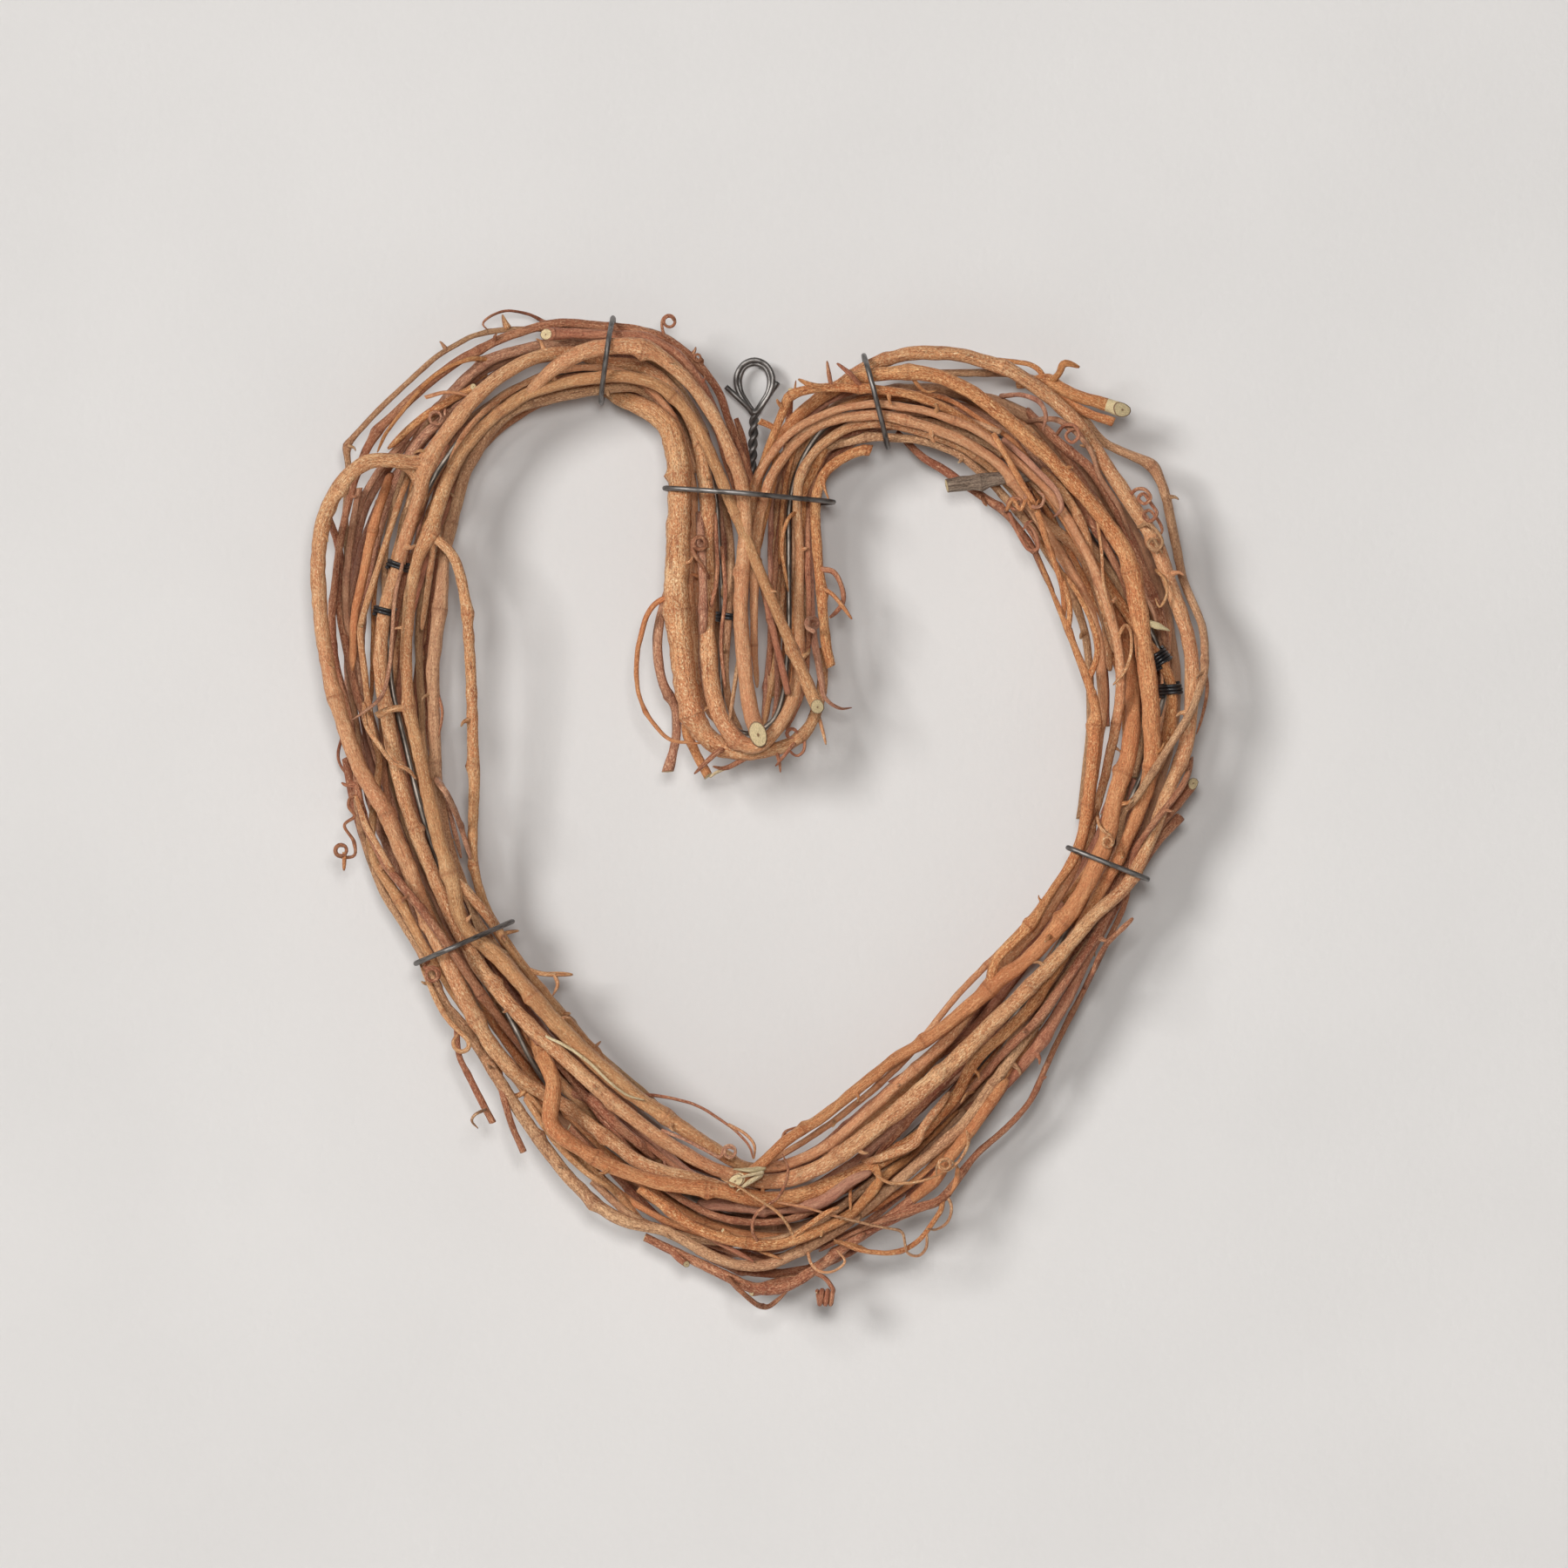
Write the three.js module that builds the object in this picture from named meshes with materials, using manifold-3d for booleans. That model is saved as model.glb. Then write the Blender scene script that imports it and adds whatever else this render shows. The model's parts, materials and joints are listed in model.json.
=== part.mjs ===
// Grapevine wreath: a heart of coiled vine canes on a steel wire frame, bound by five wire ties and
// hung from a twisted wire eye. Millimetres, +Z up, +X to the right, +Y towards the wall behind.
// The origin is the centre of the hanging eye.

import * as THREE from 'three';
import Module from 'manifold-3d';

const wasm = await Module();
wasm.setup();

// Driving dimensions, in millimetres: the heart's width, the wall plane, the plane that the canes'
// backs keep behind them, the wires' thicknesses and the clearances.
const HEART_WIDTH = 256;
const WALL_Y = 4;
const BACK_Y = 1.2;
const TIE_WIRE = 1.65;
const BINDING_WIRE = 1.1;
const CANE_GAP = 0.34;
const WIRE_GAP = 0.4;

// The twisted ends of a tie, and the twist of the eye's shank.
const TAIL_LENGTH = 5.5;
const TAIL_SPREAD = 0.55;
const TAIL_TURNS = 0.9;
const TAIL_STEPS = 4;
const TAIL_SIDES = 4;
const TAIL_WIRE_LESS = 0.05;
const TWIST_PITCH = 6.4;

// Routes are drawn over a front view of the heart, whose width is HEART_WIDTH. A route point holds
// x to the right and y down in drawing units, then the distance in millimetres from the wall plane to
// the cane's middle, then the cane's width in drawing units. What is left out runs evenly between.
const HEART_DRAWN_WIDTH = 1024;
const UNIT = HEART_WIDTH / HEART_DRAWN_WIDTH;
const EYE_X = 866;
const EYE_Y = 433;

// Sampling of a route: points from one drawn place to the next, then even steps in millimetres.
const FINE_STEPS = 10;
const LONGEST_STEP = 3.6;
const SHORTEST_STEP = 1.1;
const STEP_TO_RADIUS = 2.4;

// A knot swells the samples next to it. A shoot bends to its cane over its first samples.
const KNOT_REACH = 2;
const KNOT_SWELL = 0.2;
const KNOT_FADE = 2.5;
const ROOT_REACH = 5;

// A coil tightens and rises from the wall as it turns.
const COIL_STEPS_A_TURN = 6;
const COIL_SHRINK = 0.35;
const COIL_RISE = 1.5;

// How far, in millimetres, a faceted strand may leave its smooth line.
const TOLERANCE = { cane: 0.55, shoot: 0.3, hidden: 0.9, frame: 0.6, none: 0 };

// Easing of the canes past each other: rounds, the gap to reach, how stiffly a strand keeps its form,
// how strongly it goes home, and how much more it may move sideways. Distances are in millimetres.
const EASE = { rounds: 300, gap: 0.62, stiffness: 0.6, homing: 0.03, looser: 0.25 };
const SETTLE = { rounds: 700, gap: CANE_GAP + 0.04, stiffness: 0.02, looser: 0.6 };
const EASED_ENOUGH = 0.03;
const NEIGHBOUR_ROUNDS = 8;
const NEIGHBOUR_REACH = 2.2;
const CELL = 9;
const CELL_KEYS = 4096;
const PAIR_KEYS = 65536;
const PUSH_SHARE = 0.85;
const LONGEST_PUSH = 1.2;
const LEAST_DEPTH_PUSH = 0.05;
const DEPTH_HOMING = 0.25;
const SWELL_WEIGHT = 1.2;
const PINNED = { across: 0, deep: 0 };
const DRAWN = { across: 0.1, deep: 1 };
const LOOSE = { across: 0.6, deep: 1 };

// Reach of a join, where strands of one cane may meet: radii, then millimetres.
const BEND_RADII = 6;
const BEND_REACH = 4;
const FORK_RADII = 2.2;
const FORK_REACH = 3;
const FORK_CHILD = 1.6;
const FORK_PARENT = 2.5;
const TWIN_REACH = 6;

// Faces round a strand: a strand under each radius has that many sides.
const THIN = { radius: 1.05, sides: 4 };
const SLIM = { radius: 2.05, sides: 5 };
const THICK_SIDES = 6;
const WIRE_SIDES = 5;
const SLIVER = 0.03;

// A wire pulled tight round strands: corners round each circle, how much an edge may grow, the fewest
// corners, the steps along a strand, and how far the slab and the loop reach past the wire.
const LOOP_CORNERS = 8;
const LOOP_GROWTH = 0.8;
const FEWEST_CORNERS = 6;
const SLAB_STEP = 0.4;
const TIE_SLAB = 0.5;
const TIE_REACH = 5;
const BINDING_SLAB = 0.3;
const BINDING_REACH = 9;
const BINDING_CLOSER = 0.03;
const SEAT_GAP = 0.1;
const SEAT_WIRE_SHARE = 0.5;
const SEAT_CANE_SHARE = 0.2;

// The seeded random source.
const RANDOM_FACTOR = 1664525;
const RANDOM_STEP = 1013904223;
const RANDOM_RANGE = 4294967296;

// Bark colours, with the roughness and metalness of each surface.
const BARK = {
  tan: { color: 0xb98a5f, roughness: 0.85, metalness: 0 },
  golden: { color: 0xb8783f, roughness: 0.8, metalness: 0 },
  red: { color: 0x8f5a3c, roughness: 0.8, metalness: 0 },
  mauve: { color: 0x936a58, roughness: 0.85, metalness: 0 },
  grey: { color: 0x8f7458, roughness: 0.9, metalness: 0 },
  weathered: { color: 0x8d7f6b, roughness: 0.95, metalness: 0 },
};
const STEEL = { color: 0x6d6f72, roughness: 0.45, metalness: 0.9 };
const BLACK = { color: 0x161719, roughness: 0.3, metalness: 0.2 };

// The canes that show, from the thickest to the thinnest shoots. A knot is a swollen joint of the
// cane. A shoot grows from the cane that lists it, at its first point. A coil ends a tendril in turns
// round a middle: x, y, radius in drawing units and the number of turns.
const CANES = [
  {
    name: 'cane_long',
    bark: 'tan',
    route: [
      [1225, 640, 8, 11], [1185, 595, 12], [1150, 555, 16], [1110, 520, 20], [1060, 498, 22],
      [1006, 487, 22], [971, 492, 22], [947, 508, 23], [928, 527, 23], [918, 546, 22], [915, 588, 20, 11],
      [918, 640, 19], [917, 700, 19, 12], [917, 770, 22], [907, 812, 26, 15], [892, 837, 28],
      [873, 855, 29, 18], [854, 855, 29], [831, 831, 28, 20], [820, 805, 26], [813, 760, 24, 20],
      [812, 640, 22, 18], [812, 562, 21], [803, 510, 19], [790, 475, 17], [765, 440, 15],
      [735, 420, 14, 15], [700, 416, 14], [660, 405, 17], [620, 410, 22], [580, 430, 25], [550, 457, 27],
      [522, 488, 28, 17], [493, 534, 29, 20], [483, 570, 27, 15], [470, 610, 24], [455, 655, 22, 16],
      [441, 705, 21], [436, 760, 21, 16], [446, 830, 22], [462, 905, 22, 17], [480, 960, 21],
      [510, 1030, 22, 16], [530, 1075, 23], [555, 1120, 24, 18], [590, 1165, 25], [625, 1200, 25],
      [665, 1235, 25], [720, 1280, 24, 17], [780, 1320, 23], [830, 1345, 22, 15], [870, 1354, 22],
      [910, 1350, 24, 18], [959, 1326, 26, 20], [1008, 1289, 27], [1057, 1250, 27, 20],
      [1105, 1205, 27], [1169, 1140, 27, 19], [1195, 1114, 27], [1222, 1082, 26], [1250, 1045, 24, 16],
      [1285, 1010, 21], [1308, 970, 20], [1325, 925, 20, 15], [1345, 885, 22], [1358, 850, 23, 17],
      [1362, 810, 23], [1364, 784, 22], [1364, 745, 22, 17], [1352, 703, 22], [1326, 624, 22, 17],
      [1301, 585, 22], [1256, 513, 22, 17], [1232, 482, 22], [1203, 455, 22], [1162, 427, 22, 17],
      [1121, 412, 22], [1080, 405, 21, 16], [1040, 406, 20], [1003, 418, 18, 16], [960, 445, 13],
      [925, 490, 10, 16], [905, 545, 10], [893, 600, 10], [888, 700, 11, 16], [888, 800, 12, 15],
    ],
    knots: [[493, 534], [1326, 624], [1008, 487]],
    shoots: [
      {
        name: 'arm',
        route: [
          [493, 534, 29, 16], [455, 530, 30, 17], [427, 532, 30], [407, 544, 29, 18], [388, 567, 28],
          [373, 600, 26, 18], [367, 650, 25], [369, 700, 25, 17], [377, 760, 25], [386, 800, 26, 17],
          [400, 840, 26], [413, 880, 26, 18], [438, 920, 26], [456, 960, 25, 20], [472, 1000, 24],
          [494, 1060, 24, 18], [514, 1100, 26], [533, 1140, 27, 19], [566, 1200, 26], [602, 1240, 22],
          [628, 1256, 19, 16], [650, 1268, 18], [690, 1298, 20, 15], [745, 1335, 24], [800, 1347, 24, 16],
          [835, 1358, 20], [870, 1366, 14, 10],
        ],
        knots: [[386, 800], [535, 1175]],
      },
      { name: 'twig_finger', route: [[915, 590, 20, 5], [905, 595, 23], [898, 620, 24], [898, 640, 24],
        [905, 680, 23, 4]] },
      { name: 'red_shoot', route: [[813, 716, 24, 6], [820, 690, 27], [824, 660, 27], [823, 625, 27],
        [822, 590, 26, 4]] },
    ],
  },
  {
    name: 'cane_forked',
    bark: 'tan',
    route: [
      [938, 812, 30, 16], [925, 780, 30, 14], [897, 720, 29, 13], [873, 660, 28], [863, 635, 27, 15],
      [846, 590, 26], [832, 562, 25, 15], [815, 520, 24], [800, 490, 23], [782, 466, 23, 14],
      [757, 443, 24], [720, 433, 25, 15], [700, 433, 25], [660, 438, 25], [620, 449, 24, 14],
      [600, 456, 24], [565, 480, 23], [537, 508, 23, 15], [515, 545, 24], [500, 585, 26],
      [494, 611, 28, 18], [478, 645, 27, 14], [469, 700, 26], [467, 790, 26, 14], [473, 825, 26],
      [490, 900, 26, 15], [509, 980, 27], [518, 1002, 27, 18], [531, 1060, 24, 16], [545, 1078, 23],
      [575, 1100, 24, 18], [605, 1135, 26], [645, 1180, 27, 20], [690, 1225, 27], [740, 1265, 27, 20],
      [800, 1305, 26], [830, 1325, 24, 16], [855, 1340, 20], [900, 1340, 14, 10],
    ],
    knots: [[494, 611], [518, 1002], [467, 812]],
    shoots: [
      {
        name: 'arm_right',
        route: [
          [605, 455, 24, 12], [640, 424, 27, 18], [680, 405, 28, 20], [700, 402, 28], [740, 404, 28, 20],
          [770, 422, 27], [798, 450, 26, 14], [816, 471, 25], [828, 501, 26, 15], [845, 536, 27],
          [852, 565, 28, 16], [856, 600, 27], [855, 640, 27, 17], [851, 700, 28], [853, 760, 28, 17],
          [862, 815, 29, 18], [871, 845, 30, 20],
        ],
        knots: [[740, 404]],
      },
      {
        name: 'arm_inner',
        route: [
          [494, 611, 28, 11], [505, 622, 30, 12], [525, 648, 29], [535, 685, 28], [538, 705, 27, 13],
          [538, 760, 25], [538, 800, 24, 12], [544, 880, 23, 14], [542, 940, 22, 11], [545, 1000, 20],
          [549, 1020, 19], [557, 1040, 18], [570, 1065, 18, 11], [600, 1105, 17, 9], [640, 1155, 16],
          [680, 1205, 16], [720, 1245, 17, 8], [765, 1277, 18, 7],
        ],
        knots: [[538, 705], [544, 880], [684, 1207]],
        shoots: [
          {
            name: 'spur',
            route: [[603, 1110, 17, 6], [620, 1117, 18], [640, 1120, 19], [658, 1120, 19, 6]],
            shoots: [{ name: 'spur_leg', route: [[637, 1120, 19, 5], [640, 1130, 19],
              [634, 1142, 19, 4]] }],
          },
          { name: 'spur_small', route: [[574, 1072, 18, 5], [585, 1071, 19], [596, 1070, 19, 5]] },
          {
            name: 'long_tendril',
            route: [
              [735, 1256, 17, 4], [760, 1258, 19], [800, 1268, 21], [825, 1283, 22], [845, 1297, 24],
              [860, 1313, 27], [865, 1328, 32, 3],
            ],
          },
        ],
      },
      { name: 'stub', route: [[467, 812, 26, 9], [450, 815, 28, 9], [435, 822, 28, 8]] },
      {
        name: 'fork',
        route: [
          [518, 1002, 27, 13], [527, 1009, 27], [546, 1028, 25, 12], [562, 1052, 22], [580, 1080, 15, 12],
          [610, 1120, 11], [650, 1175, 9, 9],
        ],
      },
    ],
  },
  {
    name: 'cane_thick',
    bark: 'tan',
    route: [
      [943, 745, 12, 12], [945, 780, 14], [938, 815, 19, 13], [925, 840, 23], [900, 856, 25, 15],
      [870, 862, 25, 18], [835, 858, 25, 23], [805, 835, 26, 26], [790, 795, 27], [783, 743, 27, 28],
      [778, 700, 27, 30], [779, 640, 27, 28], [783, 562, 25, 26], [780, 530, 24], [770, 493, 22, 24],
      [752, 474, 20], [735, 465, 16, 20], [715, 455, 12], [690, 440, 9, 18], [640, 440, 8],
      [580, 465, 8, 16], [530, 520, 8], [495, 590, 9, 16], [465, 680, 9], [455, 780, 9, 16],
      [475, 890, 9], [500, 985, 9, 15], [545, 1090, 9], [600, 1190, 9, 14], [680, 1280, 9],
      [760, 1335, 10, 12],
    ],
    knots: [[778, 700]],
    shoots: [
      {
        name: 'arch',
        route: [
          [770, 685, 27, 7], [748, 697, 28, 7], [740, 720, 27], [733, 745, 27, 6], [731, 770, 27],
          [733, 795, 27], [742, 818, 28], [755, 837, 29], [770, 850, 30], [785, 853, 31], [805, 854, 32, 4],
        ],
      },
      { name: 'stub_pale', route: [[792, 812, 25, 12], [788, 840, 20], [802, 868, 21],
        [814, 890, 21, 11]] },
      { name: 'stub_left', route: [[835, 858, 25, 7], [825, 862, 29], [812, 877, 29], [797, 888, 29, 5]] },
      { name: 'stub_loop', route: [[868, 862, 25, 7], [855, 869, 25], [842, 878, 24], [830, 882, 24],
        [818, 880, 24, 5]] },
      { name: 'thorn_a', route: [[893, 858, 25, 5], [894, 872, 27], [896, 887, 27, 4]] },
      { name: 'thorn_b', route: [[920, 846, 24, 5], [905, 862, 28], [890, 880, 28, 4]] },
      { name: 'thorn_c', route: [[938, 815, 19, 5], [943, 835, 21], [948, 855, 21, 4]] },
      {
        name: 'curl_finger',
        route: [[925, 842, 23, 4], [923, 862, 25], [915, 868, 25], [906, 861, 25], [905, 848, 24, 3]],
        coil: [909, 842, 7, 1.6],
      },
    ],
  },
  {
    name: 'cane_inner',
    bark: 'grey',
    route: [
      [800, 540, 10, 12], [770, 480, 11], [740, 452, 14], [720, 446, 17, 13], [690, 449, 18],
      [640, 457, 18, 14], [609, 463, 18], [573, 482, 18], [551, 513, 18, 15], [535, 540, 18],
      [526, 571, 18], [520, 598, 18], [512, 630, 20, 13], [507, 690, 22, 16], [499, 740, 22],
      [497, 820, 22, 14], [500, 860, 22], [502, 900, 22], [508, 930, 22, 14], [516, 970, 22, 13],
      [525, 995, 20], [540, 1030, 17, 10], [555, 1070, 17, 9], [590, 1100, 16], [630, 1155, 15],
      [668, 1195, 15, 9], [700, 1235, 14], [740, 1275, 14, 6],
    ],
    knots: [[507, 700], [668, 1195]],
    shoots: [{ name: 'curved_shoot', route: [[505, 895, 22, 8], [518, 910, 24], [527, 930, 23, 7],
      [535, 955, 18], [540, 980, 14, 6]] }],
  },
  {
    name: 'cane_crown',
    bark: 'red',
    route: [
      [870, 620, 10, 8], [862, 550, 14], [852, 520, 16], [836, 482, 18, 9], [825, 448, 18],
      [812, 430, 18], [785, 402, 19, 10], [765, 390, 20], [740, 380, 20], [700, 376, 20, 10],
      [640, 371, 19], [600, 381, 18], [560, 395, 18, 10], [520, 418, 17], [480, 450, 17], [440, 487, 17],
      [432, 495, 17, 11], [415, 525, 15], [400, 570, 14, 9], [390, 620, 15], [386, 665, 16],
      [381, 700, 16, 10], [381, 740, 16], [391, 785, 15], [402, 830, 15, 10], [410, 880, 17],
      [415, 930, 21], [440, 985, 26, 10], [455, 1005, 28], [490, 1045, 30], [530, 1098, 30, 10],
      [545, 1118, 28], [558, 1137, 26, 11], [590, 1180, 18, 9], [640, 1240, 12, 7],
    ],
    knots: [[432, 495], [415, 935], [558, 1137]],
    shoots: [
      {
        name: 'tendril_crown',
        route: [
          [645, 371, 19, 5], [625, 367, 21, 4], [605, 358, 20], [590, 355, 20], [575, 356, 20],
          [560, 362, 20], [553, 371, 21], [559, 378, 22, 3],
        ],
      },
      { name: 'coil_crown', route: [[765, 390, 20, 4], [761, 376, 20, 3.5]], coil: [769, 370, 8, 1.6] },
      { name: 'coil_small', route: [[806, 422, 18, 4], [806, 412, 20, 3.5]], coil: [801, 411, 5, 1.2] },
      { name: 'tendril_left', route: [[400, 822, 15, 5], [389, 848, 17], [387, 870, 17],
        [393, 885, 17], [403, 897, 17, 3]] },
      {
        name: 'tendril_side',
        route: [
          [414, 912, 19, 5], [403, 916, 21, 4], [401, 926, 21], [409, 937, 22], [396, 947, 22],
          [402, 957, 22], [409, 968, 22], [408, 982, 22],
        ],
        coil: [393, 976, 8, 1.8],
      },
    ],
  },
  {
    name: 'cane_outer',
    bark: 'grey',
    route: [
      [800, 415, 8, 6], [765, 385, 10], [732, 376, 12, 7], [697, 374, 13], [640, 378, 14, 7],
      [588, 377, 15], [560, 380, 16, 7], [520, 396, 17], [480, 427, 18], [440, 466, 18], [404, 505, 18, 7],
      [399, 512, 18, 9], [402, 535, 15, 7], [398, 560, 12], [395, 600, 11], [398, 650, 11, 7],
      [396, 750, 11], [404, 810, 11], [410, 860, 12, 8], [408, 920, 13], [420, 975, 14],
        [440, 1025, 16, 10],
      [465, 1065, 18], [490, 1100, 20], [510, 1150, 20, 13], [540, 1185, 20], [565, 1225, 21],
      [600, 1280, 21, 15], [640, 1335, 21], [680, 1378, 21, 16], [720, 1403, 21], [765, 1412, 20, 13],
      [790, 1425, 20], [815, 1440, 21], [850, 1452, 22, 13], [886, 1450, 22], [925, 1430, 22, 14],
      [959, 1411, 21], [1008, 1372, 20, 14], [1057, 1330, 20], [1105, 1289, 20, 14], [1150, 1225, 20],
      [1185, 1180, 20, 13], [1230, 1120, 19], [1268, 1060, 19], [1292, 1010, 20, 11], [1290, 965, 24],
      [1292, 935, 26, 9], [1305, 918, 27], [1320, 891, 28], [1343, 855, 28, 9], [1364, 820, 27],
      [1379, 784, 25], [1382, 757, 24, 9], [1380, 724, 22], [1366, 687, 20], [1357, 665, 16, 10],
      [1353, 645, 15], [1345, 605, 15, 11], [1336, 564, 16], [1324, 537, 17, 12], [1295, 523, 17],
      [1265, 507, 17, 10], [1245, 480, 14], [1215, 450, 12], [1170, 430, 12, 10], [1110, 428, 12],
      [1060, 428, 12, 8],
    ],
    knots: [[399, 512], [680, 1378], [925, 1432], [1324, 537]],
    shoots: [
      { name: 'thorn_top', route: [[581, 378, 15, 6], [578, 370, 15], [576, 361, 15, 4]] },
      { name: 'thin_right', route: [[1382, 768, 24, 5], [1384, 795, 22, 4], [1378, 830, 21],
        [1372, 843, 21, 3]] },
      {
        name: 'hanging_shoot',
        route: [[524, 1168, 20, 8], [527, 1208, 22, 7], [540, 1235, 22], [558, 1272, 22],
          [567, 1287, 22, 9]],
        shoots: [
          { name: 'hook_tendril', route: [[558, 1272, 22, 4], [548, 1276, 24], [544, 1284, 24],
            [551, 1293, 24, 3]] },
        ],
      },
      { name: 'hanging_shoot_low', route: [[572, 1240, 21, 8], [583, 1275, 23], [592, 1300, 23],
        [602, 1321, 23, 8]] },
      {
        name: 'bottom_tendril',
        route: [
          [925, 1430, 22, 4], [930, 1447, 26], [940, 1457, 27], [957, 1457, 27], [970, 1446, 27],
          [960, 1432, 27, 3],
        ],
      },
    ],
  },
  {
    name: 'cane_mauve',
    bark: 'mauve',
    route: [
      [740, 392, 12, 10], [690, 395, 14, 12], [640, 393, 15], [600, 401, 16], [565, 412, 17, 13],
      [540, 430, 16], [510, 460, 14], [490, 490, 12], [470, 520, 12, 12], [450, 560, 12], [435, 600, 12],
      [425, 640, 13], [415, 690, 14, 13], [411, 740, 15], [415, 790, 15], [425, 840, 14, 12],
      [440, 890, 12], [455, 940, 10], [480, 1000, 9], [520, 1060, 9], [560, 1120, 10, 8],
    ],
    knots: [[558, 417], [413, 715]],
    shoots: [
      {
        name: 'golden_strip',
        route: [
          [565, 412, 17, 6], [540, 413, 21], [520, 419, 22, 5], [500, 432, 22], [480, 452, 22],
          [460, 478, 22], [445, 497, 22], [434, 520, 21, 4],
        ],
      },
      { name: 'ring_tendril', route: [[508, 462, 14, 5], [512, 470, 20, 4]], coil: [502, 480, 9, 1.3] },
    ],
  },
  {
    name: 'cane_slim_left',
    bark: 'tan',
    route: [
      [480, 525, 14, 7], [470, 545, 17], [455, 600, 21, 8], [447, 620, 23], [434, 660, 23],
      [415, 720, 22, 8], [417, 740, 21], [420, 770, 20], [427, 830, 20, 8], [437, 870, 17],
      [430, 920, 15, 9], [425, 975, 16, 11], [440, 1005, 18], [460, 1035, 20, 13], [470, 1055, 21],
      [492, 1095, 23, 11], [520, 1140, 19], [560, 1195, 18], [600, 1245, 20, 10], [620, 1275, 20],
      [660, 1325, 20, 10], [700, 1360, 20], [735, 1400, 16, 8],
    ],
    knots: [[460, 1035]],
    shoots: [{ name: 'coil_tie', route: [[492, 1100, 23, 5], [487, 1112, 26, 4.5]],
      coil: [496, 1119, 9, 1.5] }],
  },
  {
    name: 'cane_back_left',
    bark: 'mauve',
    route: [
      [470, 505, 10, 10], [430, 560, 9], [412, 600, 9, 11], [403, 660, 9], [402, 700, 10],
      [411, 760, 10], [415, 820, 9, 11], [430, 900, 8], [460, 990, 8, 9],
    ],
  },
  {
    name: 'cane_sleeve',
    bark: 'red',
    route: [
      [905, 797, 27, 8], [898, 760, 27], [880, 690, 27, 8], [870, 650, 26], [862, 615, 22, 9],
      [850, 570, 20, 11], [838, 540, 20], [828, 505, 21], [822, 475, 22, 12], [797, 428, 24],
      [772, 403, 24], [740, 387, 24, 12], [700, 387, 24], [670, 385, 24, 11], [650, 384, 24],
      [628, 386, 24, 13],
    ],
    knots: [[636, 385]],
  },
  {
    name: 'cane_hook',
    bark: 'golden',
    route: [
      [600, 1180, 10, 14], [618, 1205, 18], [632, 1225, 27, 20], [637, 1240, 29], [635, 1262, 30, 19],
      [633, 1285, 30], [645, 1300, 30, 18], [690, 1330, 29], [740, 1350, 28, 17], [780, 1357, 28],
      [820, 1362, 27, 18], [880, 1375, 22], [910, 1372, 20, 20], [950, 1360, 19], [985, 1345, 19],
      [1015, 1330, 19, 17], [1060, 1300, 18], [1100, 1255, 18, 14], [1120, 1215, 20], [1155, 1185, 22, 14],
      [1190, 1148, 23], [1215, 1110, 22, 13], [1262, 1030, 22], [1290, 985, 22, 13], [1307, 940, 21],
      [1319, 905, 22, 17], [1323, 873, 25], [1321, 820, 28, 21], [1314, 766, 29], [1307, 712, 29, 20],
      [1297, 658, 29, 22], [1285, 626, 29, 19], [1224, 548, 29], [1183, 509, 29, 19], [1141, 472, 29],
      [1100, 443, 28, 18], [1060, 430, 27], [1003, 432, 26, 18], [970, 440, 24], [935, 462, 20, 15],
      [905, 490, 18], [885, 520, 18, 13], [870, 550, 17], [862, 580, 14, 11], [860, 640, 10, 9],
    ],
    knots: [[1297, 658], [1040, 431]],
    shoots: [
      { name: 'twig_lobe', route: [[1040, 431, 27, 6], [1050, 444, 25, 5], [1062, 452, 24],
        [1075, 450, 24, 3]] },
    ],
  },
  {
    name: 'cane_back_bottom',
    bark: 'mauve',
    route: [
      [590, 1170, 8, 10], [655, 1240, 8, 12], [690, 1280, 9], [745, 1330, 9, 13], [800, 1365, 9],
      [860, 1385, 10, 13], [930, 1380, 10], [1000, 1340, 10, 9],
    ],
    shoots: [{ name: 'cross_twig', route: [[742, 1328, 9, 6], [725, 1318, 12, 5], [718, 1311, 13, 4]] }],
  },
  {
    name: 'cane_bottom',
    bark: 'golden',
    route: [
      [735, 1362, 24, 12], [760, 1378, 25, 13], [780, 1395, 26], [800, 1408, 26], [825, 1418, 27, 13],
      [850, 1424, 27], [880, 1428, 27, 13], [905, 1425, 27], [930, 1415, 26], [980, 1392, 24, 12],
      [1012, 1355, 21], [1050, 1325, 14, 10], [1100, 1275, 12, 8],
    ],
    knots: [[770, 1388], [858, 1425]],
    shoots: [
      { name: 'prong', route: [[900, 1424, 27, 6], [930, 1402, 29, 6], [948, 1390, 29],
        [964, 1383, 29, 7]] },
      {
        name: 'front_tendril',
        route: [
          [915, 1422, 27, 4], [905, 1405, 31], [893, 1388, 32], [868, 1372, 33], [845, 1357, 34],
          [828, 1350, 34, 3],
        ],
      },
      {
        name: 'loop_tendril',
        route: [
          [872, 1427, 27, 4], [864, 1413, 30], [865, 1396, 31], [876, 1383, 32], [893, 1372, 33],
          [901, 1358, 33], [905, 1337, 32], [898, 1322, 31, 3],
        ],
      },
    ],
  },
  {
    name: 'cane_low',
    bark: 'red',
    route: [
      [740, 1420, 16, 10], [785, 1442, 16, 12], [835, 1465, 17], [860, 1478, 18, 13], [900, 1478, 18],
      [945, 1450, 18, 13], [990, 1415, 18], [1050, 1387, 20, 12], [1080, 1377, 20], [1100, 1350, 19, 9],
      [1120, 1325, 17], [1150, 1300, 16, 7], [1175, 1275, 16], [1191, 1250, 16, 7], [1205, 1213, 16],
      [1245, 1130, 16, 7], [1272, 1070, 17], [1290, 1030, 18, 7], [1300, 980, 23, 8], [1320, 950, 25],
      [1335, 930, 25], [1355, 900, 24, 8], [1366, 870, 18, 7],
    ],
    knots: [[880, 1478], [1191, 1250]],
    shoots: [
      { name: 'cut_tip', route: [[770, 1435, 16, 9], [780, 1445, 18], [788, 1451, 18, 8]] },
      {
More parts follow.
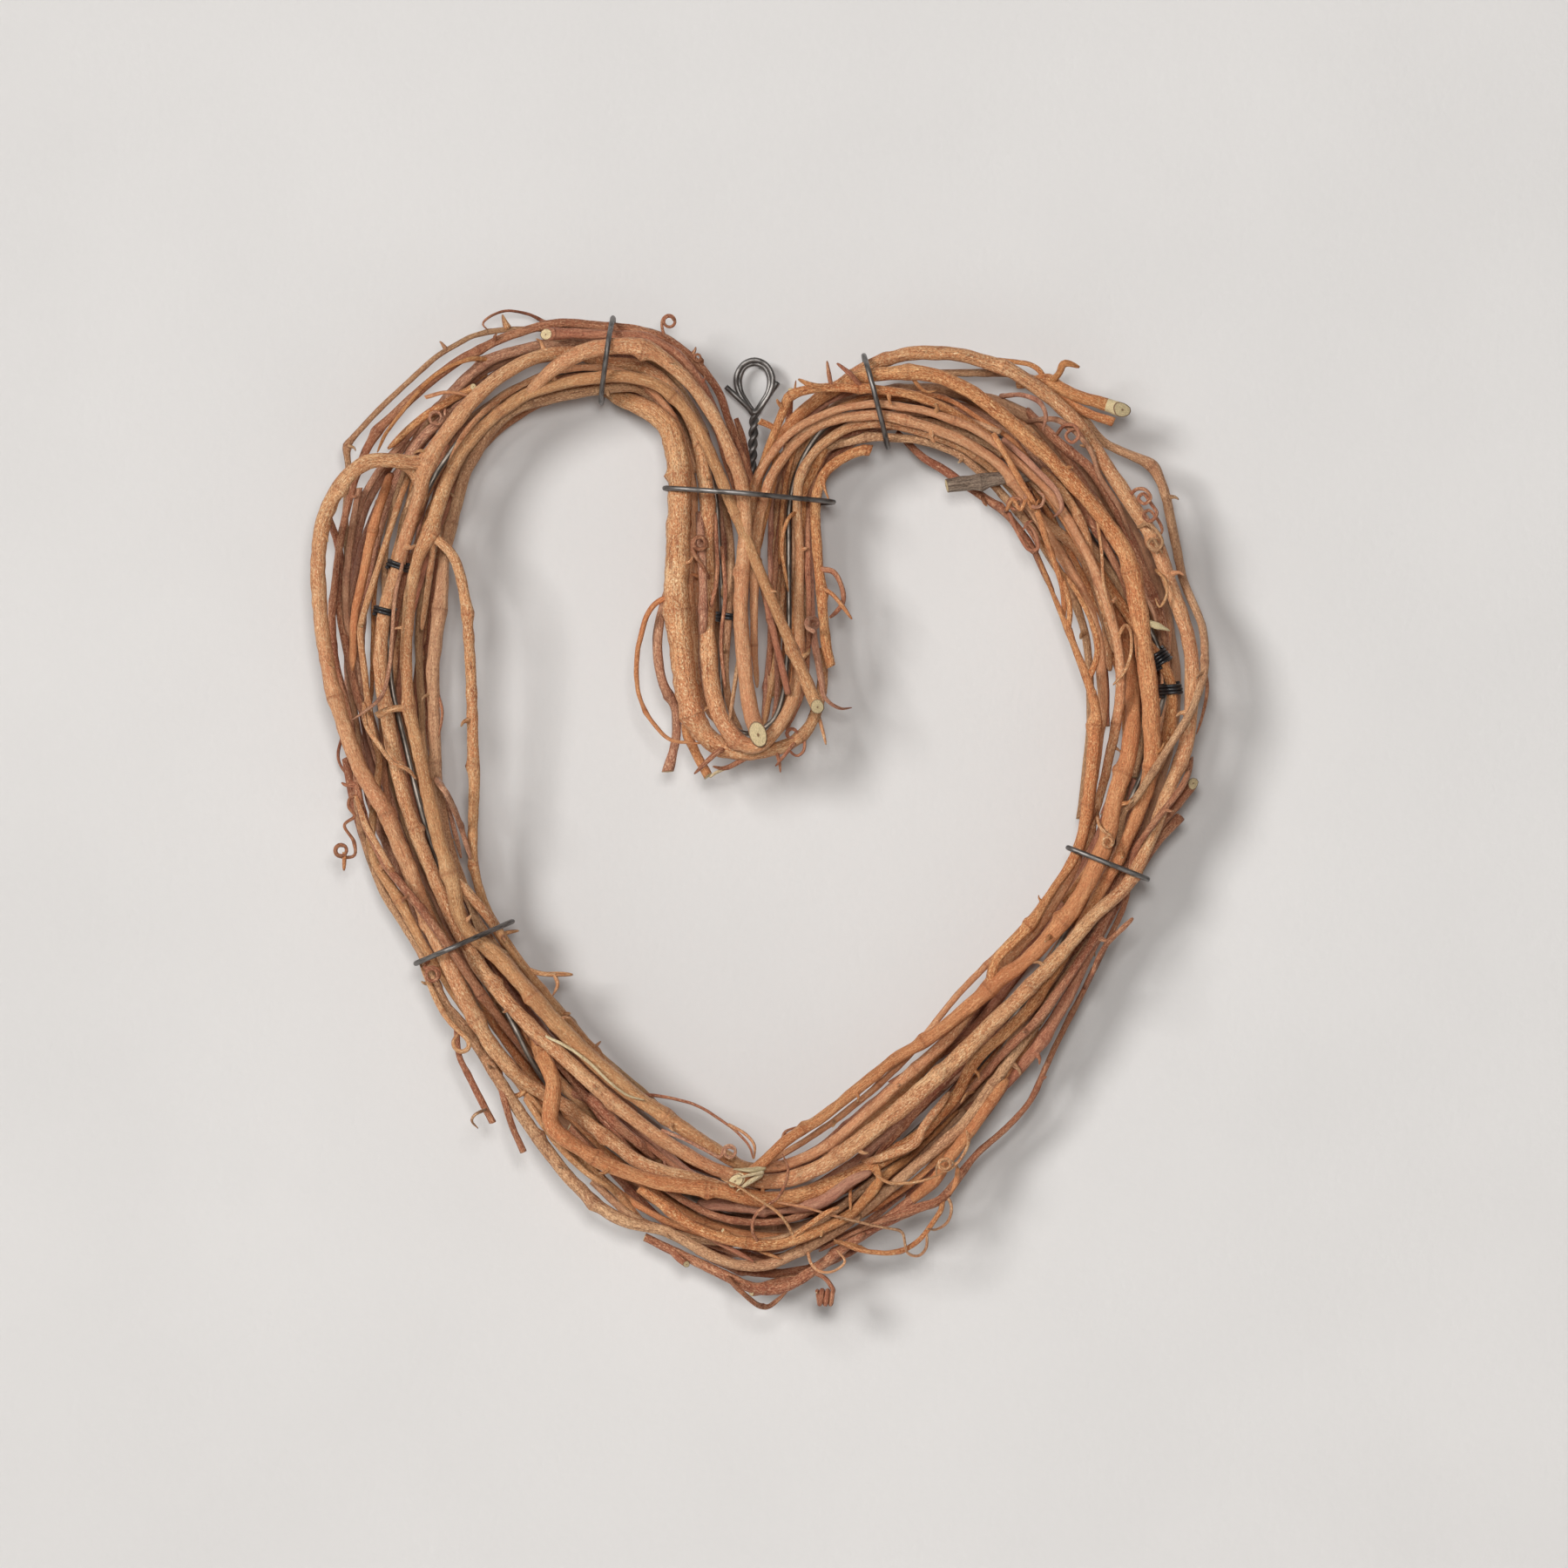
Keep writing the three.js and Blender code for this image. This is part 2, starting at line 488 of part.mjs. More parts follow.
        name: 'orange_loop',
        route: [
          [1082, 1376, 20, 6], [1078, 1392, 23], [1065, 1410, 23], [1055, 1422, 24, 6], [1035, 1434, 24],
          [1010, 1437, 24], [985, 1433, 25, 6], [957, 1421, 27, 4],
        ],
        shoots: [
          { name: 'ring_low', route: [[1062, 1412, 24, 3.5], [1063, 1430, 25], [1054, 1440, 25],
            [1042, 1437, 25], [1037, 1424, 26], [1035, 1412, 27], [1000, 1404, 29],
            [960, 1394, 30, 3]] },
        ],
      },
      { name: 'ring_right', route: [[1087, 1370, 20, 4], [1092, 1386, 22], [1087, 1402, 23],
        [1074, 1410, 24], [1063, 1408, 28, 3]] },
      {
        name: 'ring_high',
        route: [[1095, 1358, 19, 4], [1100, 1345, 23], [1095, 1334, 24], [1084, 1330, 24],
          [1075, 1336, 24], [1074, 1350, 24, 3]],
      },
      { name: 'lowest_loop', route: [[835, 1465, 17, 6], [850, 1476, 20], [865, 1490, 20],
        [880, 1496, 20, 6], [893, 1490, 20], [906, 1478, 22, 5]] },
      { name: 'thin_fork', route: [[1243, 1134, 16, 5], [1250, 1112, 18], [1262, 1088, 17],
        [1282, 1068, 17], [1298, 1050, 17, 7]] },
      { name: 'hanging_coil', route: [[930, 1461, 18, 5], [945, 1467, 20, 4], [955, 1477, 20],
        [958, 1487, 20]], coil: [947, 1487, 8, 2.4] },
    ],
  },
  {
    name: 'cane_split',
    bark: 'golden',
    route: [
      [845, 1353, 31, 14], [870, 1338, 30, 13], [905, 1305, 29], [945, 1280, 27, 13], [984, 1249, 26],
      [1030, 1212, 26, 14], [1057, 1197, 26], [1080, 1180, 26, 15], [1110, 1157, 26], [1136, 1133, 27, 19],
      [1175, 1105, 27, 17], [1202, 1075, 28], [1226, 1048, 28, 20], [1252, 1005, 27], [1269, 961, 26, 20],
      [1278, 913, 26], [1288, 890, 26], [1295, 860, 24, 20], [1300, 830, 20], [1300, 780, 14, 16],
      [1290, 720, 12], [1268, 655, 12, 13], [1225, 590, 11], [1180, 545, 10, 10],
    ],
    knots: [[1136, 1133], [1060, 1196]],
    shoots: [
      {
        name: 'twig_arm',
        route: [
          [1136, 1133, 27, 13], [1143, 1102, 28, 12], [1160, 1080, 28], [1182, 1060, 28, 13],
          [1205, 1025, 26, 9], [1225, 995, 25, 10], [1238, 970, 25, 13], [1247, 940, 25],
            [1254, 891, 26, 13],
          [1255, 834, 27, 16], [1255, 811, 27, 12], [1248, 778, 27, 11], [1235, 757, 26, 9],
          [1223, 724, 25, 9], [1208, 690, 24, 6], [1199, 656, 23, 6], [1190, 640, 22, 4],
        ],
        knots: [[1182, 1060], [1255, 834], [1248, 778], [1223, 724]],
        shoots: [
          { name: 'twig_high', route: [[1224, 726, 25, 7], [1226, 699, 26, 7], [1220, 670, 25],
            [1207, 645, 22, 6], [1196, 620, 17, 5]] },
          { name: 'twig_right', route: [[1250, 780, 27, 8], [1260, 757, 28, 7], [1260, 730, 28],
            [1252, 705, 27], [1235, 675, 24, 6], [1215, 650, 19, 5]] },
        ],
      },
    ],
  },
  {
    name: 'cane_valley',
    bark: 'tan',
    route: [
      [870, 1342, 25, 12], [905, 1338, 25], [955, 1313, 24, 13], [1000, 1272, 23], [1045, 1230, 23],
      [1095, 1185, 22, 14], [1125, 1140, 22], [1160, 1095, 22, 13], [1190, 1065, 22], [1218, 1025, 22],
      [1238, 985, 22, 12], [1250, 940, 20], [1258, 880, 20, 13], [1266, 820, 20], [1265, 780, 21, 12],
      [1258, 725, 21], [1245, 690, 21], [1225, 655, 20, 12], [1205, 625, 19], [1185, 590, 18],
      [1165, 560, 20], [1145, 535, 21, 12], [1110, 510, 23], [1040, 484, 24, 12], [1006, 477, 24],
      [947, 486, 24, 12], [919, 503, 24], [898, 527, 24], [878, 563, 24, 12], [871, 600, 25],
      [867, 640, 28, 12], [866, 700, 29, 9], [866, 750, 29, 8], [870, 790, 28, 6],
    ],
    knots: [[1250, 935], [1040, 484]],
  },
  {
    name: 'cane_slim_right',
    bark: 'tan',
    route: [
      [880, 1335, 20, 7], [930, 1305, 22, 8], [985, 1265, 22], [1040, 1215, 21], [1060, 1190, 21],
      [1100, 1140, 24, 8], [1140, 1100, 22], [1175, 1065, 18, 8], [1215, 1010, 20], [1243, 975, 21],
      [1255, 940, 18], [1266, 900, 18, 10], [1277, 850, 21], [1285, 800, 23, 12], [1285, 760, 23],
      [1275, 710, 23, 12], [1262, 670, 23], [1245, 630, 22, 10], [1222, 590, 20], [1200, 560, 20],
      [1165, 530, 22], [1130, 500, 23, 10], [1090, 480, 24], [1023, 465, 25, 9], [980, 466, 25],
      [928, 484, 25], [902, 501, 25, 10], [885, 522, 24], [869, 546, 23], [862, 590, 18], [850, 640, 14, 9],
      [845, 720, 12, 8],
    ],
    knots: [[1262, 665]],
    shoots: [
      { name: 'coil_right', route: [[1258, 928, 20, 5], [1262, 950, 29, 4]], coil: [1270, 966, 7, 1.5] },
      {
        name: 'hook_curl',
        route: [
          [1281, 735, 23, 5], [1290, 718, 27, 4], [1296, 730, 33], [1296, 750, 33], [1290, 770, 31],
          [1276, 787, 28, 4],
        ],
      },
    ],
  },
  {
    name: 'cane_cut_upper',
    bark: 'red',
    route: [
      [1080, 1290, 14, 8], [1130, 1240, 17, 10], [1160, 1205, 20], [1185, 1180, 23], [1205, 1155, 24, 11],
      [1230, 1120, 23], [1250, 1090, 22], [1268, 1060, 21, 11], [1285, 1020, 19], [1305, 980, 20],
      [1325, 955, 20, 12], [1345, 930, 19], [1370, 900, 18, 13],
    ],
  },
  {
    name: 'cane_cut_lower',
    bark: 'red',
    route: [
      [1110, 1275, 12, 9], [1160, 1240, 15, 13], [1180, 1215, 18], [1200, 1190, 20, 14], [1220, 1160, 20],
      [1240, 1125, 19], [1270, 1065, 17, 12], [1292, 1025, 15], [1315, 985, 15], [1330, 965, 16, 12],
      [1355, 938, 16, 12],
    ],
    knots: [[1200, 1190]],
  },
  {
    name: 'cane_elbow',
    bark: 'golden',
    route: [
      [868, 575, 14, 8], [872, 545, 19], [885, 513, 24], [893, 492, 27, 10], [902, 473, 28],
      [907, 457, 29, 11], [936, 449, 29, 11], [988, 448, 28], [1040, 454, 27, 11], [1075, 466, 25],
      [1110, 484, 21], [1150, 512, 16], [1200, 560, 13, 11], [1245, 625, 13], [1285, 690, 14],
      [1315, 735, 17, 13], [1338, 770, 20], [1345, 810, 21, 14], [1343, 840, 21], [1335, 870, 18],
      [1315, 910, 14, 12], [1295, 950, 12, 9],
    ],
    knots: [[907, 457], [985, 448]],
    shoots: [
      { name: 'snag_a', route: [[945, 449, 29, 8], [930, 445, 31, 8], [916, 438, 31, 6]] },
      { name: 'snag_b', route: [[954, 448, 29, 5], [952, 438, 30, 4.5], [949, 417, 30, 5]] },
      { name: 'snag_c', route: [[988, 448, 28, 6], [975, 433, 31, 5.5], [960, 420, 31, 6]] },
      { name: 'snag_d', route: [[894, 494, 27, 7], [885, 489, 28, 7], [873, 484, 28, 8]] },
      { name: 'snag_e', route: [[912, 456, 29, 4], [913, 440, 30, 3]] },
    ],
  },
  {
    name: 'cane_lobe',
    bark: 'grey',
    route: [
      [930, 540, 14, 8], [947, 517, 19, 9], [962, 511, 19], [988, 503, 19, 11], [1023, 501, 19],
      [1080, 510, 18, 10], [1110, 525, 17], [1150, 560, 15], [1190, 610, 15, 10], [1220, 660, 16],
      [1245, 720, 15], [1252, 790, 14, 10], [1250, 870, 13], [1240, 940, 12, 8],
    ],
    knots: [[1235, 690]],
  },
  {
    name: 'cane_orange',
    bark: 'golden',
    route: [
      [1000, 517, 20, 11], [988, 517, 20], [962, 529, 20, 12], [945, 544, 20], [937, 562, 20],
      [935, 588, 20, 12], [937, 640, 21], [943, 700, 22, 12], [945, 740, 23], [951, 766, 23, 12],
    ],
    knots: [[994, 517], [942, 680]],
    shoots: [
      { name: 'loop_right', route: [[939, 652, 21, 7], [957, 657, 23, 7], [967, 673, 23],
        [968, 690, 23, 6], [960, 703, 23], [952, 710, 26, 5]] },
      { name: 'twig_out', route: [[942, 676, 22, 5], [955, 683, 25, 5], [965, 695, 26],
        [977, 712, 26, 5]] },
      { name: 'twig_tiny', route: [[948, 541, 20, 4], [946, 560, 24, 4], [952, 577, 24, 3]] },
    ],
  },
  {
    name: 'cane_tapered',
    bark: 'mauve',
    route: [
      [918, 560, 14, 8], [925, 600, 15, 10], [928, 640, 16], [930, 700, 17, 10], [936, 750, 18],
      [941, 780, 18, 8], [945, 800, 18, 5], [955, 810, 18, 5], [965, 814, 18], [978, 813, 18, 3],
    ],
    shoots: [{ name: 'wrapped_coil', route: [[931, 722, 18, 5], [936, 726, 22, 5]],
      coil: [934, 716, 8, 1.4] }],
  },
  {
    name: 'cane_green',
    bark: 'grey',
    route: [
      [828, 560, 10, 8], [838, 620, 14, 9], [839, 660, 19], [835, 720, 20, 9], [832, 760, 20],
      [834, 790, 20, 9], [840, 820, 18], [852, 842, 16, 7],
    ],
    shoots: [{ name: 'side_shoot', route: [[836, 692, 20, 6], [829, 683, 23, 5], [833, 665, 24],
      [832, 645, 24], [826, 628, 24, 4]] }],
  },
  {
    name: 'cane_stubbed',
    bark: 'mauve',
    route: [
      [775, 655, 19, 9], [761, 700, 23, 11], [755, 730, 23.5, 12], [756, 760, 23.5], [762, 785, 23],
      [775, 812, 19, 11], [779, 835, 19], [772, 865, 19, 11], [767, 886, 19, 14],
    ],
  },
  {
    name: 'stub_weathered',
    bark: 'weathered',
    route: [[1195, 545, 14, 12], [1160, 549, 18, 16], [1120, 554, 19, 18], [1086, 559, 20, 16]],
  },
  {
    name: 'branch_inner',
    bark: 'red',
    route: [
      [1030, 495, 9, 7], [1045, 512, 11, 9], [1060, 525, 12], [1088, 541, 11, 11], [1125, 568, 12, 9],
      [1146, 580, 14], [1160, 595, 15], [1185, 625, 12], [1210, 680, 10, 7],
    ],
    knots: [[1146, 580]],
    shoots: [
      { name: 'coil_inner', route: [[1150, 583, 14, 5], [1156, 586, 22, 4.5]], coil: [1165, 580, 8, 1.5] },
      {
        name: 'hanging_loop',
        route: [
          [1160, 595, 15, 5], [1162, 602, 20, 4], [1175, 622, 21], [1187, 636, 21], [1190, 628, 22],
          [1180, 608, 22], [1176, 602, 23], [1184, 598, 24, 5],
        ],
      },
    ],
  },
  {
    name: 'cane_cut_pair',
    bark: 'golden',
    route: [[1170, 440, 12, 10], [1200, 438, 17, 16], [1230, 452, 20, 14], [1260, 463, 21, 15],
      [1287, 471, 21, 17]],
    knots: [[1205, 437]],
    shoots: [
      { name: 'cut_twin', route: [[1215, 445, 18, 10], [1235, 467, 18, 10], [1255, 478, 18],
        [1278, 484, 18, 11]] },
      { name: 'red_back', route: [[1203, 436, 17, 7], [1190, 421, 17, 6], [1160, 414, 15],
        [1130, 411, 13, 5], [1105, 413, 11, 4]] },
      { name: 'snag', route: [[1207, 437, 17, 9], [1216, 427, 22, 8], [1221, 418, 24, 9],
        [1238, 423, 24, 7]] },
    ],
  },
];

// The bundle that the hidden canes follow, from the tip of the middle finger up its left arm and round
// the heart: x, y and half the width of the bundle, in drawing units.
const BUNDLE = [
  [856, 850, 8], [828, 838, 20], [812, 790, 30], [806, 700, 36], [808, 640, 34], [812, 570, 32],
  [795, 500, 30], [765, 440, 30], [697, 411, 34], [600, 424, 38], [510, 490, 46], [452, 600, 58],
  [440, 700, 58], [442, 800, 48], [456, 900, 42], [488, 1000, 38], [532, 1085, 34], [590, 1180, 42],
  [680, 1290, 50], [770, 1370, 54], [860, 1400, 52], [945, 1380, 52], [1015, 1320, 56], [1125, 1208, 42],
  [1200, 1100, 40], [1268, 990, 32], [1300, 900, 38], [1316, 800, 42], [1302, 700, 48], [1254, 610, 50],
  [1175, 505, 46], [1088, 462, 38], [1007, 462, 34], [940, 492, 34], [908, 560, 28], [903, 640, 28],
  [902, 700, 28], [900, 780, 28], [888, 835, 18],
];
// Each hidden cane: its first and last place along the bundle as shares of its length, its side of the
// bundle from -1 to 1, its distance from the wall plane, its width in drawing units, and its bark.
const HIDDEN_CANES = [
  { from: 0.0, to: 0.47, side: -0.6, depth: 6, width: 15, bark: 'tan' },
  { from: 0.03, to: 0.52, side: 0.1, depth: 4, width: 14, bark: 'grey' },
  { from: 0.05, to: 0.45, side: 0.7, depth: 8, width: 13, bark: 'mauve' },
  { from: 0.42, to: 0.97, side: -0.5, depth: 5, width: 15, bark: 'red' },
  { from: 0.49, to: 1.0, side: 0.2, depth: 4, width: 14, bark: 'tan' },
  { from: 0.44, to: 0.95, side: 0.75, depth: 8, width: 14, bark: 'grey' },
  { from: 0.3, to: 0.8, side: -0.1, depth: 11, width: 12, bark: 'mauve' },
];
const HIDDEN_STEPS = 26;
const HIDDEN_END_WIDTH = 0.8;
const SEED_STEP = 7919;
const SEED_START = 17;
const PHASE_RANGE = 6;
const SIDE_SWAY = 0.35;
const SIDE_WAVES = 15;
const SIDE_LIMIT = 0.85;
const DEPTH_SWAY = 2;
const DEPTH_WAVES = 11;
const DEPTH_PHASE = 2;

// The steel frame wire inside the bundle, a closed heart with the middle finger.
const FRAME_WIRE = {
  name: 'frame_wire',
  route: [
    [856, 842, 17], [832, 825, 17], [826, 760, 16], [826, 705, 16], [826, 620, 15], [815, 540, 13],
    [780, 470, 12], [697, 424, 12], [600, 440, 13], [530, 500, 14], [480, 580, 15], [456, 642, 17],
    [445, 705, 16], [450, 790, 17], [470, 870, 20], [480, 920, 21], [493, 970, 20], [503, 1000, 18],
    [532, 1070, 17], [585, 1170, 21], [598, 1192, 22], [612, 1215, 21], [627, 1240, 17], [690, 1310, 14],
    [780, 1370, 15], [865, 1392, 15], [960, 1368, 14], [1060, 1290, 14], [1150, 1190, 15],
    [1230, 1060, 15], [1280, 960, 15], [1312, 880, 15], [1330, 800, 16], [1333, 765, 16],
    [1308, 690, 15], [1272, 640, 14], [1200, 540, 13], [1120, 490, 14], [1010, 462, 14], [945, 492, 14],
    [910, 560, 14], [906, 640, 14], [904, 760, 15], [890, 825, 17],
  ],
};

// The wire ties: where each starts and ends across the front of the bundle.
const TIES = [
  { name: 'tie_left_lobe', from: [704, 365], to: [691, 455] },
  { name: 'tie_centre', from: [768, 562], to: [942, 576] },
  { name: 'tie_left_side', from: [484, 1103], to: [576, 1063] },
  { name: 'tie_right_side', from: [1228, 974], to: [1309, 1006] },
  { name: 'tie_right_lobe', from: [994, 418], to: [1019, 513] },
];

// Black bindings that hold one cane to the frame wire: the cane and the place.
const BINDINGS = [
  { name: 'binding_left_high', cane: 'cane_long', at: [456, 642] },
  { name: 'binding_left_low', cane: 'cane_long', at: [441, 705] },
  { name: 'binding_finger', cane: 'cane_green', at: [836, 706] },
  { name: 'binding_right_high', cane: 'cane_elbow', at: [1328, 752] },
  { name: 'binding_right_low', cane: 'cane_elbow', at: [1341, 786] },
];

// The hanging eye: two turns of wire round the origin, whose ends twist into a shank. Each turn and
// each loose end holds x and y in drawing units and its distance in millimetres before the shank.
const EYE_TURNS = [
  [
    [866, 472, 0.95], [877, 460, 0.95], [885, 446, 0.95], [887, 430, 0.95], [879, 416, 0.95],
    [866, 411, 0.95], [853, 416, 0.95], [845, 430, 0.95], [847, 446, 0.95], [855, 460, 0.95],
  ],
  [
    [866, 470, -0.95], [875, 459, -0.95], [882, 446, -0.95], [883, 431, -0.95], [877, 419, -0.95],
    [866, 415, -0.95], [855, 419, -0.95], [849, 431, -0.95], [850, 446, -0.95], [857, 459, -0.95],
  ],
];
const EYE_ENDS = [
  [[833, 442, 2.4], [848, 456, 2.3], [860, 468, 1.4], [866, 477, 0.4]],
  [[893, 436, -2.3], [881, 454, -2.2], [872, 468, -1.3], [866, 477, -0.4]],
];
const EYE_POINTS_A_PLACE = 1.3;
const SHANK_TOP = [866, 469];
const SHANK_FOOT = [861, 572];
const SHANK_FOOT_Y = 1;
const SHANK_RADIUS = 1.58;
const SHANK_STEPS_A_TURN = 8;
const SHANK_PROFILE = [1, 0.74, 0.34, 0.74, 1, 0.74, 0.34, 0.74];

const placeX = (x) => (x - EYE_X) * UNIT;
const placeZ = (y) => (EYE_Y - y) * UNIT;

/** A seeded random source, so that every build gives the same wreath. */
function seededRandom(seed) {
  let state = seed;
  return () => {
    state = (state * RANDOM_FACTOR + RANDOM_STEP) % RANDOM_RANGE;
    return state / RANDOM_RANGE;
  };
}

/** Fills in the route values that are left out, evenly along the drawn length. */
function filledRoute(route) {
  const along = [0];
  for (let i = 1; i < route.length; i += 1) {
    along.push(along[i - 1] + Math.hypot(route[i][0] - route[i - 1][0], route[i][1] - route[i - 1][1]));
  }
  const valueAt = (column, i) => {
    let low = i;
    let high = i;
    while (low >= 0 && route[low][column] === undefined) {
      low -= 1;
    }
    while (high < route.length && route[high][column] === undefined) {
      high += 1;
    }
    if (low < 0) {
      return route[high][column];
    }
    if (high >= route.length) {
      return route[low][column];
    }
    if (low === high) {
      return route[low][column];
    }
    const share = (along[i] - along[low]) / (along[high] - along[low]);
    return route[low][column] * (1 - share) + route[high][column] * share;
  };
  return route.map((point, i) => [point[0], point[1], valueAt(2, i), valueAt(3, i)]);
}

/** Points of a flat coil of shrinking turns that starts where the stem ends. */
function coilPoints([middleX, middleY, radius, turns], stemEnd) {
  const [endX, endY, depth, width] = stemEnd;
  const startAngle = Math.atan2(endY - middleY, endX - middleX);
  const steps = Math.round(turns * COIL_STEPS_A_TURN);
  const points = [];
  for (let i = 1; i <= steps; i += 1) {
    const share = i / steps;
    const angle = startAngle + share * turns * 2 * Math.PI;
    const reach = radius * (1 - COIL_SHRINK * share);
    const rise = share * turns * width * UNIT * COIL_RISE;
    const x = middleX + reach * Math.cos(angle);
    const y = middleY + reach * Math.sin(angle);
    points.push([x, y, depth + rise, width]);
  }
  return points;
}

/** Samples a route at even steps along a smooth curve: places in millimetres with a radius each. */
function sampleRoute(route, closed) {
  const filled = filledRoute(route);
  const places = filled.map(([x, y, depth]) => new THREE.Vector3(placeX(x), WALL_Y - depth, placeZ(y)));
  const curve = new THREE.CatmullRomCurve3(places, closed, 'centripetal');
  const spans = closed ? filled.length : filled.length - 1;
  const fine = [];
  for (let i = 0; i <= spans * FINE_STEPS; i += 1) {
    const share = i / (spans * FINE_STEPS);
    const index = Math.min(Math.floor(i / FINE_STEPS), spans - 1);
    const part = i / FINE_STEPS - index;
    const here = filled[index];
    const next = filled[(index + 1) % filled.length];
    const radius = ((here[3] * (1 - part) + next[3] * part) * UNIT) / 2;
    fine.push({ place: curve.getPoint(share), radius });
  }
  const along = [0];
  for (let i = 1; i < fine.length; i += 1) {
    along.push(along[i - 1] + fine[i].place.distanceTo(fine[i - 1].place));
  }
  const length = along[along.length - 1];
  const meanRadius = fine.reduce((sum, point) => sum + point.radius, 0) / fine.length;
  const step = Math.min(LONGEST_STEP, Math.max(SHORTEST_STEP, meanRadius * STEP_TO_RADIUS));
  const count = Math.max(2, Math.round(length / step));
  const samples = [];
  let cursor = 0;
  for (let i = 0; i <= count; i += 1) {
    const target = (length * i) / count;
    while (cursor < along.length - 2 && along[cursor + 1] < target) {
      cursor += 1;
    }
    const part = (target - along[cursor]) / Math.max(1e-9, along[cursor + 1] - along[cursor]);
    const place = fine[cursor].place.clone().lerp(fine[cursor + 1].place, part);
    samples.push({ place, radius: fine[cursor].radius * (1 - part) + fine[cursor + 1].radius * part });
  }
  if (closed) {
    samples.pop();
  }
  return samples;
}

/** Index of the sample that lies nearest to a drawn place, seen from the front. */
function nearestSample(points, [x, y]) {
  let best = 0;
  let bestDistance = Infinity;
  points.forEach((point, i) => {
    const distance = Math.hypot(point.x - placeX(x), point.z - placeZ(y));
    if (distance < bestDistance) {
      best = i;
      bestDistance = distance;
    }
  });
  return best;
}

// Every strand of the wreath: its points with home places, its radii and how freely it moves.
const strands = [];

/** Adds one strand, with the shoots that grow from it. */
function addStrand(piece, spec, choices = {}) {
  const { freedom = DRAWN, parent = null, closed = false, tolerance = TOLERANCE.cane } = choices;
  let route = spec.route;
  if (spec.coil) {
    const stem = filledRoute(route);
    route = [...stem, ...coilPoints(spec.coil, stem[stem.length - 1])];
  }
  const samples = sampleRoute(route, closed);
  const points = samples.map((sample) => sample.place);
  const radii = samples.map((sample) => sample.radius);
  for (const knot of spec.knots ?? []) {
    const at = nearestSample(points, knot);
    const last = Math.min(points.length - 1, at + KNOT_REACH);
    for (let i = Math.max(0, at - KNOT_REACH); i <= last; i += 1) {
      radii[i] *= 1 + KNOT_SWELL * (1 - Math.abs(i - at) / KNOT_FADE);
    }
  }
  const strand = {
    piece, name: spec.name, points, radii, closed, parent, tolerance, coiled: Boolean(spec.coil),
    home: points.map((point) => point.clone()),
    slack: radii.map(() => 0),
    across: freedom.across,
    deep: freedom.deep,
    root: parent ? nearestSample(parent.points, spec.route[0]) : -1,
  };
  strands.push(strand);
  if (parent) {
    const shift = parent.points[strand.root].clone().sub(points[0]);
    const reach = Math.min(points.length, ROOT_REACH);
    for (let i = 0; i < reach; i += 1) {
      points[i].addScaledVector(shift, 1 - i / reach);
    }
    strand.home = points.map((point) => point.clone());
  }
  for (const shoot of spec.shoots ?? []) {
    addStrand(piece, shoot, { freedom, parent: strand, tolerance: TOLERANCE.shoot });
  }
  return strand;
}

/** The drawn route of a hidden cane, which sways gently from side to side in the bundle. */
function hiddenRoute(cane, index) {
  const random = seededRandom(index * SEED_STEP + SEED_START);
  const phase = random() * PHASE_RANGE;
  const along = [0];
  for (let i = 1; i < BUNDLE.length; i += 1) {
    along.push(along[i - 1] + Math.hypot(BUNDLE[i][0] - BUNDLE[i - 1][0], BUNDLE[i][1] - BUNDLE[i - 1][1]));
  }
  const length = along[along.length - 1];
  const route = [];
  for (let step = 0; step <= HIDDEN_STEPS; step += 1) {
    const share = cane.from + ((cane.to - cane.from) * step) / HIDDEN_STEPS;
    const target = share * length;
    let span = 0;
    while (span < BUNDLE.length - 2 && along[span + 1] < target) {
      span += 1;
    }
    const part = (target - along[span]) / (along[span + 1] - along[span]);
    const [x0, y0, half0] = BUNDLE[span];
    const [x1, y1, half1] = BUNDLE[span + 1];
    const run = Math.hypot(x1 - x0, y1 - y0);
    const sway = cane.side + SIDE_SWAY * Math.sin(phase + share * SIDE_WAVES);
    const half = half0 * (1 - part) + half1 * part;
    const off = half * Math.max(-SIDE_LIMIT, Math.min(SIDE_LIMIT, sway));
    route.push([
      x0 + (x1 - x0) * part - ((y1 - y0) / run) * off,
      y0 + (y1 - y0) * part + ((x1 - x0) / run) * off,
      cane.depth + DEPTH_SWAY * Math.sin(phase * DEPTH_PHASE + share * DEPTH_WAVES),
      cane.width * (step === 0 || step === HIDDEN_STEPS ? HIDDEN_END_WIDTH : 1),
    ]);
  }
  return route;
}

for (const cane of CANES) {
  addStrand(cane.name, cane);
}
HIDDEN_CANES.forEach((cane, i) => {
  const spec = { name: `cane_hidden_${i + 1}`, route: hiddenRoute(cane, i) };
  addStrand(spec.name, spec, { freedom: LOOSE, tolerance: TOLERANCE.hidden });
});
const frameRoute = FRAME_WIRE.route.map((point) => [...point, TIE_WIRE / UNIT]);
const frameChoices = { freedom: LOOSE, closed: true, tolerance: TOLERANCE.frame };
const frameWire = addStrand(FRAME_WIRE.name, { ...FRAME_WIRE, route: frameRoute }, frameChoices);

/** Smooth points through the drawn places of the hanging eye's wire. */
function eyeWirePoints(drawn, closed) {
  const places = drawn.map(([x, y, before]) => new THREE.Vector3(placeX(x), -before, placeZ(y)));
  const curve = new THREE.CatmullRomCurve3(places, closed, 'centripetal');
  const points = curve.getPoints(Math.round(drawn.length * EYE_POINTS_A_PLACE));
  if (closed) {
    points.pop();
  }
  return points;
}

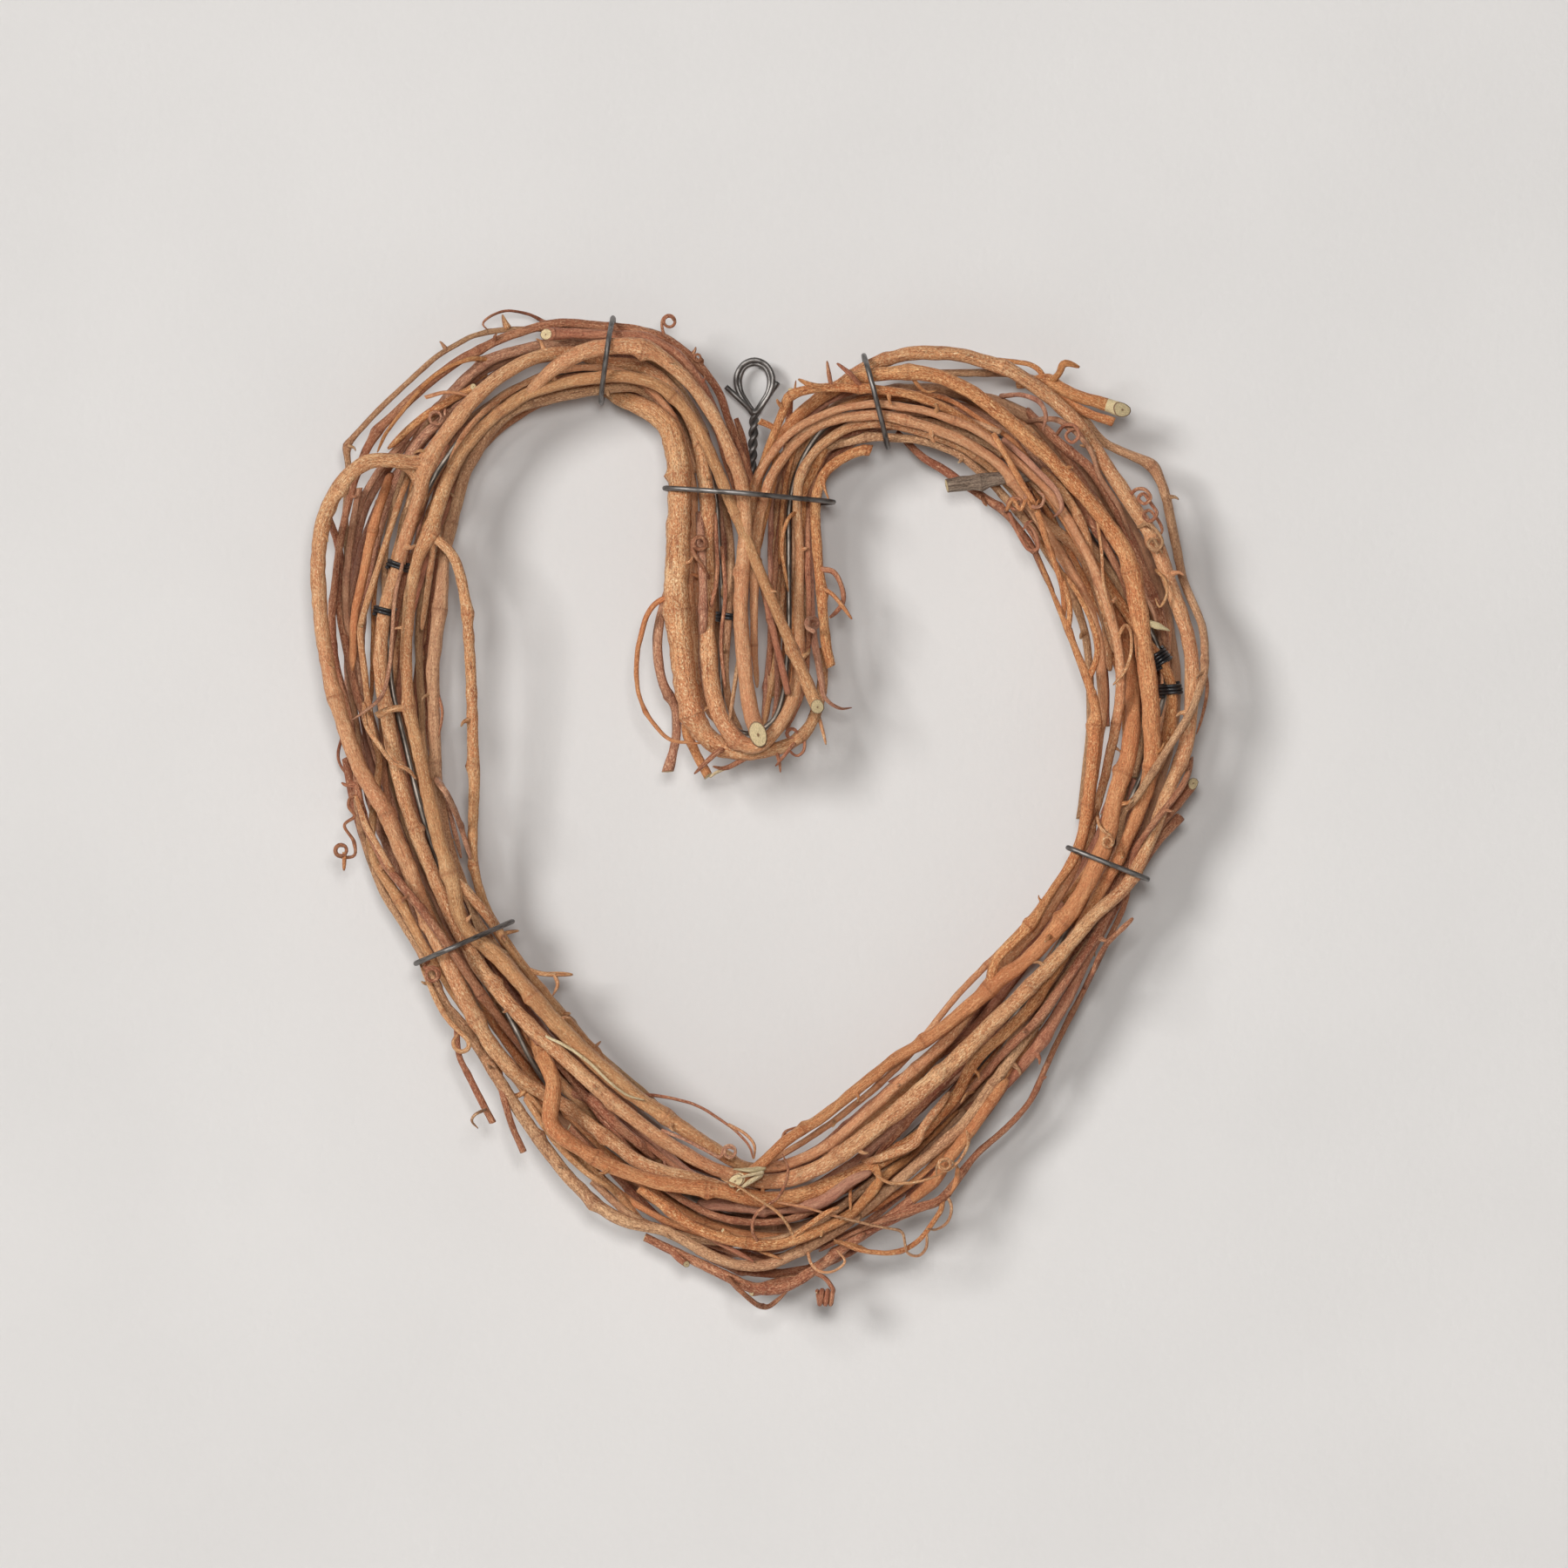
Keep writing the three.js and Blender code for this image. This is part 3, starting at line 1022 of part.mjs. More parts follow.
const shankTop = new THREE.Vector3(placeX(SHANK_TOP[0]), 0, placeZ(SHANK_TOP[1]));
const shankFoot = new THREE.Vector3(placeX(SHANK_FOOT[0]), SHANK_FOOT_Y, placeZ(SHANK_FOOT[1]));
const eyeWires = [
  ...EYE_TURNS.map((drawn) => ({ points: eyeWirePoints(drawn, true), closed: true })),
  ...EYE_ENDS.map((drawn) => ({ points: eyeWirePoints(drawn, false), closed: false })),
];
for (const { points, closed } of [...eyeWires, { points: [shankTop, shankFoot], closed: false }]) {
  const radius = points.length > 2 ? TIE_WIRE / 2 : SHANK_RADIUS;
  strands.push({
    piece: 'hanging_eye', name: 'eye', points, home: points.map((point) => point.clone()), closed,
    radii: points.map(() => radius),
    slack: points.map(() => 0),
    parent: null,
    tolerance: TOLERANCE.none,
    coiled: true, across: PINNED.across, deep: PINNED.deep, root: -1,
  });
}

// Room for the wire of each black binding, round its cane and the frame wire.
const bindingPlaces = BINDINGS.map((binding) => {
  const cane = strands.find((strand) => strand.piece === binding.cane && !strand.parent);
  const place = { binding, cane, onCane: nearestSample(cane.points, binding.at) };
  place.onFrame = nearestSample(frameWire.points, binding.at);
  for (const [strand, at] of [[cane, place.onCane], [frameWire, place.onFrame]]) {
    for (let i = at - 1; i <= at + 1; i += 1) {
      strand.slack[i] = BINDING_WIRE + WIRE_GAP;
    }
  }
  return place;
});

/** Shares along two segments where they come closest, and the vector between those places. */
function closestShares(a, b, c, d) {
  const ux = b.x - a.x;
  const uy = b.y - a.y;
  const uz = b.z - a.z;
  const vx = d.x - c.x;
  const vy = d.y - c.y;
  const vz = d.z - c.z;
  const wx = a.x - c.x;
  const wy = a.y - c.y;
  const wz = a.z - c.z;
  const uu = ux * ux + uy * uy + uz * uz;
  const vv = vx * vx + vy * vy + vz * vz;
  const uv = ux * vx + uy * vy + uz * vz;
  const uw = ux * wx + uy * wy + uz * wz;
  const vw = vx * wx + vy * wy + vz * wz;
  const spread = uu * vv - uv * uv;
  let s = spread > 1e-9 ? Math.min(1, Math.max(0, (uv * vw - vv * uw) / spread)) : 0.5;
  let t = (uv * s + vw) / vv;
  if (t < 0 || t > 1) {
    t = Math.min(1, Math.max(0, t));
    s = Math.min(1, Math.max(0, (uv * t - uw) / uu));
  }
  return [s, t, wx + ux * s - vx * t, wy + uy * s - vy * t, wz + uz * s - vz * t];
}

/** Whether two segments are parts of one join, where they may meet. */
function joined(one, i, other, j) {
  if (one === other) {
    if (one.coiled) {
      return true;
    }
    const count = one.points.length;
    const apart = one.closed ? Math.min(Math.abs(i - j), count - Math.abs(i - j)) : Math.abs(i - j);
    const step = one.points[i].distanceTo(one.points[(i + 1) % count]);
    return apart * step < BEND_RADII * one.radii[i] + BEND_REACH || apart < 2;
  }
  const [child, ci, parent, pi] = other.parent === one ? [other, j, one, i] : [one, i, other, j];
  if (child.parent === parent) {
    const reach = FORK_RADII * parent.radii[child.root] + FORK_REACH;
    return (
      child.points[ci].distanceTo(child.points[0]) < reach * FORK_CHILD
      && parent.points[pi].distanceTo(parent.points[child.root]) < reach * FORK_PARENT
    );
  }
  if (one.piece === other.piece && one.parent && one.parent === other.parent) {
    const oneNear = one.points[i].distanceTo(one.points[0]) < TWIN_REACH;
    const otherNear = other.points[j].distanceTo(one.points[0]) < TWIN_REACH;
    return oneNear && otherNear;
  }
  return one.piece === 'hanging_eye' && other.piece === 'hanging_eye';
}

/** Pairs of segments that are near enough to touch soon. */
function nearPairs() {
  const cells = new Map();
  const segments = [];
  for (const strand of strands) {
    const last = strand.closed ? strand.points.length : strand.points.length - 1;
    for (let i = 0; i < last; i += 1) {
      const a = strand.points[i];
      const b = strand.points[(i + 1) % strand.points.length];
      const next = strand.radii[(i + 1) % strand.points.length];
      const reach = Math.max(strand.radii[i], next) + NEIGHBOUR_REACH;
      const segment = {
        strand, i, order: segments.length,
        low: [Math.min(a.x, b.x) - reach, Math.min(a.y, b.y) - reach, Math.min(a.z, b.z) - reach],
        high: [Math.max(a.x, b.x) + reach, Math.max(a.y, b.y) + reach, Math.max(a.z, b.z) + reach],
      };
      segments.push(segment);
      const lastX = Math.floor(segment.high[0] / CELL);
      const lastZ = Math.floor(segment.high[2] / CELL);
      for (let cx = Math.floor(segment.low[0] / CELL); cx <= lastX; cx += 1) {
        for (let cz = Math.floor(segment.low[2] / CELL); cz <= lastZ; cz += 1) {
          const key = cx * CELL_KEYS + cz;
          if (!cells.has(key)) {
            cells.set(key, []);
          }
          cells.get(key).push(segment);
        }
      }
    }
  }
  const pairs = [];
  const seen = new Set();
  for (const members of cells.values()) {
    for (let m = 0; m < members.length; m += 1) {
      for (let n = m + 1; n < members.length; n += 1) {
        const one = members[m];
        const other = members[n];
        if (one.low[0] > other.high[0] || other.low[0] > one.high[0]) {
          continue;
        }
        if (one.low[1] > other.high[1] || other.low[1] > one.high[1]) {
          continue;
        }
        if (one.low[2] > other.high[2] || other.low[2] > one.high[2]) {
          continue;
        }
        const low = Math.min(one.order, other.order);
        const key = low * PAIR_KEYS + Math.max(one.order, other.order);
        if (seen.has(key)) {
          continue;
        }
        seen.add(key);
        if (joined(one.strand, one.i, other.strand, other.i)) {
          continue;
        }
        if (one.strand.across + other.strand.across === 0) {
          continue;
        }
        pairs.push([one.strand, one.i, other.strand, other.i]);
      }
    }
  }
  return pairs;
}

/** Moves two segments apart to their clearance, mostly in depth, and returns what was missing. */
function pushApart(one, i, other, j, gap, looser) {
  const a = one.points[i];
  const b = one.points[(i + 1) % one.points.length];
  const c = other.points[j];
  const d = other.points[(j + 1) % other.points.length];
  const [s, t, dx, dy, dz] = closestShares(a, b, c, d);
  const i2 = (i + 1) % one.points.length;
  const j2 = (j + 1) % other.points.length;
  const radiusOne = one.radii[i] * (1 - s) + one.radii[i2] * s;
  const radiusOther = other.radii[j] * (1 - t) + other.radii[j2] * t;
  const slack = one === frameWire || other === frameWire ? 0 : 1;
  const room = slack * Math.max(one.slack[i], one.slack[i2], other.slack[j], other.slack[j2]);
  const distance = Math.sqrt(dx * dx + dy * dy + dz * dz) || 1e-6;
  const missing = radiusOne + radiusOther + gap + room - distance;
  if (missing <= 0) {
    return 0;
  }
  const nx = dx / distance;
  let ny = dy / distance;
  const nz = dz / distance;
  if (Math.abs(ny) < LEAST_DEPTH_PUSH) {
    ny = one.home[i].y <= other.home[j].y ? -LEAST_DEPTH_PUSH : LEAST_DEPTH_PUSH;
  }
  const firmOne = other.parent === one ? 0 : 1;
  const firmOther = one.parent === other ? 0 : 1;
  const acrossOne = one.across > 0 ? Math.min(1, one.across + looser) * firmOne : 0;
  const acrossOther = other.across > 0 ? Math.min(1, other.across + looser) * firmOther : 0;
  const deepOne = one.deep * firmOne;
  const deepOther = other.deep * firmOther;
  const flat = nx * nx + nz * nz;
  const give = flat * (acrossOne + acrossOther) + ny * ny * (deepOne + deepOther);
  if (give < 1e-6) {
    return missing;
  }
  const push = Math.min(LONGEST_PUSH, missing) / give;
  const shareOne = (1 - s) * (1 - s) + s * s;
  const shareOther = (1 - t) * (1 - t) + t * t;
  const move = (point, share, across, deep, sign) => {
    point.x += sign * share * push * nx * across;
    point.y += sign * share * push * ny * deep;
    point.z += sign * share * push * nz * across;
  };
  move(a, (1 - s) / shareOne, acrossOne, deepOne, PUSH_SHARE);
  move(b, s / shareOne, acrossOne, deepOne, PUSH_SHARE);
  move(c, (1 - t) / shareOther, acrossOther, deepOther, -PUSH_SHARE);
  move(d, t / shareOther, acrossOther, deepOther, -PUSH_SHARE);
  return missing;
}

/** Evens out how far neighbouring points of a strand have moved, so that it bends like a cane. */
function straighten(strand, stiffness, homing) {
  const count = strand.points.length;
  const moved = strand.points.map((point, i) => point.clone().sub(strand.home[i]));
  const even = moved.map((move, i) => {
    const before = strand.closed ? moved[(i + count - 1) % count] : moved[Math.max(0, i - 1)];
    const after = strand.closed ? moved[(i + 1) % count] : moved[Math.min(count - 1, i + 1)];
    return before.clone().add(after).multiplyScalar(0.5);
  });
  strand.points.forEach((point, i) => {
    const move = moved[i].lerp(even[i], stiffness);
    move.x *= 1 - homing;
    move.z *= 1 - homing;
    move.y *= 1 - homing * DEPTH_HOMING;
    point.copy(strand.home[i]).add(move);
  });
}

/** Keeps each shoot on its cane, and every strand in front of the wall. */
function reattach() {
  for (const strand of strands) {
    strand.points.forEach((point, i) => {
      point.y = Math.min(point.y, BACK_Y - strand.radii[i]);
    });
    if (!strand.parent) {
      continue;
    }
    strand.points[0].copy(strand.parent.points[strand.root]);
  }
}

/** Draws the frame wire and the cane of each binding side by side. */
function seatBindings() {
  for (const { cane, onCane, onFrame } of bindingPlaces) {
    const onWire = frameWire.points[onFrame];
    const seat = cane.points[onCane];
    const target = cane.radii[onCane] + frameWire.radii[onFrame] + CANE_GAP + SEAT_GAP;
    const apart = onWire.clone().sub(seat);
    const excess = apart.length() - target;
    apart.normalize();
    onWire.addScaledVector(apart, -excess * SEAT_WIRE_SHARE);
    seat.y += apart.y * excess * SEAT_CANE_SHARE;
  }
}

/** Eases all the strands past each other, for a number of rounds. */
function ease(rounds, gap, stiffnessOf, homingOf, looserOf) {
  let pairs = [];
  for (let round = 0; round < rounds; round += 1) {
    if (round % NEIGHBOUR_ROUNDS === 0) {
      pairs = nearPairs();
    }
    let worst = 0;
    for (const [one, i, other, j] of pairs) {
      worst = Math.max(worst, pushApart(one, i, other, j, gap, looserOf(round / rounds)));
    }
    for (const strand of strands) {
      if (strand.deep === 0) {
        continue;
      }
      straighten(strand, stiffnessOf(round / rounds), homingOf(round / rounds));
    }
    reattach();
    seatBindings();
    if (round > rounds / 2 && worst < EASED_ENOUGH) {
      return;
    }
  }
}

/** Keeps only the points that a strand needs within its tolerance. */
function thinned(strand) {
  const { points, radii, tolerance } = strand;
  if (tolerance === TOLERANCE.none) {
    return;
  }
  const keep = new Set([0, points.length - 1]);
  if (strand.closed) {
    keep.add(Math.floor(points.length / 2));
  }
  for (const child of strands) {
    if (child.parent === strand) {
      keep.add(child.root);
    }
  }
  for (const place of bindingPlaces) {
    if (place.cane === strand) {
      keep.add(place.onCane - 1).add(place.onCane).add(place.onCane + 1);
    }
    if (frameWire === strand) {
      keep.add(place.onFrame - 1).add(place.onFrame).add(place.onFrame + 1);
    }
  }
  const split = (low, high) => {
    let worst = 0;
    let at = -1;
    const from = points[low];
    const line = points[high].clone().sub(from);
    for (let i = low + 1; i < high; i += 1) {
      const share = Math.min(1, Math.max(0, points[i].clone().sub(from).dot(line) / line.lengthSq()));
      const off = points[i].distanceTo(from.clone().addScaledVector(line, share));
      const swell = Math.abs(radii[i] - radii[low] * (1 - share) - radii[high] * share) * SWELL_WEIGHT;
      if (Math.max(off, swell) > worst) {
        worst = Math.max(off, swell);
        at = i;
      }
    }
    if (worst > tolerance) {
      keep.add(at);
      split(low, at);
      split(at, high);
    }
  };
  const fixed = [...keep].sort((p, q) => p - q);
  for (let k = 1; k < fixed.length; k += 1) {
    split(fixed[k - 1], fixed[k]);
  }
  const order = [...keep].sort((p, q) => p - q);
  const newIndex = new Map(order.map((old, index) => [old, index]));
  for (const child of strands) {
    if (child.parent === strand) {
      child.root = newIndex.get(child.root);
    }
  }
  for (const place of bindingPlaces) {
    if (place.cane === strand) {
      place.onCane = newIndex.get(place.onCane);
    }
    if (frameWire === strand) {
      place.onFrame = newIndex.get(place.onFrame);
    }
  }
  strand.points = order.map((i) => points[i]);
  strand.radii = order.map((i) => radii[i]);
  strand.slack = order.map((i) => strand.slack[i]);
  strand.home = strand.points.map((point) => point.clone());
}

ease(
  EASE.rounds,
  EASE.gap,
  () => EASE.stiffness,
  (share) => EASE.homing * (1 - share),
  (share) => EASE.looser * share,
);
strands.forEach(thinned);
ease(SETTLE.rounds, SETTLE.gap, () => SETTLE.stiffness, () => 0, () => SETTLE.looser);

/** Triangles that join rings of points into a tube, with flat ends unless it closes on itself. */
function tubeTriangles(count, sides, closed) {
  const triangles = [];
  const rings = closed ? count : count - 1;
  for (let i = 0; i < rings; i += 1) {
    const next = (i + 1) % count;
    for (let side = 0; side < sides; side += 1) {
      const a = i * sides + side;
      const b = i * sides + ((side + 1) % sides);
      const c = next * sides + ((side + 1) % sides);
      const d = next * sides + side;
      triangles.push(a, b, c, a, c, d);
    }
  }
  if (!closed) {
    const last = (count - 1) * sides;
    for (let side = 1; side < sides - 1; side += 1) {
      triangles.push(0, side + 1, side);
      triangles.push(last, last + side, last + side + 1);
    }
  }
  return triangles;
}

/** A closed tube of flat faces along a strand, with flat ends, or a ring if the strand is closed. */
function sweep(points, radii, sides, { closed = false, reference = new THREE.Vector3(0, 1, 0) } = {}) {
  const count = points.length;
  const vertices = [];
  let across = null;
  for (let i = 0; i < count; i += 1) {
    const before = closed ? points[(i + count - 1) % count] : points[Math.max(0, i - 1)];
    const after = closed ? points[(i + 1) % count] : points[Math.min(count - 1, i + 1)];
    const toHere = points[i].clone().sub(before).normalize();
    const fromHere = after.clone().sub(points[i]).normalize();
    const tangent = toHere.add(fromHere).normalize();
    if (across === null || closed) {
      across = reference.clone();
    }
    across.addScaledVector(tangent, -across.dot(tangent)).normalize();
    const up = tangent.clone().cross(across);
    for (let side = 0; side < sides; side += 1) {
      const angle = (side / sides) * 2 * Math.PI;
      const spot = points[i].clone();
      spot.addScaledVector(across, Math.cos(angle) * radii[i]);
      spot.addScaledVector(up, Math.sin(angle) * radii[i]);
      vertices.push(spot.x, spot.y, spot.z);
    }
  }
  const triangles = tubeTriangles(count, sides, closed);
  return { vertices, triangles };
}

/** A solid for joining, from the vertices and triangles of a closed body. */
function solidOf({ vertices, triangles }) {
  return new wasm.Manifold(new wasm.Mesh({
    numProp: 3,
    vertProperties: new Float32Array(vertices),
    triVerts: new Uint32Array(triangles),
  }));
}

/** Joins several closed bodies into one solid. */
function joinedSolid(bodies) {
  return bodies.map(solidOf).reduce((whole, body) => whole.add(body)).simplify(SLIVER);
}

/** Geometry from a joined solid. */
function geometryOf(solid) {
  const mesh = solid.getMesh();
  const geometry = new THREE.BufferGeometry();
  geometry.setAttribute('position', new THREE.BufferAttribute(new Float32Array(mesh.vertProperties), 3));
  geometry.setIndex(new THREE.BufferAttribute(new Uint32Array(mesh.triVerts), 1));
  geometry.computeVertexNormals();
  return geometry;
}

/** How many faces go round a strand of a given radius. */
function sidesFor(radius) {
  if (radius < THIN.radius) {
    return THIN.sides;
  }
  if (radius < SLIM.radius) {
    return SLIM.sides;
  }
  return THICK_SIDES;
}

const wreath = new THREE.Group();
wreath.name = 'grapevine_wreath';

/** Adds one named piece of the wreath. */
function addPiece(name, solid, surface) {
  const mesh = new THREE.Mesh(geometryOf(solid), new THREE.MeshStandardMaterial(surface));
  mesh.name = name;
  wreath.add(mesh);
}

/** Every body that makes up one cane with its shoots. */
function caneBodies(piece) {
  return strands.filter((strand) => strand.piece === piece).map((strand) => {
    const meanRadius = strand.radii.reduce((sum, radius) => sum + radius, 0) / strand.radii.length;
    return sweep(strand.points, strand.radii, sidesFor(meanRadius), { closed: strand.closed });
  });
}

for (const cane of CANES) {
  addPiece(cane.name, joinedSolid(caneBodies(cane.name)), BARK[cane.bark]);
}
HIDDEN_CANES.forEach((cane, i) => {
  const name = `cane_hidden_${i + 1}`;
  addPiece(name, joinedSolid(caneBodies(name)), BARK[cane.bark]);
});
addPiece('frame_wire', joinedSolid(caneBodies('frame_wire')), STEEL);

/** The smallest convex loop round a set of flat points, in order. */
function convexLoop(spots) {
  const sorted = [...spots].sort((p, q) => p[0] - q[0] || p[1] - q[1]);
  const turn = (o, p, q) => (p[0] - o[0]) * (q[1] - o[1]) - (p[1] - o[1]) * (q[0] - o[0]);
  const half = (list) => {
    const chain = [];
    for (const spot of list) {
      while (chain.length > 1 && turn(chain[chain.length - 2], chain[chain.length - 1], spot) <= 0) {
        chain.pop();
      }
      chain.push(spot);
    }
    chain.pop();
    return chain;
  };
  return [...half(sorted), ...half(sorted.reverse())];
}

/** Circles where strands pass through a thin slab: places across and in depth, with radii. */
function slabCircles(members, middle, along, across, slabHalf, reach) {
  const circles = [];
  for (const strand of members) {
    const last = strand.closed ? strand.points.length : strand.points.length - 1;
    for (let i = 0; i < last; i += 1) {
      const a = strand.points[i];
      const b = strand.points[(i + 1) % strand.points.length];
      const steps = Math.ceil(a.distanceTo(b) / SLAB_STEP);
      const slant = Math.sqrt(Math.max(0, 1 - (b.clone().sub(a).dot(along) / a.distanceTo(b)) ** 2));
      for (let k = 0; k <= steps; k += 1) {
        const spot = a.clone().lerp(b, k / steps).sub(middle);
        if (Math.abs(spot.dot(along)) > slabHalf + strand.radii[i] * slant) {
          continue;
        }
        const off = spot.dot(across);
        if (Math.abs(off) > reach) {
          continue;
        }
        const next = strand.radii[(i + 1) % strand.points.length];
        const radius = strand.radii[i] + (next - strand.radii[i]) * (k / steps);
        circles.push([off, spot.y + middle.y, radius]);
      }
    }
  }
  return circles;
}

/** Where the lines through two pairs of flat points cross. */
function crossing(p, q, r, s) {
  const spread = (p[0] - q[0]) * (r[1] - s[1]) - (p[1] - q[1]) * (r[0] - s[0]);
  if (Math.abs(spread) < 1e-9) {
    return null;
  }
  const first = p[0] * q[1] - p[1] * q[0];
  const second = r[0] * s[1] - r[1] * s[0];
  return [
    (first * (r[0] - s[0]) - (p[0] - q[0]) * second) / spread,
    (first * (r[1] - s[1]) - (p[1] - q[1]) * second) / spread,
  ];
}

/** A loop with its shortest edges dropped, by running their neighbours on until they meet outside. */
function fewerCorners(loop) {
  const corners = [...loop];
  for (;;) {
    let best = null;
    for (let i = 0; i < corners.length && corners.length > FEWEST_CORNERS; i += 1) {
      const at = (k) => corners[(i + k + corners.length) % corners.length];
      const edge = Math.hypot(at(1)[0] - at(0)[0], at(1)[1] - at(0)[1]);
      const meet = crossing(at(-1), at(0), at(1), at(2));
      if (!meet) {
        continue;
      }
      const growth = Math.max(
        Math.hypot(meet[0] - at(0)[0], meet[1] - at(0)[1]),
        Math.hypot(meet[0] - at(1)[0], meet[1] - at(1)[1]),
      );
      if (growth < LOOP_GROWTH && growth + edge < (best?.cost ?? Infinity)) {
        best = { i, meet, cost: growth + edge };
      }
    }
    if (!best) {
      return corners;
    }
    corners[best.i] = best.meet;
    corners.splice((best.i + 1) % corners.length, 1);
  }
}

/** A wire pulled tight round a set of circles, as points on a closed loop. */
function tightLoop(circles, clearance, middle, across) {
  const spots = [];
  for (const [off, depth, radius] of circles) {
    for (let k = 0; k < LOOP_CORNERS; k += 1) {
      const angle = ((k + 0.5) / LOOP_CORNERS) * 2 * Math.PI;
      const reach = (radius + clearance) / Math.cos(Math.PI / LOOP_CORNERS);
      spots.push([off + reach * Math.cos(angle), depth + reach * Math.sin(angle)]);
    }
  }
  return fewerCorners(convexLoop(spots)).map(([off, depth]) => (
    new THREE.Vector3(middle.x + across.x * off, depth, middle.z + across.z * off)
  ));
}

/** Two short wire ends twisted round each other behind the canes, from a place on a loop. */
function twistedEnds(start, direction) {
  const wireRadius = TIE_WIRE / 2 - TAIL_WIRE_LESS;
  const tailY = BACK_Y + WIRE_GAP + TAIL_SPREAD + wireRadius;
  return [-1, 1].map((side) => {
    const points = [start.clone()];
    for (let i = 1; i <= TAIL_STEPS; i += 1) {
      const share = i / TAIL_STEPS;
      const angle = share * TAIL_TURNS * 2 * Math.PI;
      const spot = start.clone().addScaledVector(direction, share * TAIL_LENGTH).setY(tailY);
      spot.y += side * TAIL_SPREAD * Math.cos(angle);
      spot.x += side * TAIL_SPREAD * Math.sin(angle) * -direction.z;
      spot.z += side * TAIL_SPREAD * Math.sin(angle) * direction.x;
      points.push(spot);
    }
    return sweep(points, points.map(() => wireRadius), TAIL_SIDES);
  });
}

for (const tie of TIES) {
  const from = new THREE.Vector3(placeX(tie.from[0]), 0, placeZ(tie.from[1]));
  const to = new THREE.Vector3(placeX(tie.to[0]), 0, placeZ(tie.to[1]));
  const middle = from.clone().lerp(to, 0.5);
  const across = to.clone().sub(from).normalize();
  const along = new THREE.Vector3(-across.z, 0, across.x);
  const reach = from.distanceTo(to) / 2 + TIE_REACH;
  const circles = slabCircles(strands, middle, along, across, TIE_WIRE / 2 + TIE_SLAB, reach);
  const clearance = TIE_WIRE / 2 + WIRE_GAP;
  const loop = tightLoop(circles, clearance, middle, across);
  const radii = loop.map(() => TIE_WIRE / 2);
  const ring = sweep(loop, radii, WIRE_SIDES, { closed: true, reference: along });
  const back = loop.reduce((best, point) => (point.y > best.y ? point : best));
  const ends = twistedEnds(back, along);
  addPiece(tie.name, joinedSolid([ring, ...ends]), STEEL);
}

for (const { binding, cane, onCane } of bindingPlaces) {
  const middle = cane.points[onCane].clone();
  const before = cane.points[onCane - 1];
  const after = cane.points[onCane + 1];
  const along = after.clone().sub(before).setY(0).normalize();
  const across = new THREE.Vector3(-along.z, 0, along.x);
  const slab = BINDING_WIRE / 2 + BINDING_SLAB;
  const circles = slabCircles([cane, frameWire], middle, along, across, slab, BINDING_REACH);
  const loop = tightLoop(circles, BINDING_WIRE / 2 + WIRE_GAP - BINDING_CLOSER, middle, across);
  const radii = loop.map(() => BINDING_WIRE / 2);
  const ring = sweep(loop, radii, WIRE_SIDES, { closed: true, reference: along });
  addPiece(binding.name, solidOf(ring), BLACK);
}

/** The shank of the eye: two wires twisted into one, as a waisted profile that turns on its way down. */
function twistedShank() {
  const length = shankTop.distanceTo(shankFoot);
  const steps = Math.round((length / TWIST_PITCH) * SHANK_STEPS_A_TURN);
  const down = shankFoot.clone().sub(shankTop).normalize();
  const right = new THREE.Vector3(1, 0, 0).addScaledVector(down, -down.x).normalize();
  const deep = down.clone().cross(right);
  const sides = SHANK_PROFILE.length;
  const vertices = [];
  for (let i = 0; i <= steps; i += 1) {
    const middle = shankTop.clone().lerp(shankFoot, i / steps);
    SHANK_PROFILE.forEach((share, side) => {
      const angle = (side / sides + i / SHANK_STEPS_A_TURN) * 2 * Math.PI;
      const spot = middle.clone();
      spot.addScaledVector(right, Math.cos(angle) * share * SHANK_RADIUS);
      spot.addScaledVector(deep, Math.sin(angle) * share * SHANK_RADIUS);
      vertices.push(spot.x, spot.y, spot.z);
    });
  }
  const triangles = tubeTriangles(steps + 1, sides, false);
  return { vertices, triangles };
}

const eyeBodies = eyeWires.map(({ points, closed }) => (
  sweep(points, points.map(() => TIE_WIRE / 2), WIRE_SIDES, { closed })
));
addPiece('hanging_eye', joinedSolid([...eyeBodies, twistedShank()]), STEEL);

export default wreath;
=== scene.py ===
"""Grapevine wreath in the shape of a heart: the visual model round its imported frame.

Every cane of the frame is modelled again as a barked vine along the middle of its packed tube. The
wires, the hanging eye and the bindings follow, then the fine shoots and the stage.
"""

from __future__ import annotations

import json
import logging
import math
import zlib
from dataclasses import dataclass, field
from enum import Enum
from typing import TypeAlias

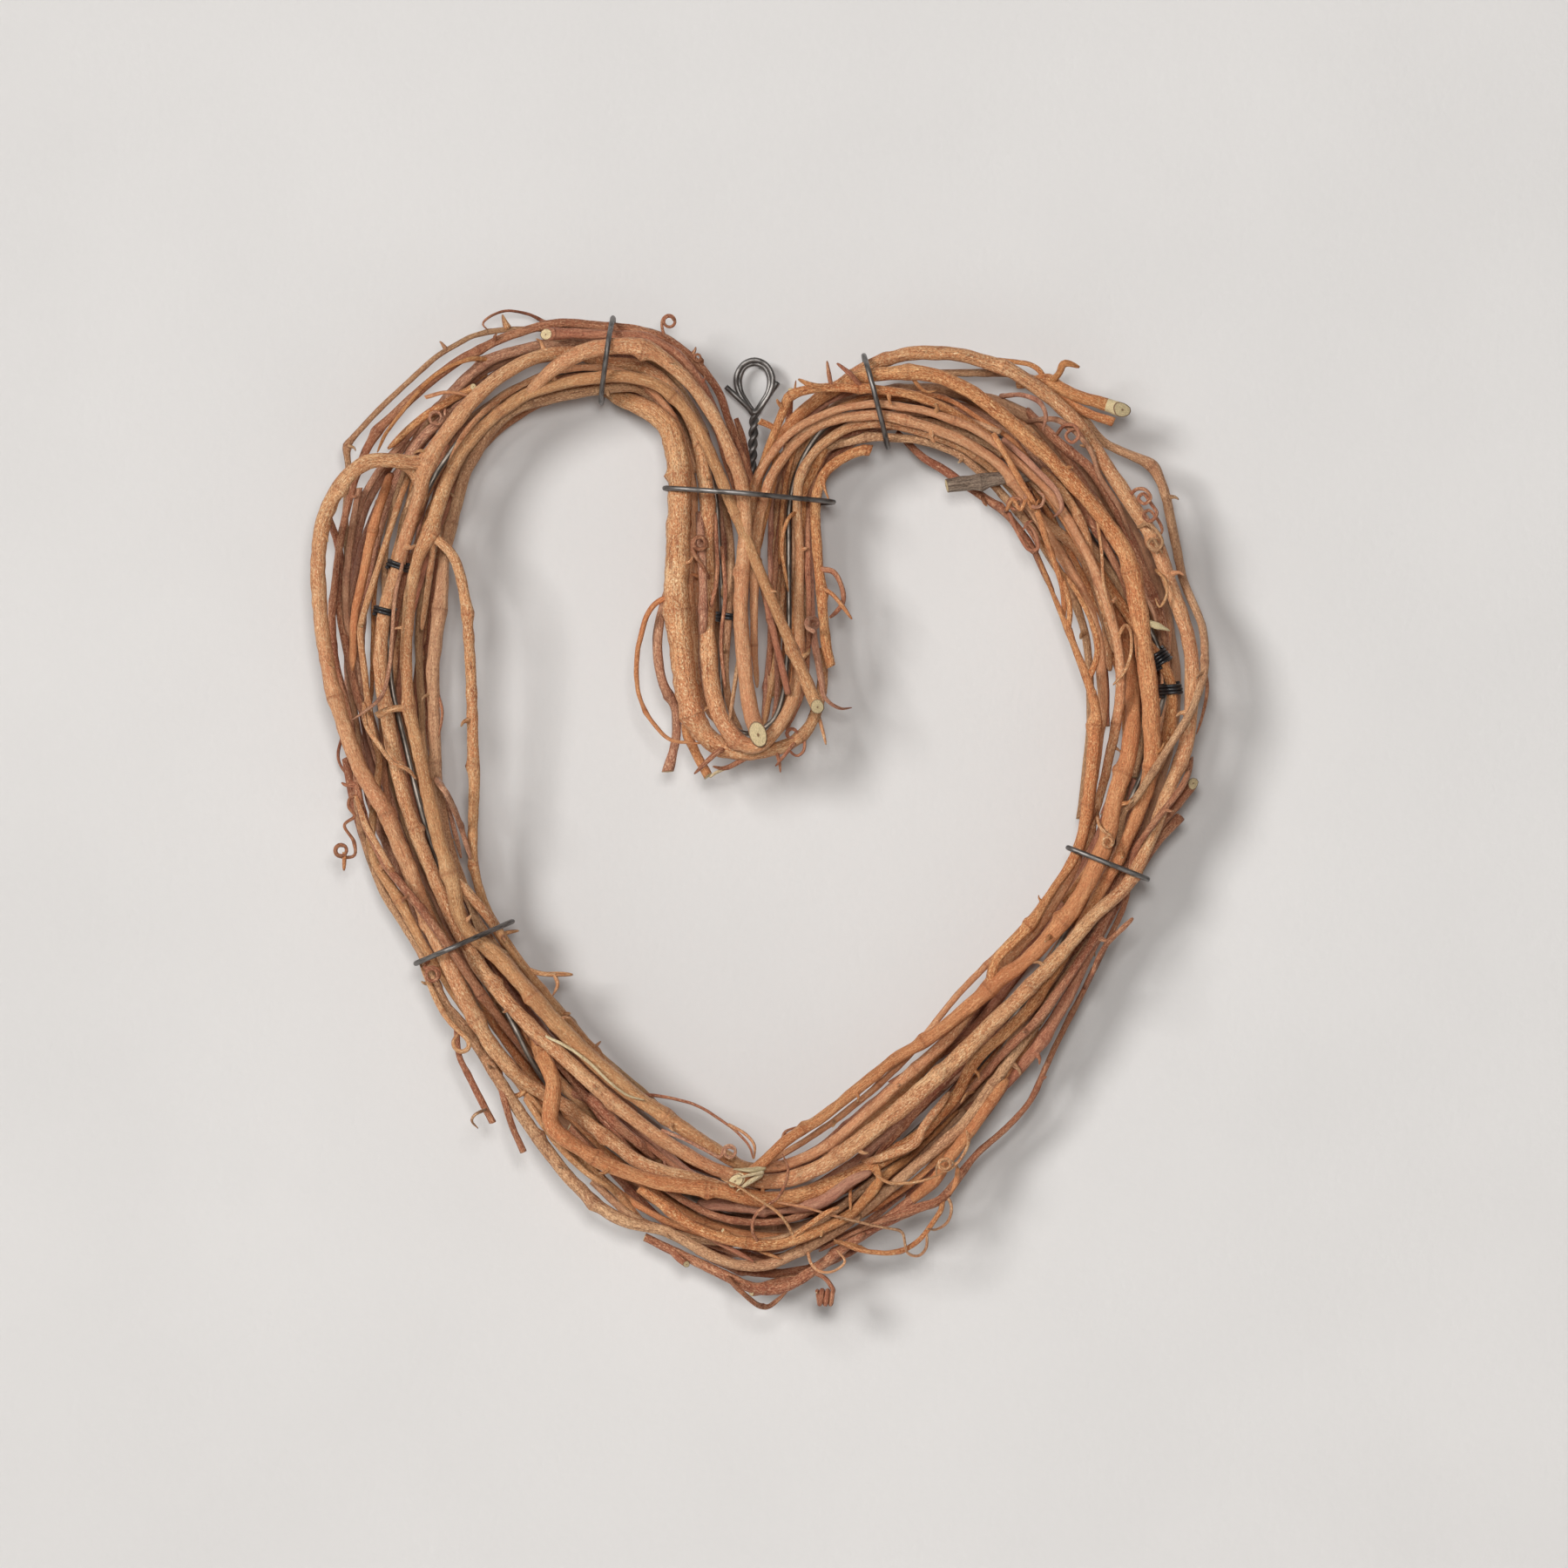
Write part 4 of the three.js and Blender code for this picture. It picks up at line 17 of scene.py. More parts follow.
import bmesh
import bpy
import numpy as np
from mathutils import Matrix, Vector

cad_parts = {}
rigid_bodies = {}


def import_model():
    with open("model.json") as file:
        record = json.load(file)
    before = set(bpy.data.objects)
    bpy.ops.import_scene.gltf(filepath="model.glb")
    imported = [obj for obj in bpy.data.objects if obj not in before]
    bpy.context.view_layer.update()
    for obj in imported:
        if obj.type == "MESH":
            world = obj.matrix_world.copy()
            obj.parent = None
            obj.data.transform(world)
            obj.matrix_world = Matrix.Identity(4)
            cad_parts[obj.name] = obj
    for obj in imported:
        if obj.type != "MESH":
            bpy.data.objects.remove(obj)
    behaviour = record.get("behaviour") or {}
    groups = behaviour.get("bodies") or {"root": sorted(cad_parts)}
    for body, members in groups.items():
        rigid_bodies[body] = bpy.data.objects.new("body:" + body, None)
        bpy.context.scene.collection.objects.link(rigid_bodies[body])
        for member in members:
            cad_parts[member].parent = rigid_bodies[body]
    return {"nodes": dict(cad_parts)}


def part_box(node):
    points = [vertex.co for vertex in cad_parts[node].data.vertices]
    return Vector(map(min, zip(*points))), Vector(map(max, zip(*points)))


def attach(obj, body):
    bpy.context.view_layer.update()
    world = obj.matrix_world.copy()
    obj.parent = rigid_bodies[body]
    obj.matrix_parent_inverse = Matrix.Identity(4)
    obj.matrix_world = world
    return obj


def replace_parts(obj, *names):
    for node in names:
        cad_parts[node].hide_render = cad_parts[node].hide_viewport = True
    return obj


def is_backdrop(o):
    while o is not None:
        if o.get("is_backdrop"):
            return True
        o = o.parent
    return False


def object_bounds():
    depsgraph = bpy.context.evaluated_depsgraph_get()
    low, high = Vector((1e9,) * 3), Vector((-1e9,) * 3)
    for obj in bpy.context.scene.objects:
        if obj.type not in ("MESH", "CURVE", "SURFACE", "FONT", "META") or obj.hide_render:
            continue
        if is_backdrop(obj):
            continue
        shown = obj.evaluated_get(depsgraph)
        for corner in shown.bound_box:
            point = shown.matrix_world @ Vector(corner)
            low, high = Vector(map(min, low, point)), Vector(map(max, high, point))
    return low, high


LOG = logging.getLogger("wreath")

# Sizes are in millimetres, and drawn places in drawing units of a quarter of a millimetre.
MM = 0.001
UNIT = 0.25
EYE_X = 866.0
EYE_Y = 433.0
WALL_Y = 4.0
BACK_Y = 1.2
TIE_WIRE = 1.5
BINDING_WIRE = 1.1
WIRE_GAP = 0.4

# Curves have this many samples from one drawn place to the next, and lines these distances between
# their samples in millimetres: for stout canes, for fine ones and for the canes that fill the bundle.
SPAN_SAMPLES = 12
STOUT_STEP = 1.1
FINE_STEP = 0.6
FILLING_STEP = 1.2


class Bark(Enum):
    """The kinds of bark, by their material slots."""

    TAN = "bark_tan"
    GREY = "bark_grey"
    RED = "bark_red"
    MAUVE = "bark_mauve"
    GOLDEN = "bark_golden"
    WEATHERED = "bark_weathered"
    BARE = "bare_wood"


class End(Enum):
    """How a cane or shoot ends."""

    CUT = "cut"
    WITHERED = "withered"


@dataclass(frozen=True)
class Coil:
    """A tendril's coil: its middle, radius and turns, and the pitch of one wound as a spring.

    A flat coil has shrinking turns that rise from the wall. A spring's turns are equal and are
    stacked towards the left.
    """

    x: float
    y: float
    radius: float
    turns: float
    pitch: float = 0.0

    FLAT_SAMPLES = 6
    SPRING_SAMPLES = 8
    SHRINK = 0.35
    RISE = 1.5

    def after(self, stem: np.ndarray) -> np.ndarray:
        """The places of a stem with the coil that starts at its end.

        Args:
            stem: Rows of x, y, distance and width.

        Returns:
            Rows for the stem and the coil.
        """
        rows = self.spring(stem[-1]) if self.pitch else self.flat(stem[-1])
        return np.concatenate([stem, rows])

    def flat(self, root: np.ndarray) -> np.ndarray:
        """The places of a flat coil after its root.

        Args:
            root: The last place of its stem.

        Returns:
            Rows of x, y, distance and width.
        """
        start = math.atan2(root[1] - self.y, root[0] - self.x)
        steps = round(self.turns * self.FLAT_SAMPLES)
        rows = []
        for step in range(1, steps + 1):
            share = step / steps
            angle = start + share * self.turns * math.tau
            reach = self.radius * (1 - self.SHRINK * share)
            rise = share * self.turns * root[3] * UNIT * self.RISE
            x = self.x + reach * math.cos(angle)
            y = self.y + reach * math.sin(angle)
            rows.append((x, y, root[2] + rise, root[3]))
        return np.array(rows)

    def spring(self, root: np.ndarray) -> np.ndarray:
        """The places of a spring after its root.

        Args:
            root: The last place of its stem.

        Returns:
            Rows of x, y, distance and width.
        """
        rows = []
        for step in range(1, round(self.turns * self.SPRING_SAMPLES) + 1):
            wound = step / self.SPRING_SAMPLES
            x = root[0] - wound * self.pitch
            y = self.y - self.radius * math.cos(wound * math.tau)
            depth = root[2] + self.radius * UNIT * math.sin(wound * math.tau)
            rows.append((x, y, depth, root[3]))
        return np.array(rows)


@dataclass(frozen=True)
class Growth:
    """A drawn cane or shoot.

    The name of a shoot starts with its parent's name and a point. Each place of the route holds
    x and y, then the distance from the wall plane in millimetres and the width where they change.
    """

    name: str
    bark: Bark
    route: tuple[tuple[float, ...], ...]
    coil: Coil | None = None
    knots: tuple[tuple[float, float], ...] = ()


GROWTHS: tuple[Growth, ...] = (
    Growth("cane_long", Bark.TAN, (
        (1225, 640, 8, 11), (1110, 520, 20), (971, 492, 22), (918, 546, 22), (918, 640, 19, 11.5),
        (917, 770, 22), (907, 812, 26, 15), (873, 855, 29), (854, 855), (831, 831, 28, 20),
        (813, 760, 24, 20), (812, 562, 21), (790, 475), (735, 420, 14, 15), (700, 416, 14), (660, 405, 17),
        (580, 430, 25, 16.5), (493, 534, 29, 20), (483, 570, 27, 15), (436, 760, 21), (555, 1120, 24, 18),
        (720, 1280, 24, 17), (830, 1345, 22, 15), (910, 1350, 24, 18), (1057, 1250, 27, 20),
        (1222, 1082, 26), (1250, 1045, 24, 16), (1285, 1010, 21), (1325, 925, 20, 15), (1358, 850, 23, 17),
        (1364, 745, 22), (1326, 624), (1232, 482), (1162, 427, 22, 17), (1040, 406, 20), (960, 445, 13),
        (925, 490, 10), (893, 600, 10), (888, 800, 12, 15),
    ), knots=((493, 534), (1326, 624), (1008, 487))),
    Growth("cane_long.arm", Bark.TAN, (
        (493, 534, 29, 16), (427, 532, 30), (388, 567, 28, 18), (367, 650, 25), (377, 760, 25, 17),
        (413, 880), (438, 920, 26, 19), (494, 1060, 24, 18), (533, 1140, 27, 19), (602, 1240, 22),
        (650, 1268, 18, 15.5), (745, 1335, 24), (800, 1347, 24, 16), (870, 1366, 14, 10),
    ), knots=((386, 800), (535, 1175))),
    Growth("cane_long.twig_finger", Bark.GOLDEN, (
        (915, 590, 20, 5), (905, 595, 23), (898, 620, 24), (905, 680, 23, 4),
    )),
    Growth("cane_long.red_shoot", Bark.RED, ((813, 716, 24, 6), (824, 660, 27), (822, 590, 26, 4))),
    Growth("cane_forked", Bark.TAN, (
        (938, 812, 30, 16), (897, 720, 29, 13), (800, 490, 23), (757, 443), (720, 433, 25, 15),
        (600, 456, 24, 14), (537, 508, 23, 15), (494, 611, 28, 18), (478, 645, 27, 14), (467, 790, 26, 14),
        (518, 1002, 27, 18), (531, 1060, 24, 16), (575, 1100, 24, 18), (690, 1225, 27, 20),
        (830, 1325, 24, 16), (855, 1340), (900, 1340, 14, 10),
    ), knots=((494, 611), (518, 1002), (467, 812))),
    Growth("cane_forked.arm_right", Bark.TAN, (
        (605, 455, 24, 12), (640, 424, 27, 18), (680, 405, 28, 20), (740, 404, 28, 20), (798, 450, 26, 14),
        (845, 536), (856, 600, 27, 16.5), (851, 700), (862, 815, 29, 18), (871, 845, 30, 20),
    ), knots=((740, 404),)),
    Growth("cane_forked.arm_inner", Bark.TAN, (
        (494, 611, 28, 11), (525, 648, 29, 12.5), (544, 880, 23, 14), (545, 1000, 20, 11),
        (570, 1065, 18, 11), (720, 1245, 17), (765, 1277, 18, 7),
    ), knots=((538, 705), (544, 880), (684, 1207))),
    Growth("cane_forked.arm_inner.spur", Bark.TAN, ((603, 1110, 17, 6), (620, 1117), (658, 1120, 19, 6))),
    Growth("cane_forked.arm_inner.spur.spur_leg", Bark.TAN, (
        (637, 1120, 19, 5), (640, 1130), (634, 1142, 19, 4),
    )),
    Growth("cane_forked.arm_inner.spur_small", Bark.TAN, (
        (574, 1072, 18, 5), (585, 1071), (596, 1070, 19, 5),
    )),
    Growth("cane_forked.arm_inner.long_tendril", Bark.RED, (
        (735, 1256, 17, 4), (800, 1268, 21), (860, 1313, 27), (865, 1328, 32, 3),
    )),
    Growth("cane_forked.stub", Bark.TAN, ((467, 812, 26, 9), (450, 815, 28), (435, 822, 28, 8))),
    Growth("cane_forked.fork", Bark.TAN, (
        (518, 1002, 27, 13), (562, 1052, 22), (580, 1080, 15, 12), (650, 1175, 9, 9),
    )),
    Growth("cane_thick", Bark.TAN, (
        (943, 745, 12, 12), (945, 780, 14), (925, 840, 23), (900, 856, 25, 15), (835, 858, 25, 23),
        (805, 835, 26, 26), (778, 700, 27, 30), (770, 493, 22, 24), (715, 455, 12, 19), (690, 440, 9, 18),
        (640, 440, 8), (580, 465, 8, 16), (530, 520), (465, 680, 9), (455, 780, 9, 16), (500, 985),
        (600, 1190, 9, 14), (680, 1280, 9), (760, 1335, 10, 12),
    ), knots=((778, 700),)),
    Growth("cane_thick.arch", Bark.GOLDEN, (
        (770, 685, 27, 7), (748, 697, 28), (733, 795, 27), (770, 850), (805, 854, 32, 4),
    )),
    Growth("cane_thick.stub_pale", Bark.GOLDEN, ((792, 812, 25, 12), (788, 840, 20), (814, 890, 21, 11))),
    Growth("cane_thick.stub_left", Bark.RED, ((835, 858, 25, 7), (825, 862, 29), (797, 888, 29, 5))),
    Growth("cane_thick.stub_loop", Bark.RED, ((868, 862, 25, 7), (830, 882), (818, 880, 24, 5))),
    Growth("cane_thick.thorn_a", Bark.RED, ((893, 858, 25, 5), (894, 872, 27), (896, 887, 27, 4))),
    Growth("cane_thick.thorn_b", Bark.RED, ((920, 846, 24, 5), (905, 862, 28), (890, 880, 28, 4))),
    Growth("cane_thick.thorn_c", Bark.TAN, ((938, 815, 19, 5), (943, 835, 21), (948, 855, 21, 4))),
    Growth("cane_thick.curl_finger", Bark.RED, (
        (925, 842, 23, 4), (923, 862, 25), (915, 868), (906, 861, 25), (905, 848, 24, 3),
    ), coil=Coil(909, 842, 7, 1.6)),
    Growth("cane_inner", Bark.GREY, (
        (800, 540, 10, 12), (770, 480, 11), (740, 452, 14), (720, 446, 17), (573, 482, 18, 14.5),
        (512, 630, 20, 13), (507, 690, 22, 16), (499, 740), (502, 900), (516, 970, 22, 13), (540, 1030, 17),
        (555, 1070, 17, 9), (590, 1100), (630, 1155, 15, 9), (740, 1275, 14, 6),
    ), knots=((507, 700), (668, 1195))),
    Growth("cane_inner.curved_shoot", Bark.MAUVE, ((505, 895, 22, 8), (518, 910, 24), (540, 980, 14, 6))),
    Growth("cane_crown", Bark.RED, (
        (870, 620, 10, 8), (862, 550), (836, 482, 18), (825, 448), (785, 402, 19, 10), (740, 380, 20),
        (700, 376), (640, 371), (520, 418, 17), (432, 495, 17, 11), (400, 570, 14, 9), (381, 740, 16, 10),
        (402, 830, 15), (415, 930, 21), (440, 985, 26), (490, 1045, 30, 10), (558, 1137, 26, 11),
        (590, 1180, 18), (640, 1240, 12, 7),
    ), knots=((432, 495), (415, 935), (558, 1137))),
    Growth("cane_crown.tendril_crown", Bark.RED, (
        (645, 371, 19, 5), (625, 367, 21, 4), (605, 358), (575, 356, 20), (553, 371), (559, 378, 22, 3),
    )),
    Growth("cane_crown.coil_crown", Bark.RED, (
        (765, 390, 20, 4), (761, 376, 20, 3.5),
    ), coil=Coil(769, 370, 8, 1.6)),
    Growth("cane_crown.coil_small", Bark.RED, (
        (806, 422, 18, 4), (806, 412, 20, 3.5),
    ), coil=Coil(801, 411, 5, 1.2)),
    Growth("cane_crown.tendril_left", Bark.RED, ((400, 822, 15, 5), (387, 870, 17), (403, 897, 17, 3))),
    Growth("cane_crown.tendril_side", Bark.RED, (
        (414, 912, 19, 5), (403, 916, 21, 4), (401, 926), (409, 937, 22), (396, 947), (409, 968),
        (408, 982, 22, 4),
    ), coil=Coil(393, 976, 8, 1.8)),
    Growth("cane_outer", Bark.GREY, (
        (800, 415, 8, 6), (765, 385), (560, 380), (520, 396, 17), (404, 505, 18, 7), (399, 512, 18, 9),
        (402, 535, 15, 7), (395, 600, 11), (398, 650), (396, 750, 11), (410, 860, 12, 8), (408, 920, 13),
        (440, 1025, 16, 10), (490, 1100, 20), (510, 1150, 20, 13), (540, 1185), (640, 1335, 21, 15.5),
        (720, 1403, 21, 14.5), (765, 1412, 20, 13), (850, 1452, 22), (886, 1450), (1105, 1289, 20, 14),
        (1150, 1225), (1292, 1010, 20, 11), (1292, 935, 26, 9), (1305, 918, 27), (1379, 784, 25),
        (1380, 724, 22, 9.5), (1366, 687, 20), (1357, 665, 16), (1324, 537, 17, 12), (1265, 507, 17, 10),
        (1215, 450, 12), (1170, 430, 12, 10), (1060, 428, 12, 8),
    ), knots=((399, 512), (680, 1378), (925, 1432), (1324, 537))),
    Growth("cane_outer.thorn_top", Bark.GREY, ((581, 378, 15, 6), (578, 370), (576, 361, 15, 4))),
    Growth("cane_outer.thin_right", Bark.RED, ((1382, 768, 24, 5), (1384, 795, 22), (1372, 843, 21, 3))),
    Growth("cane_outer.hanging_shoot", Bark.RED, (
        (524, 1168, 20, 8), (527, 1208, 22, 7), (567, 1287, 22, 9),
    )),
    Growth("cane_outer.hanging_shoot.hook_tendril", Bark.GREY, (
        (558, 1272, 22, 4), (548, 1276, 24), (544, 1284), (551, 1293, 24, 3),
    )),
    Growth("cane_outer.hanging_shoot_low", Bark.RED, (
        (572, 1240, 21, 8), (583, 1275, 23), (602, 1321, 23, 8),
    )),
    Growth("cane_outer.bottom_tendril", Bark.TAN, (
        (925, 1430, 22, 4), (930, 1447, 26), (940, 1457, 27), (957, 1457), (970, 1446), (960, 1432, 27, 3),
    )),
    Growth("cane_mauve", Bark.MAUVE, (
        (740, 392, 12, 10), (640, 393, 15, 12.5), (565, 412, 17, 13), (510, 460, 14), (435, 600, 12),
        (411, 740, 15, 12.5), (480, 1000, 9), (560, 1120, 10, 8),
    ), knots=((558, 417), (413, 715))),
    Growth("cane_mauve.golden_strip", Bark.GOLDEN, (
        (565, 412, 17, 6), (540, 413, 21), (500, 432, 22), (445, 497, 22), (434, 520, 21, 4),
    )),
    Growth("cane_mauve.ring_tendril", Bark.MAUVE, (
        (508, 462, 14, 5), (512, 470, 20, 4),
    ), coil=Coil(502, 480, 9, 1.3)),
    Growth("cane_slim_left", Bark.TAN, (
        (480, 525, 14, 7), (447, 620, 23), (415, 720), (427, 830, 20), (437, 870, 17, 8.5), (425, 975, 16),
        (460, 1035, 20, 13), (492, 1095, 23, 11), (520, 1140, 19), (660, 1325, 20, 10), (700, 1360, 20),
        (735, 1400, 16, 8),
    ), knots=((460, 1035),)),
    Growth("cane_slim_left.coil_tie", Bark.RED, (
        (492, 1100, 23, 5), (487, 1112, 26, 4.5),
    ), coil=Coil(496, 1119, 9, 1.5)),
    Growth("cane_back_left", Bark.MAUVE, (
        (470, 505, 10, 10), (412, 600, 9), (402, 700), (411, 760, 10, 11), (430, 900, 8), (460, 990, 8, 9),
    )),
    Growth("cane_sleeve", Bark.RED, (
        (905, 797, 27, 8), (870, 650, 26, 8.5), (862, 615, 22), (828, 505, 21, 11.5), (797, 428, 24),
        (740, 387), (700, 387, 24, 11.5), (628, 386, 24, 13),
    ), knots=((636, 385),)),
    Growth("cane_hook", Bark.GOLDEN, (
        (600, 1180, 10, 14), (637, 1240, 29, 19.5), (633, 1285, 30), (740, 1350, 28, 17), (820, 1362, 27),
        (880, 1375, 22, 19.5), (1015, 1330, 19, 17), (1100, 1255, 18, 14), (1120, 1215), (1190, 1148, 23),
        (1262, 1030, 22, 13), (1319, 905, 22, 17), (1321, 820, 28, 21), (1297, 658, 29, 22),
        (1285, 626, 29, 19), (1100, 443, 28), (970, 440, 24, 16.5), (905, 490, 18), (870, 550, 17),
        (860, 640, 10, 9),
    ), knots=((1297, 658), (1040, 431))),
    Growth("cane_hook.twig_lobe", Bark.GOLDEN, ((1040, 431, 27, 6), (1062, 452, 24), (1075, 450, 24, 3))),
    Growth("cane_back_bottom", Bark.MAUVE, (
        (590, 1170, 8, 10), (745, 1330, 9, 13), (860, 1385, 10, 13), (930, 1380), (1000, 1340, 10, 9),
    )),
    Growth("cane_back_bottom.cross_twig", Bark.MAUVE, ((742, 1328, 9, 6), (725, 1318), (718, 1311, 13, 4))),
    Growth("cane_bottom", Bark.GOLDEN, (
        (735, 1362, 24, 12), (800, 1408), (880, 1428, 27, 13), (980, 1392, 24, 12), (1012, 1355, 21),
        (1050, 1325, 14), (1100, 1275, 12, 8),
    ), knots=((770, 1388), (858, 1425))),
    Growth("cane_bottom.prong", Bark.GOLDEN, ((900, 1424, 27, 6), (948, 1390), (964, 1383, 29, 7))),
    Growth("cane_bottom.front_tendril", Bark.TAN, (
        (915, 1422, 27, 4), (893, 1388, 32), (828, 1350, 34, 3),
    )),
    Growth("cane_bottom.loop_tendril", Bark.RED, (
        (872, 1427, 27, 4), (864, 1413, 30), (865, 1396), (876, 1383), (893, 1372, 33), (905, 1337),
        (898, 1322, 31, 3),
    )),
    Growth("cane_low", Bark.RED, (
        (740, 1420, 16, 10), (860, 1478, 18, 13), (900, 1478, 18, 13), (990, 1415, 18),
        (1050, 1387, 20, 12), (1080, 1377, 20), (1120, 1325, 17, 8), (1175, 1275, 16, 7), (1205, 1213, 16),
        (1290, 1030, 18, 7), (1300, 980, 23, 8), (1355, 900, 24, 8), (1366, 870, 18, 7),
    ), knots=((880, 1478), (1191, 1250))),
    Growth("cane_low.cut_tip", Bark.RED, ((770, 1435, 16, 9), (780, 1445, 18), (788, 1451, 18, 8))),
    Growth("cane_low.orange_loop", Bark.GOLDEN, (
        (1082, 1376, 20, 6), (1078, 1392, 23), (1035, 1434), (985, 1433, 25, 6), (957, 1421, 27, 4),
    )),
    Growth("cane_low.orange_loop.ring_low", Bark.GREY, (
        (1062, 1412, 24, 3.5), (1063, 1430), (1054, 1440), (1042, 1437, 25), (1035, 1412), (1000, 1404, 29),
        (960, 1394, 30, 3),
    )),
    Growth("cane_low.ring_right", Bark.GREY, (
        (1087, 1370, 20, 4), (1092, 1386, 22), (1087, 1402), (1074, 1410, 24), (1063, 1408, 28, 3),
    )),
    Growth("cane_low.ring_high", Bark.GREY, (
        (1095, 1358, 19, 4), (1100, 1345, 23), (1095, 1334, 24), (1084, 1330), (1075, 1336),
        (1074, 1350, 24, 3),
    )),
    Growth("cane_low.lowest_loop", Bark.RED, (
        (835, 1465, 17, 6), (850, 1476, 20), (880, 1496, 20, 6), (906, 1478, 22, 5),
    )),
    Growth("cane_low.thin_fork", Bark.RED, ((1243, 1134, 16, 5), (1262, 1088), (1298, 1050, 17, 7))),
    Growth("cane_low.hanging_coil", Bark.RED, (
        (930, 1461, 18, 5), (949, 1467), (959, 1479, 20, 5.5),
    ), coil=Coil(948, 1487, 8, 3.1, 6.2)),
    Growth("cane_split", Bark.GOLDEN, (
        (845, 1353, 31, 14), (870, 1338, 30, 13), (905, 1305), (945, 1280, 27, 13), (1030, 1212, 26),
        (1057, 1197, 26, 14.5), (1136, 1133, 27, 19), (1175, 1105, 27, 17), (1226, 1048, 28, 20),
        (1269, 961, 26), (1278, 913, 26), (1295, 860, 24, 20), (1300, 780, 14, 16), (1268, 655),
        (1225, 590), (1180, 545, 10, 10),
    ), knots=((1136, 1133), (1060, 1196))),
    Growth("cane_split.twig_arm", Bark.GOLDEN, (
        (1136, 1133, 27, 13), (1143, 1102, 28, 12), (1182, 1060, 28, 13), (1205, 1025, 26, 9),
        (1238, 970, 25, 13), (1255, 834, 27, 16), (1255, 811, 27, 12), (1190, 640, 22, 4),
    ), knots=((1182, 1060), (1255, 834), (1248, 778), (1223, 724))),
    Growth("cane_split.twig_arm.twig_high", Bark.GOLDEN, (
        (1224, 726, 25, 7), (1226, 699, 26), (1220, 670, 25), (1196, 620, 17, 5),
    )),
    Growth("cane_split.twig_arm.twig_right", Bark.GOLDEN, (
        (1250, 780, 27, 8), (1260, 757), (1260, 730, 28), (1235, 675, 24), (1215, 650, 19, 5),
    )),
    Growth("cane_valley", Bark.TAN, (
        (870, 1342, 25, 12), (905, 1338), (955, 1313), (1045, 1230), (1095, 1185, 22, 14), (1160, 1095),
        (1190, 1065, 22, 12.5), (1250, 940, 20), (1258, 725, 21, 12), (1185, 590, 18), (1145, 535, 21),
        (1006, 477, 24), (919, 503), (878, 563, 24), (867, 640, 28, 12), (870, 790, 28, 6),
    ), knots=((1250, 935), (1040, 484))),
    Growth("cane_slim_right", Bark.TAN, (
        (880, 1335, 20, 7), (930, 1305, 22, 8), (1040, 1215, 21), (1100, 1140, 24), (1175, 1065, 18, 8),
        (1243, 975, 21), (1255, 940, 18), (1285, 800, 23, 12), (1275, 710, 23, 12), (1200, 560, 20, 10),
        (1090, 480, 24), (980, 466, 25, 9.5), (902, 501, 25, 10), (869, 546, 23), (862, 590, 18),
        (850, 640, 14), (845, 720, 12, 8),
    ), knots=((1262, 665),)),
    Growth("cane_slim_right.coil_right", Bark.TAN, (
        (1258, 928, 20, 5), (1262, 950, 29, 4),
    ), coil=Coil(1270, 966, 7, 1.5)),
    Growth("cane_slim_right.hook_curl", Bark.TAN, (
        (1281, 735, 23, 5), (1290, 718, 27, 4), (1296, 730, 33), (1290, 770, 31), (1276, 787, 28, 4),
    )),
    Growth("cane_cut_upper", Bark.RED, (
        (1080, 1290, 14, 8), (1205, 1155, 24, 11), (1268, 1060, 21, 11), (1305, 980), (1370, 900, 18, 13),
    )),
    Growth("cane_cut_lower", Bark.RED, (
        (1110, 1275, 12, 9), (1160, 1240, 15, 13), (1200, 1190, 20, 14), (1292, 1025, 15, 12), (1330, 965),
        (1355, 938, 16, 12),
    ), knots=((1200, 1190),)),
    Growth("cane_elbow", Bark.GOLDEN, (
        (868, 575, 14, 8), (872, 545, 19), (902, 473, 28), (907, 457, 29, 11), (1040, 454, 27),
        (1200, 560, 13, 11), (1315, 735, 17), (1338, 770, 20, 13.5), (1343, 840, 21, 13.5),
        (1295, 950, 12, 9),
    ), knots=((907, 457), (985, 448))),
    Growth("cane_elbow.snag_a", Bark.GOLDEN, ((945, 449, 29, 8), (930, 445, 31, 8), (916, 438, 31, 6))),
    Growth("cane_elbow.snag_b", Bark.RED, ((954, 448, 29, 5), (952, 438, 30), (949, 417, 30, 5))),
    Growth("cane_elbow.snag_c", Bark.RED, ((988, 448, 28, 6), (975, 433, 31), (960, 420, 31, 6))),
    Growth("cane_elbow.snag_d", Bark.GOLDEN, ((894, 494, 27, 7), (885, 489), (873, 484, 28, 8))),
    Growth("cane_elbow.snag_e", Bark.GOLDEN, ((912, 456, 29, 4), (913, 440, 30, 3))),
    Growth("cane_lobe", Bark.GREY, (
        (930, 540, 14, 8), (947, 517, 19), (988, 503, 19, 11), (1080, 510, 18, 10), (1150, 560, 15),
        (1245, 720, 15, 10), (1250, 870), (1240, 940, 12, 8),
    ), knots=((1235, 690),)),
    Growth("cane_orange", Bark.GOLDEN, (
        (1000, 517, 20, 11), (988, 517), (945, 544, 20, 12), (945, 740), (951, 766, 23, 12),
    ), knots=((994, 517), (942, 680))),
    Growth("cane_orange.loop_right", Bark.RED, (
        (939, 652, 21, 7), (957, 657, 23), (968, 690), (960, 703, 23), (952, 710, 26, 5),
    )),
    Growth("cane_orange.twig_out", Bark.GOLDEN, ((942, 676, 22, 5), (955, 683, 25), (977, 712, 26, 5))),
    Growth("cane_orange.twig_tiny", Bark.GOLDEN, ((948, 541, 20, 4), (946, 560, 24), (952, 577, 24, 3))),
    Growth("cane_tapered", Bark.MAUVE, (
        (918, 560, 14, 8), (925, 600, 15, 10), (930, 700, 17, 10), (941, 780, 18, 8), (945, 800, 18, 5),
        (965, 814), (978, 813, 18, 3),
    )),
    Growth("cane_tapered.wrapped_coil", Bark.MAUVE, (
        (931, 722, 18, 5), (936, 726, 22, 5),
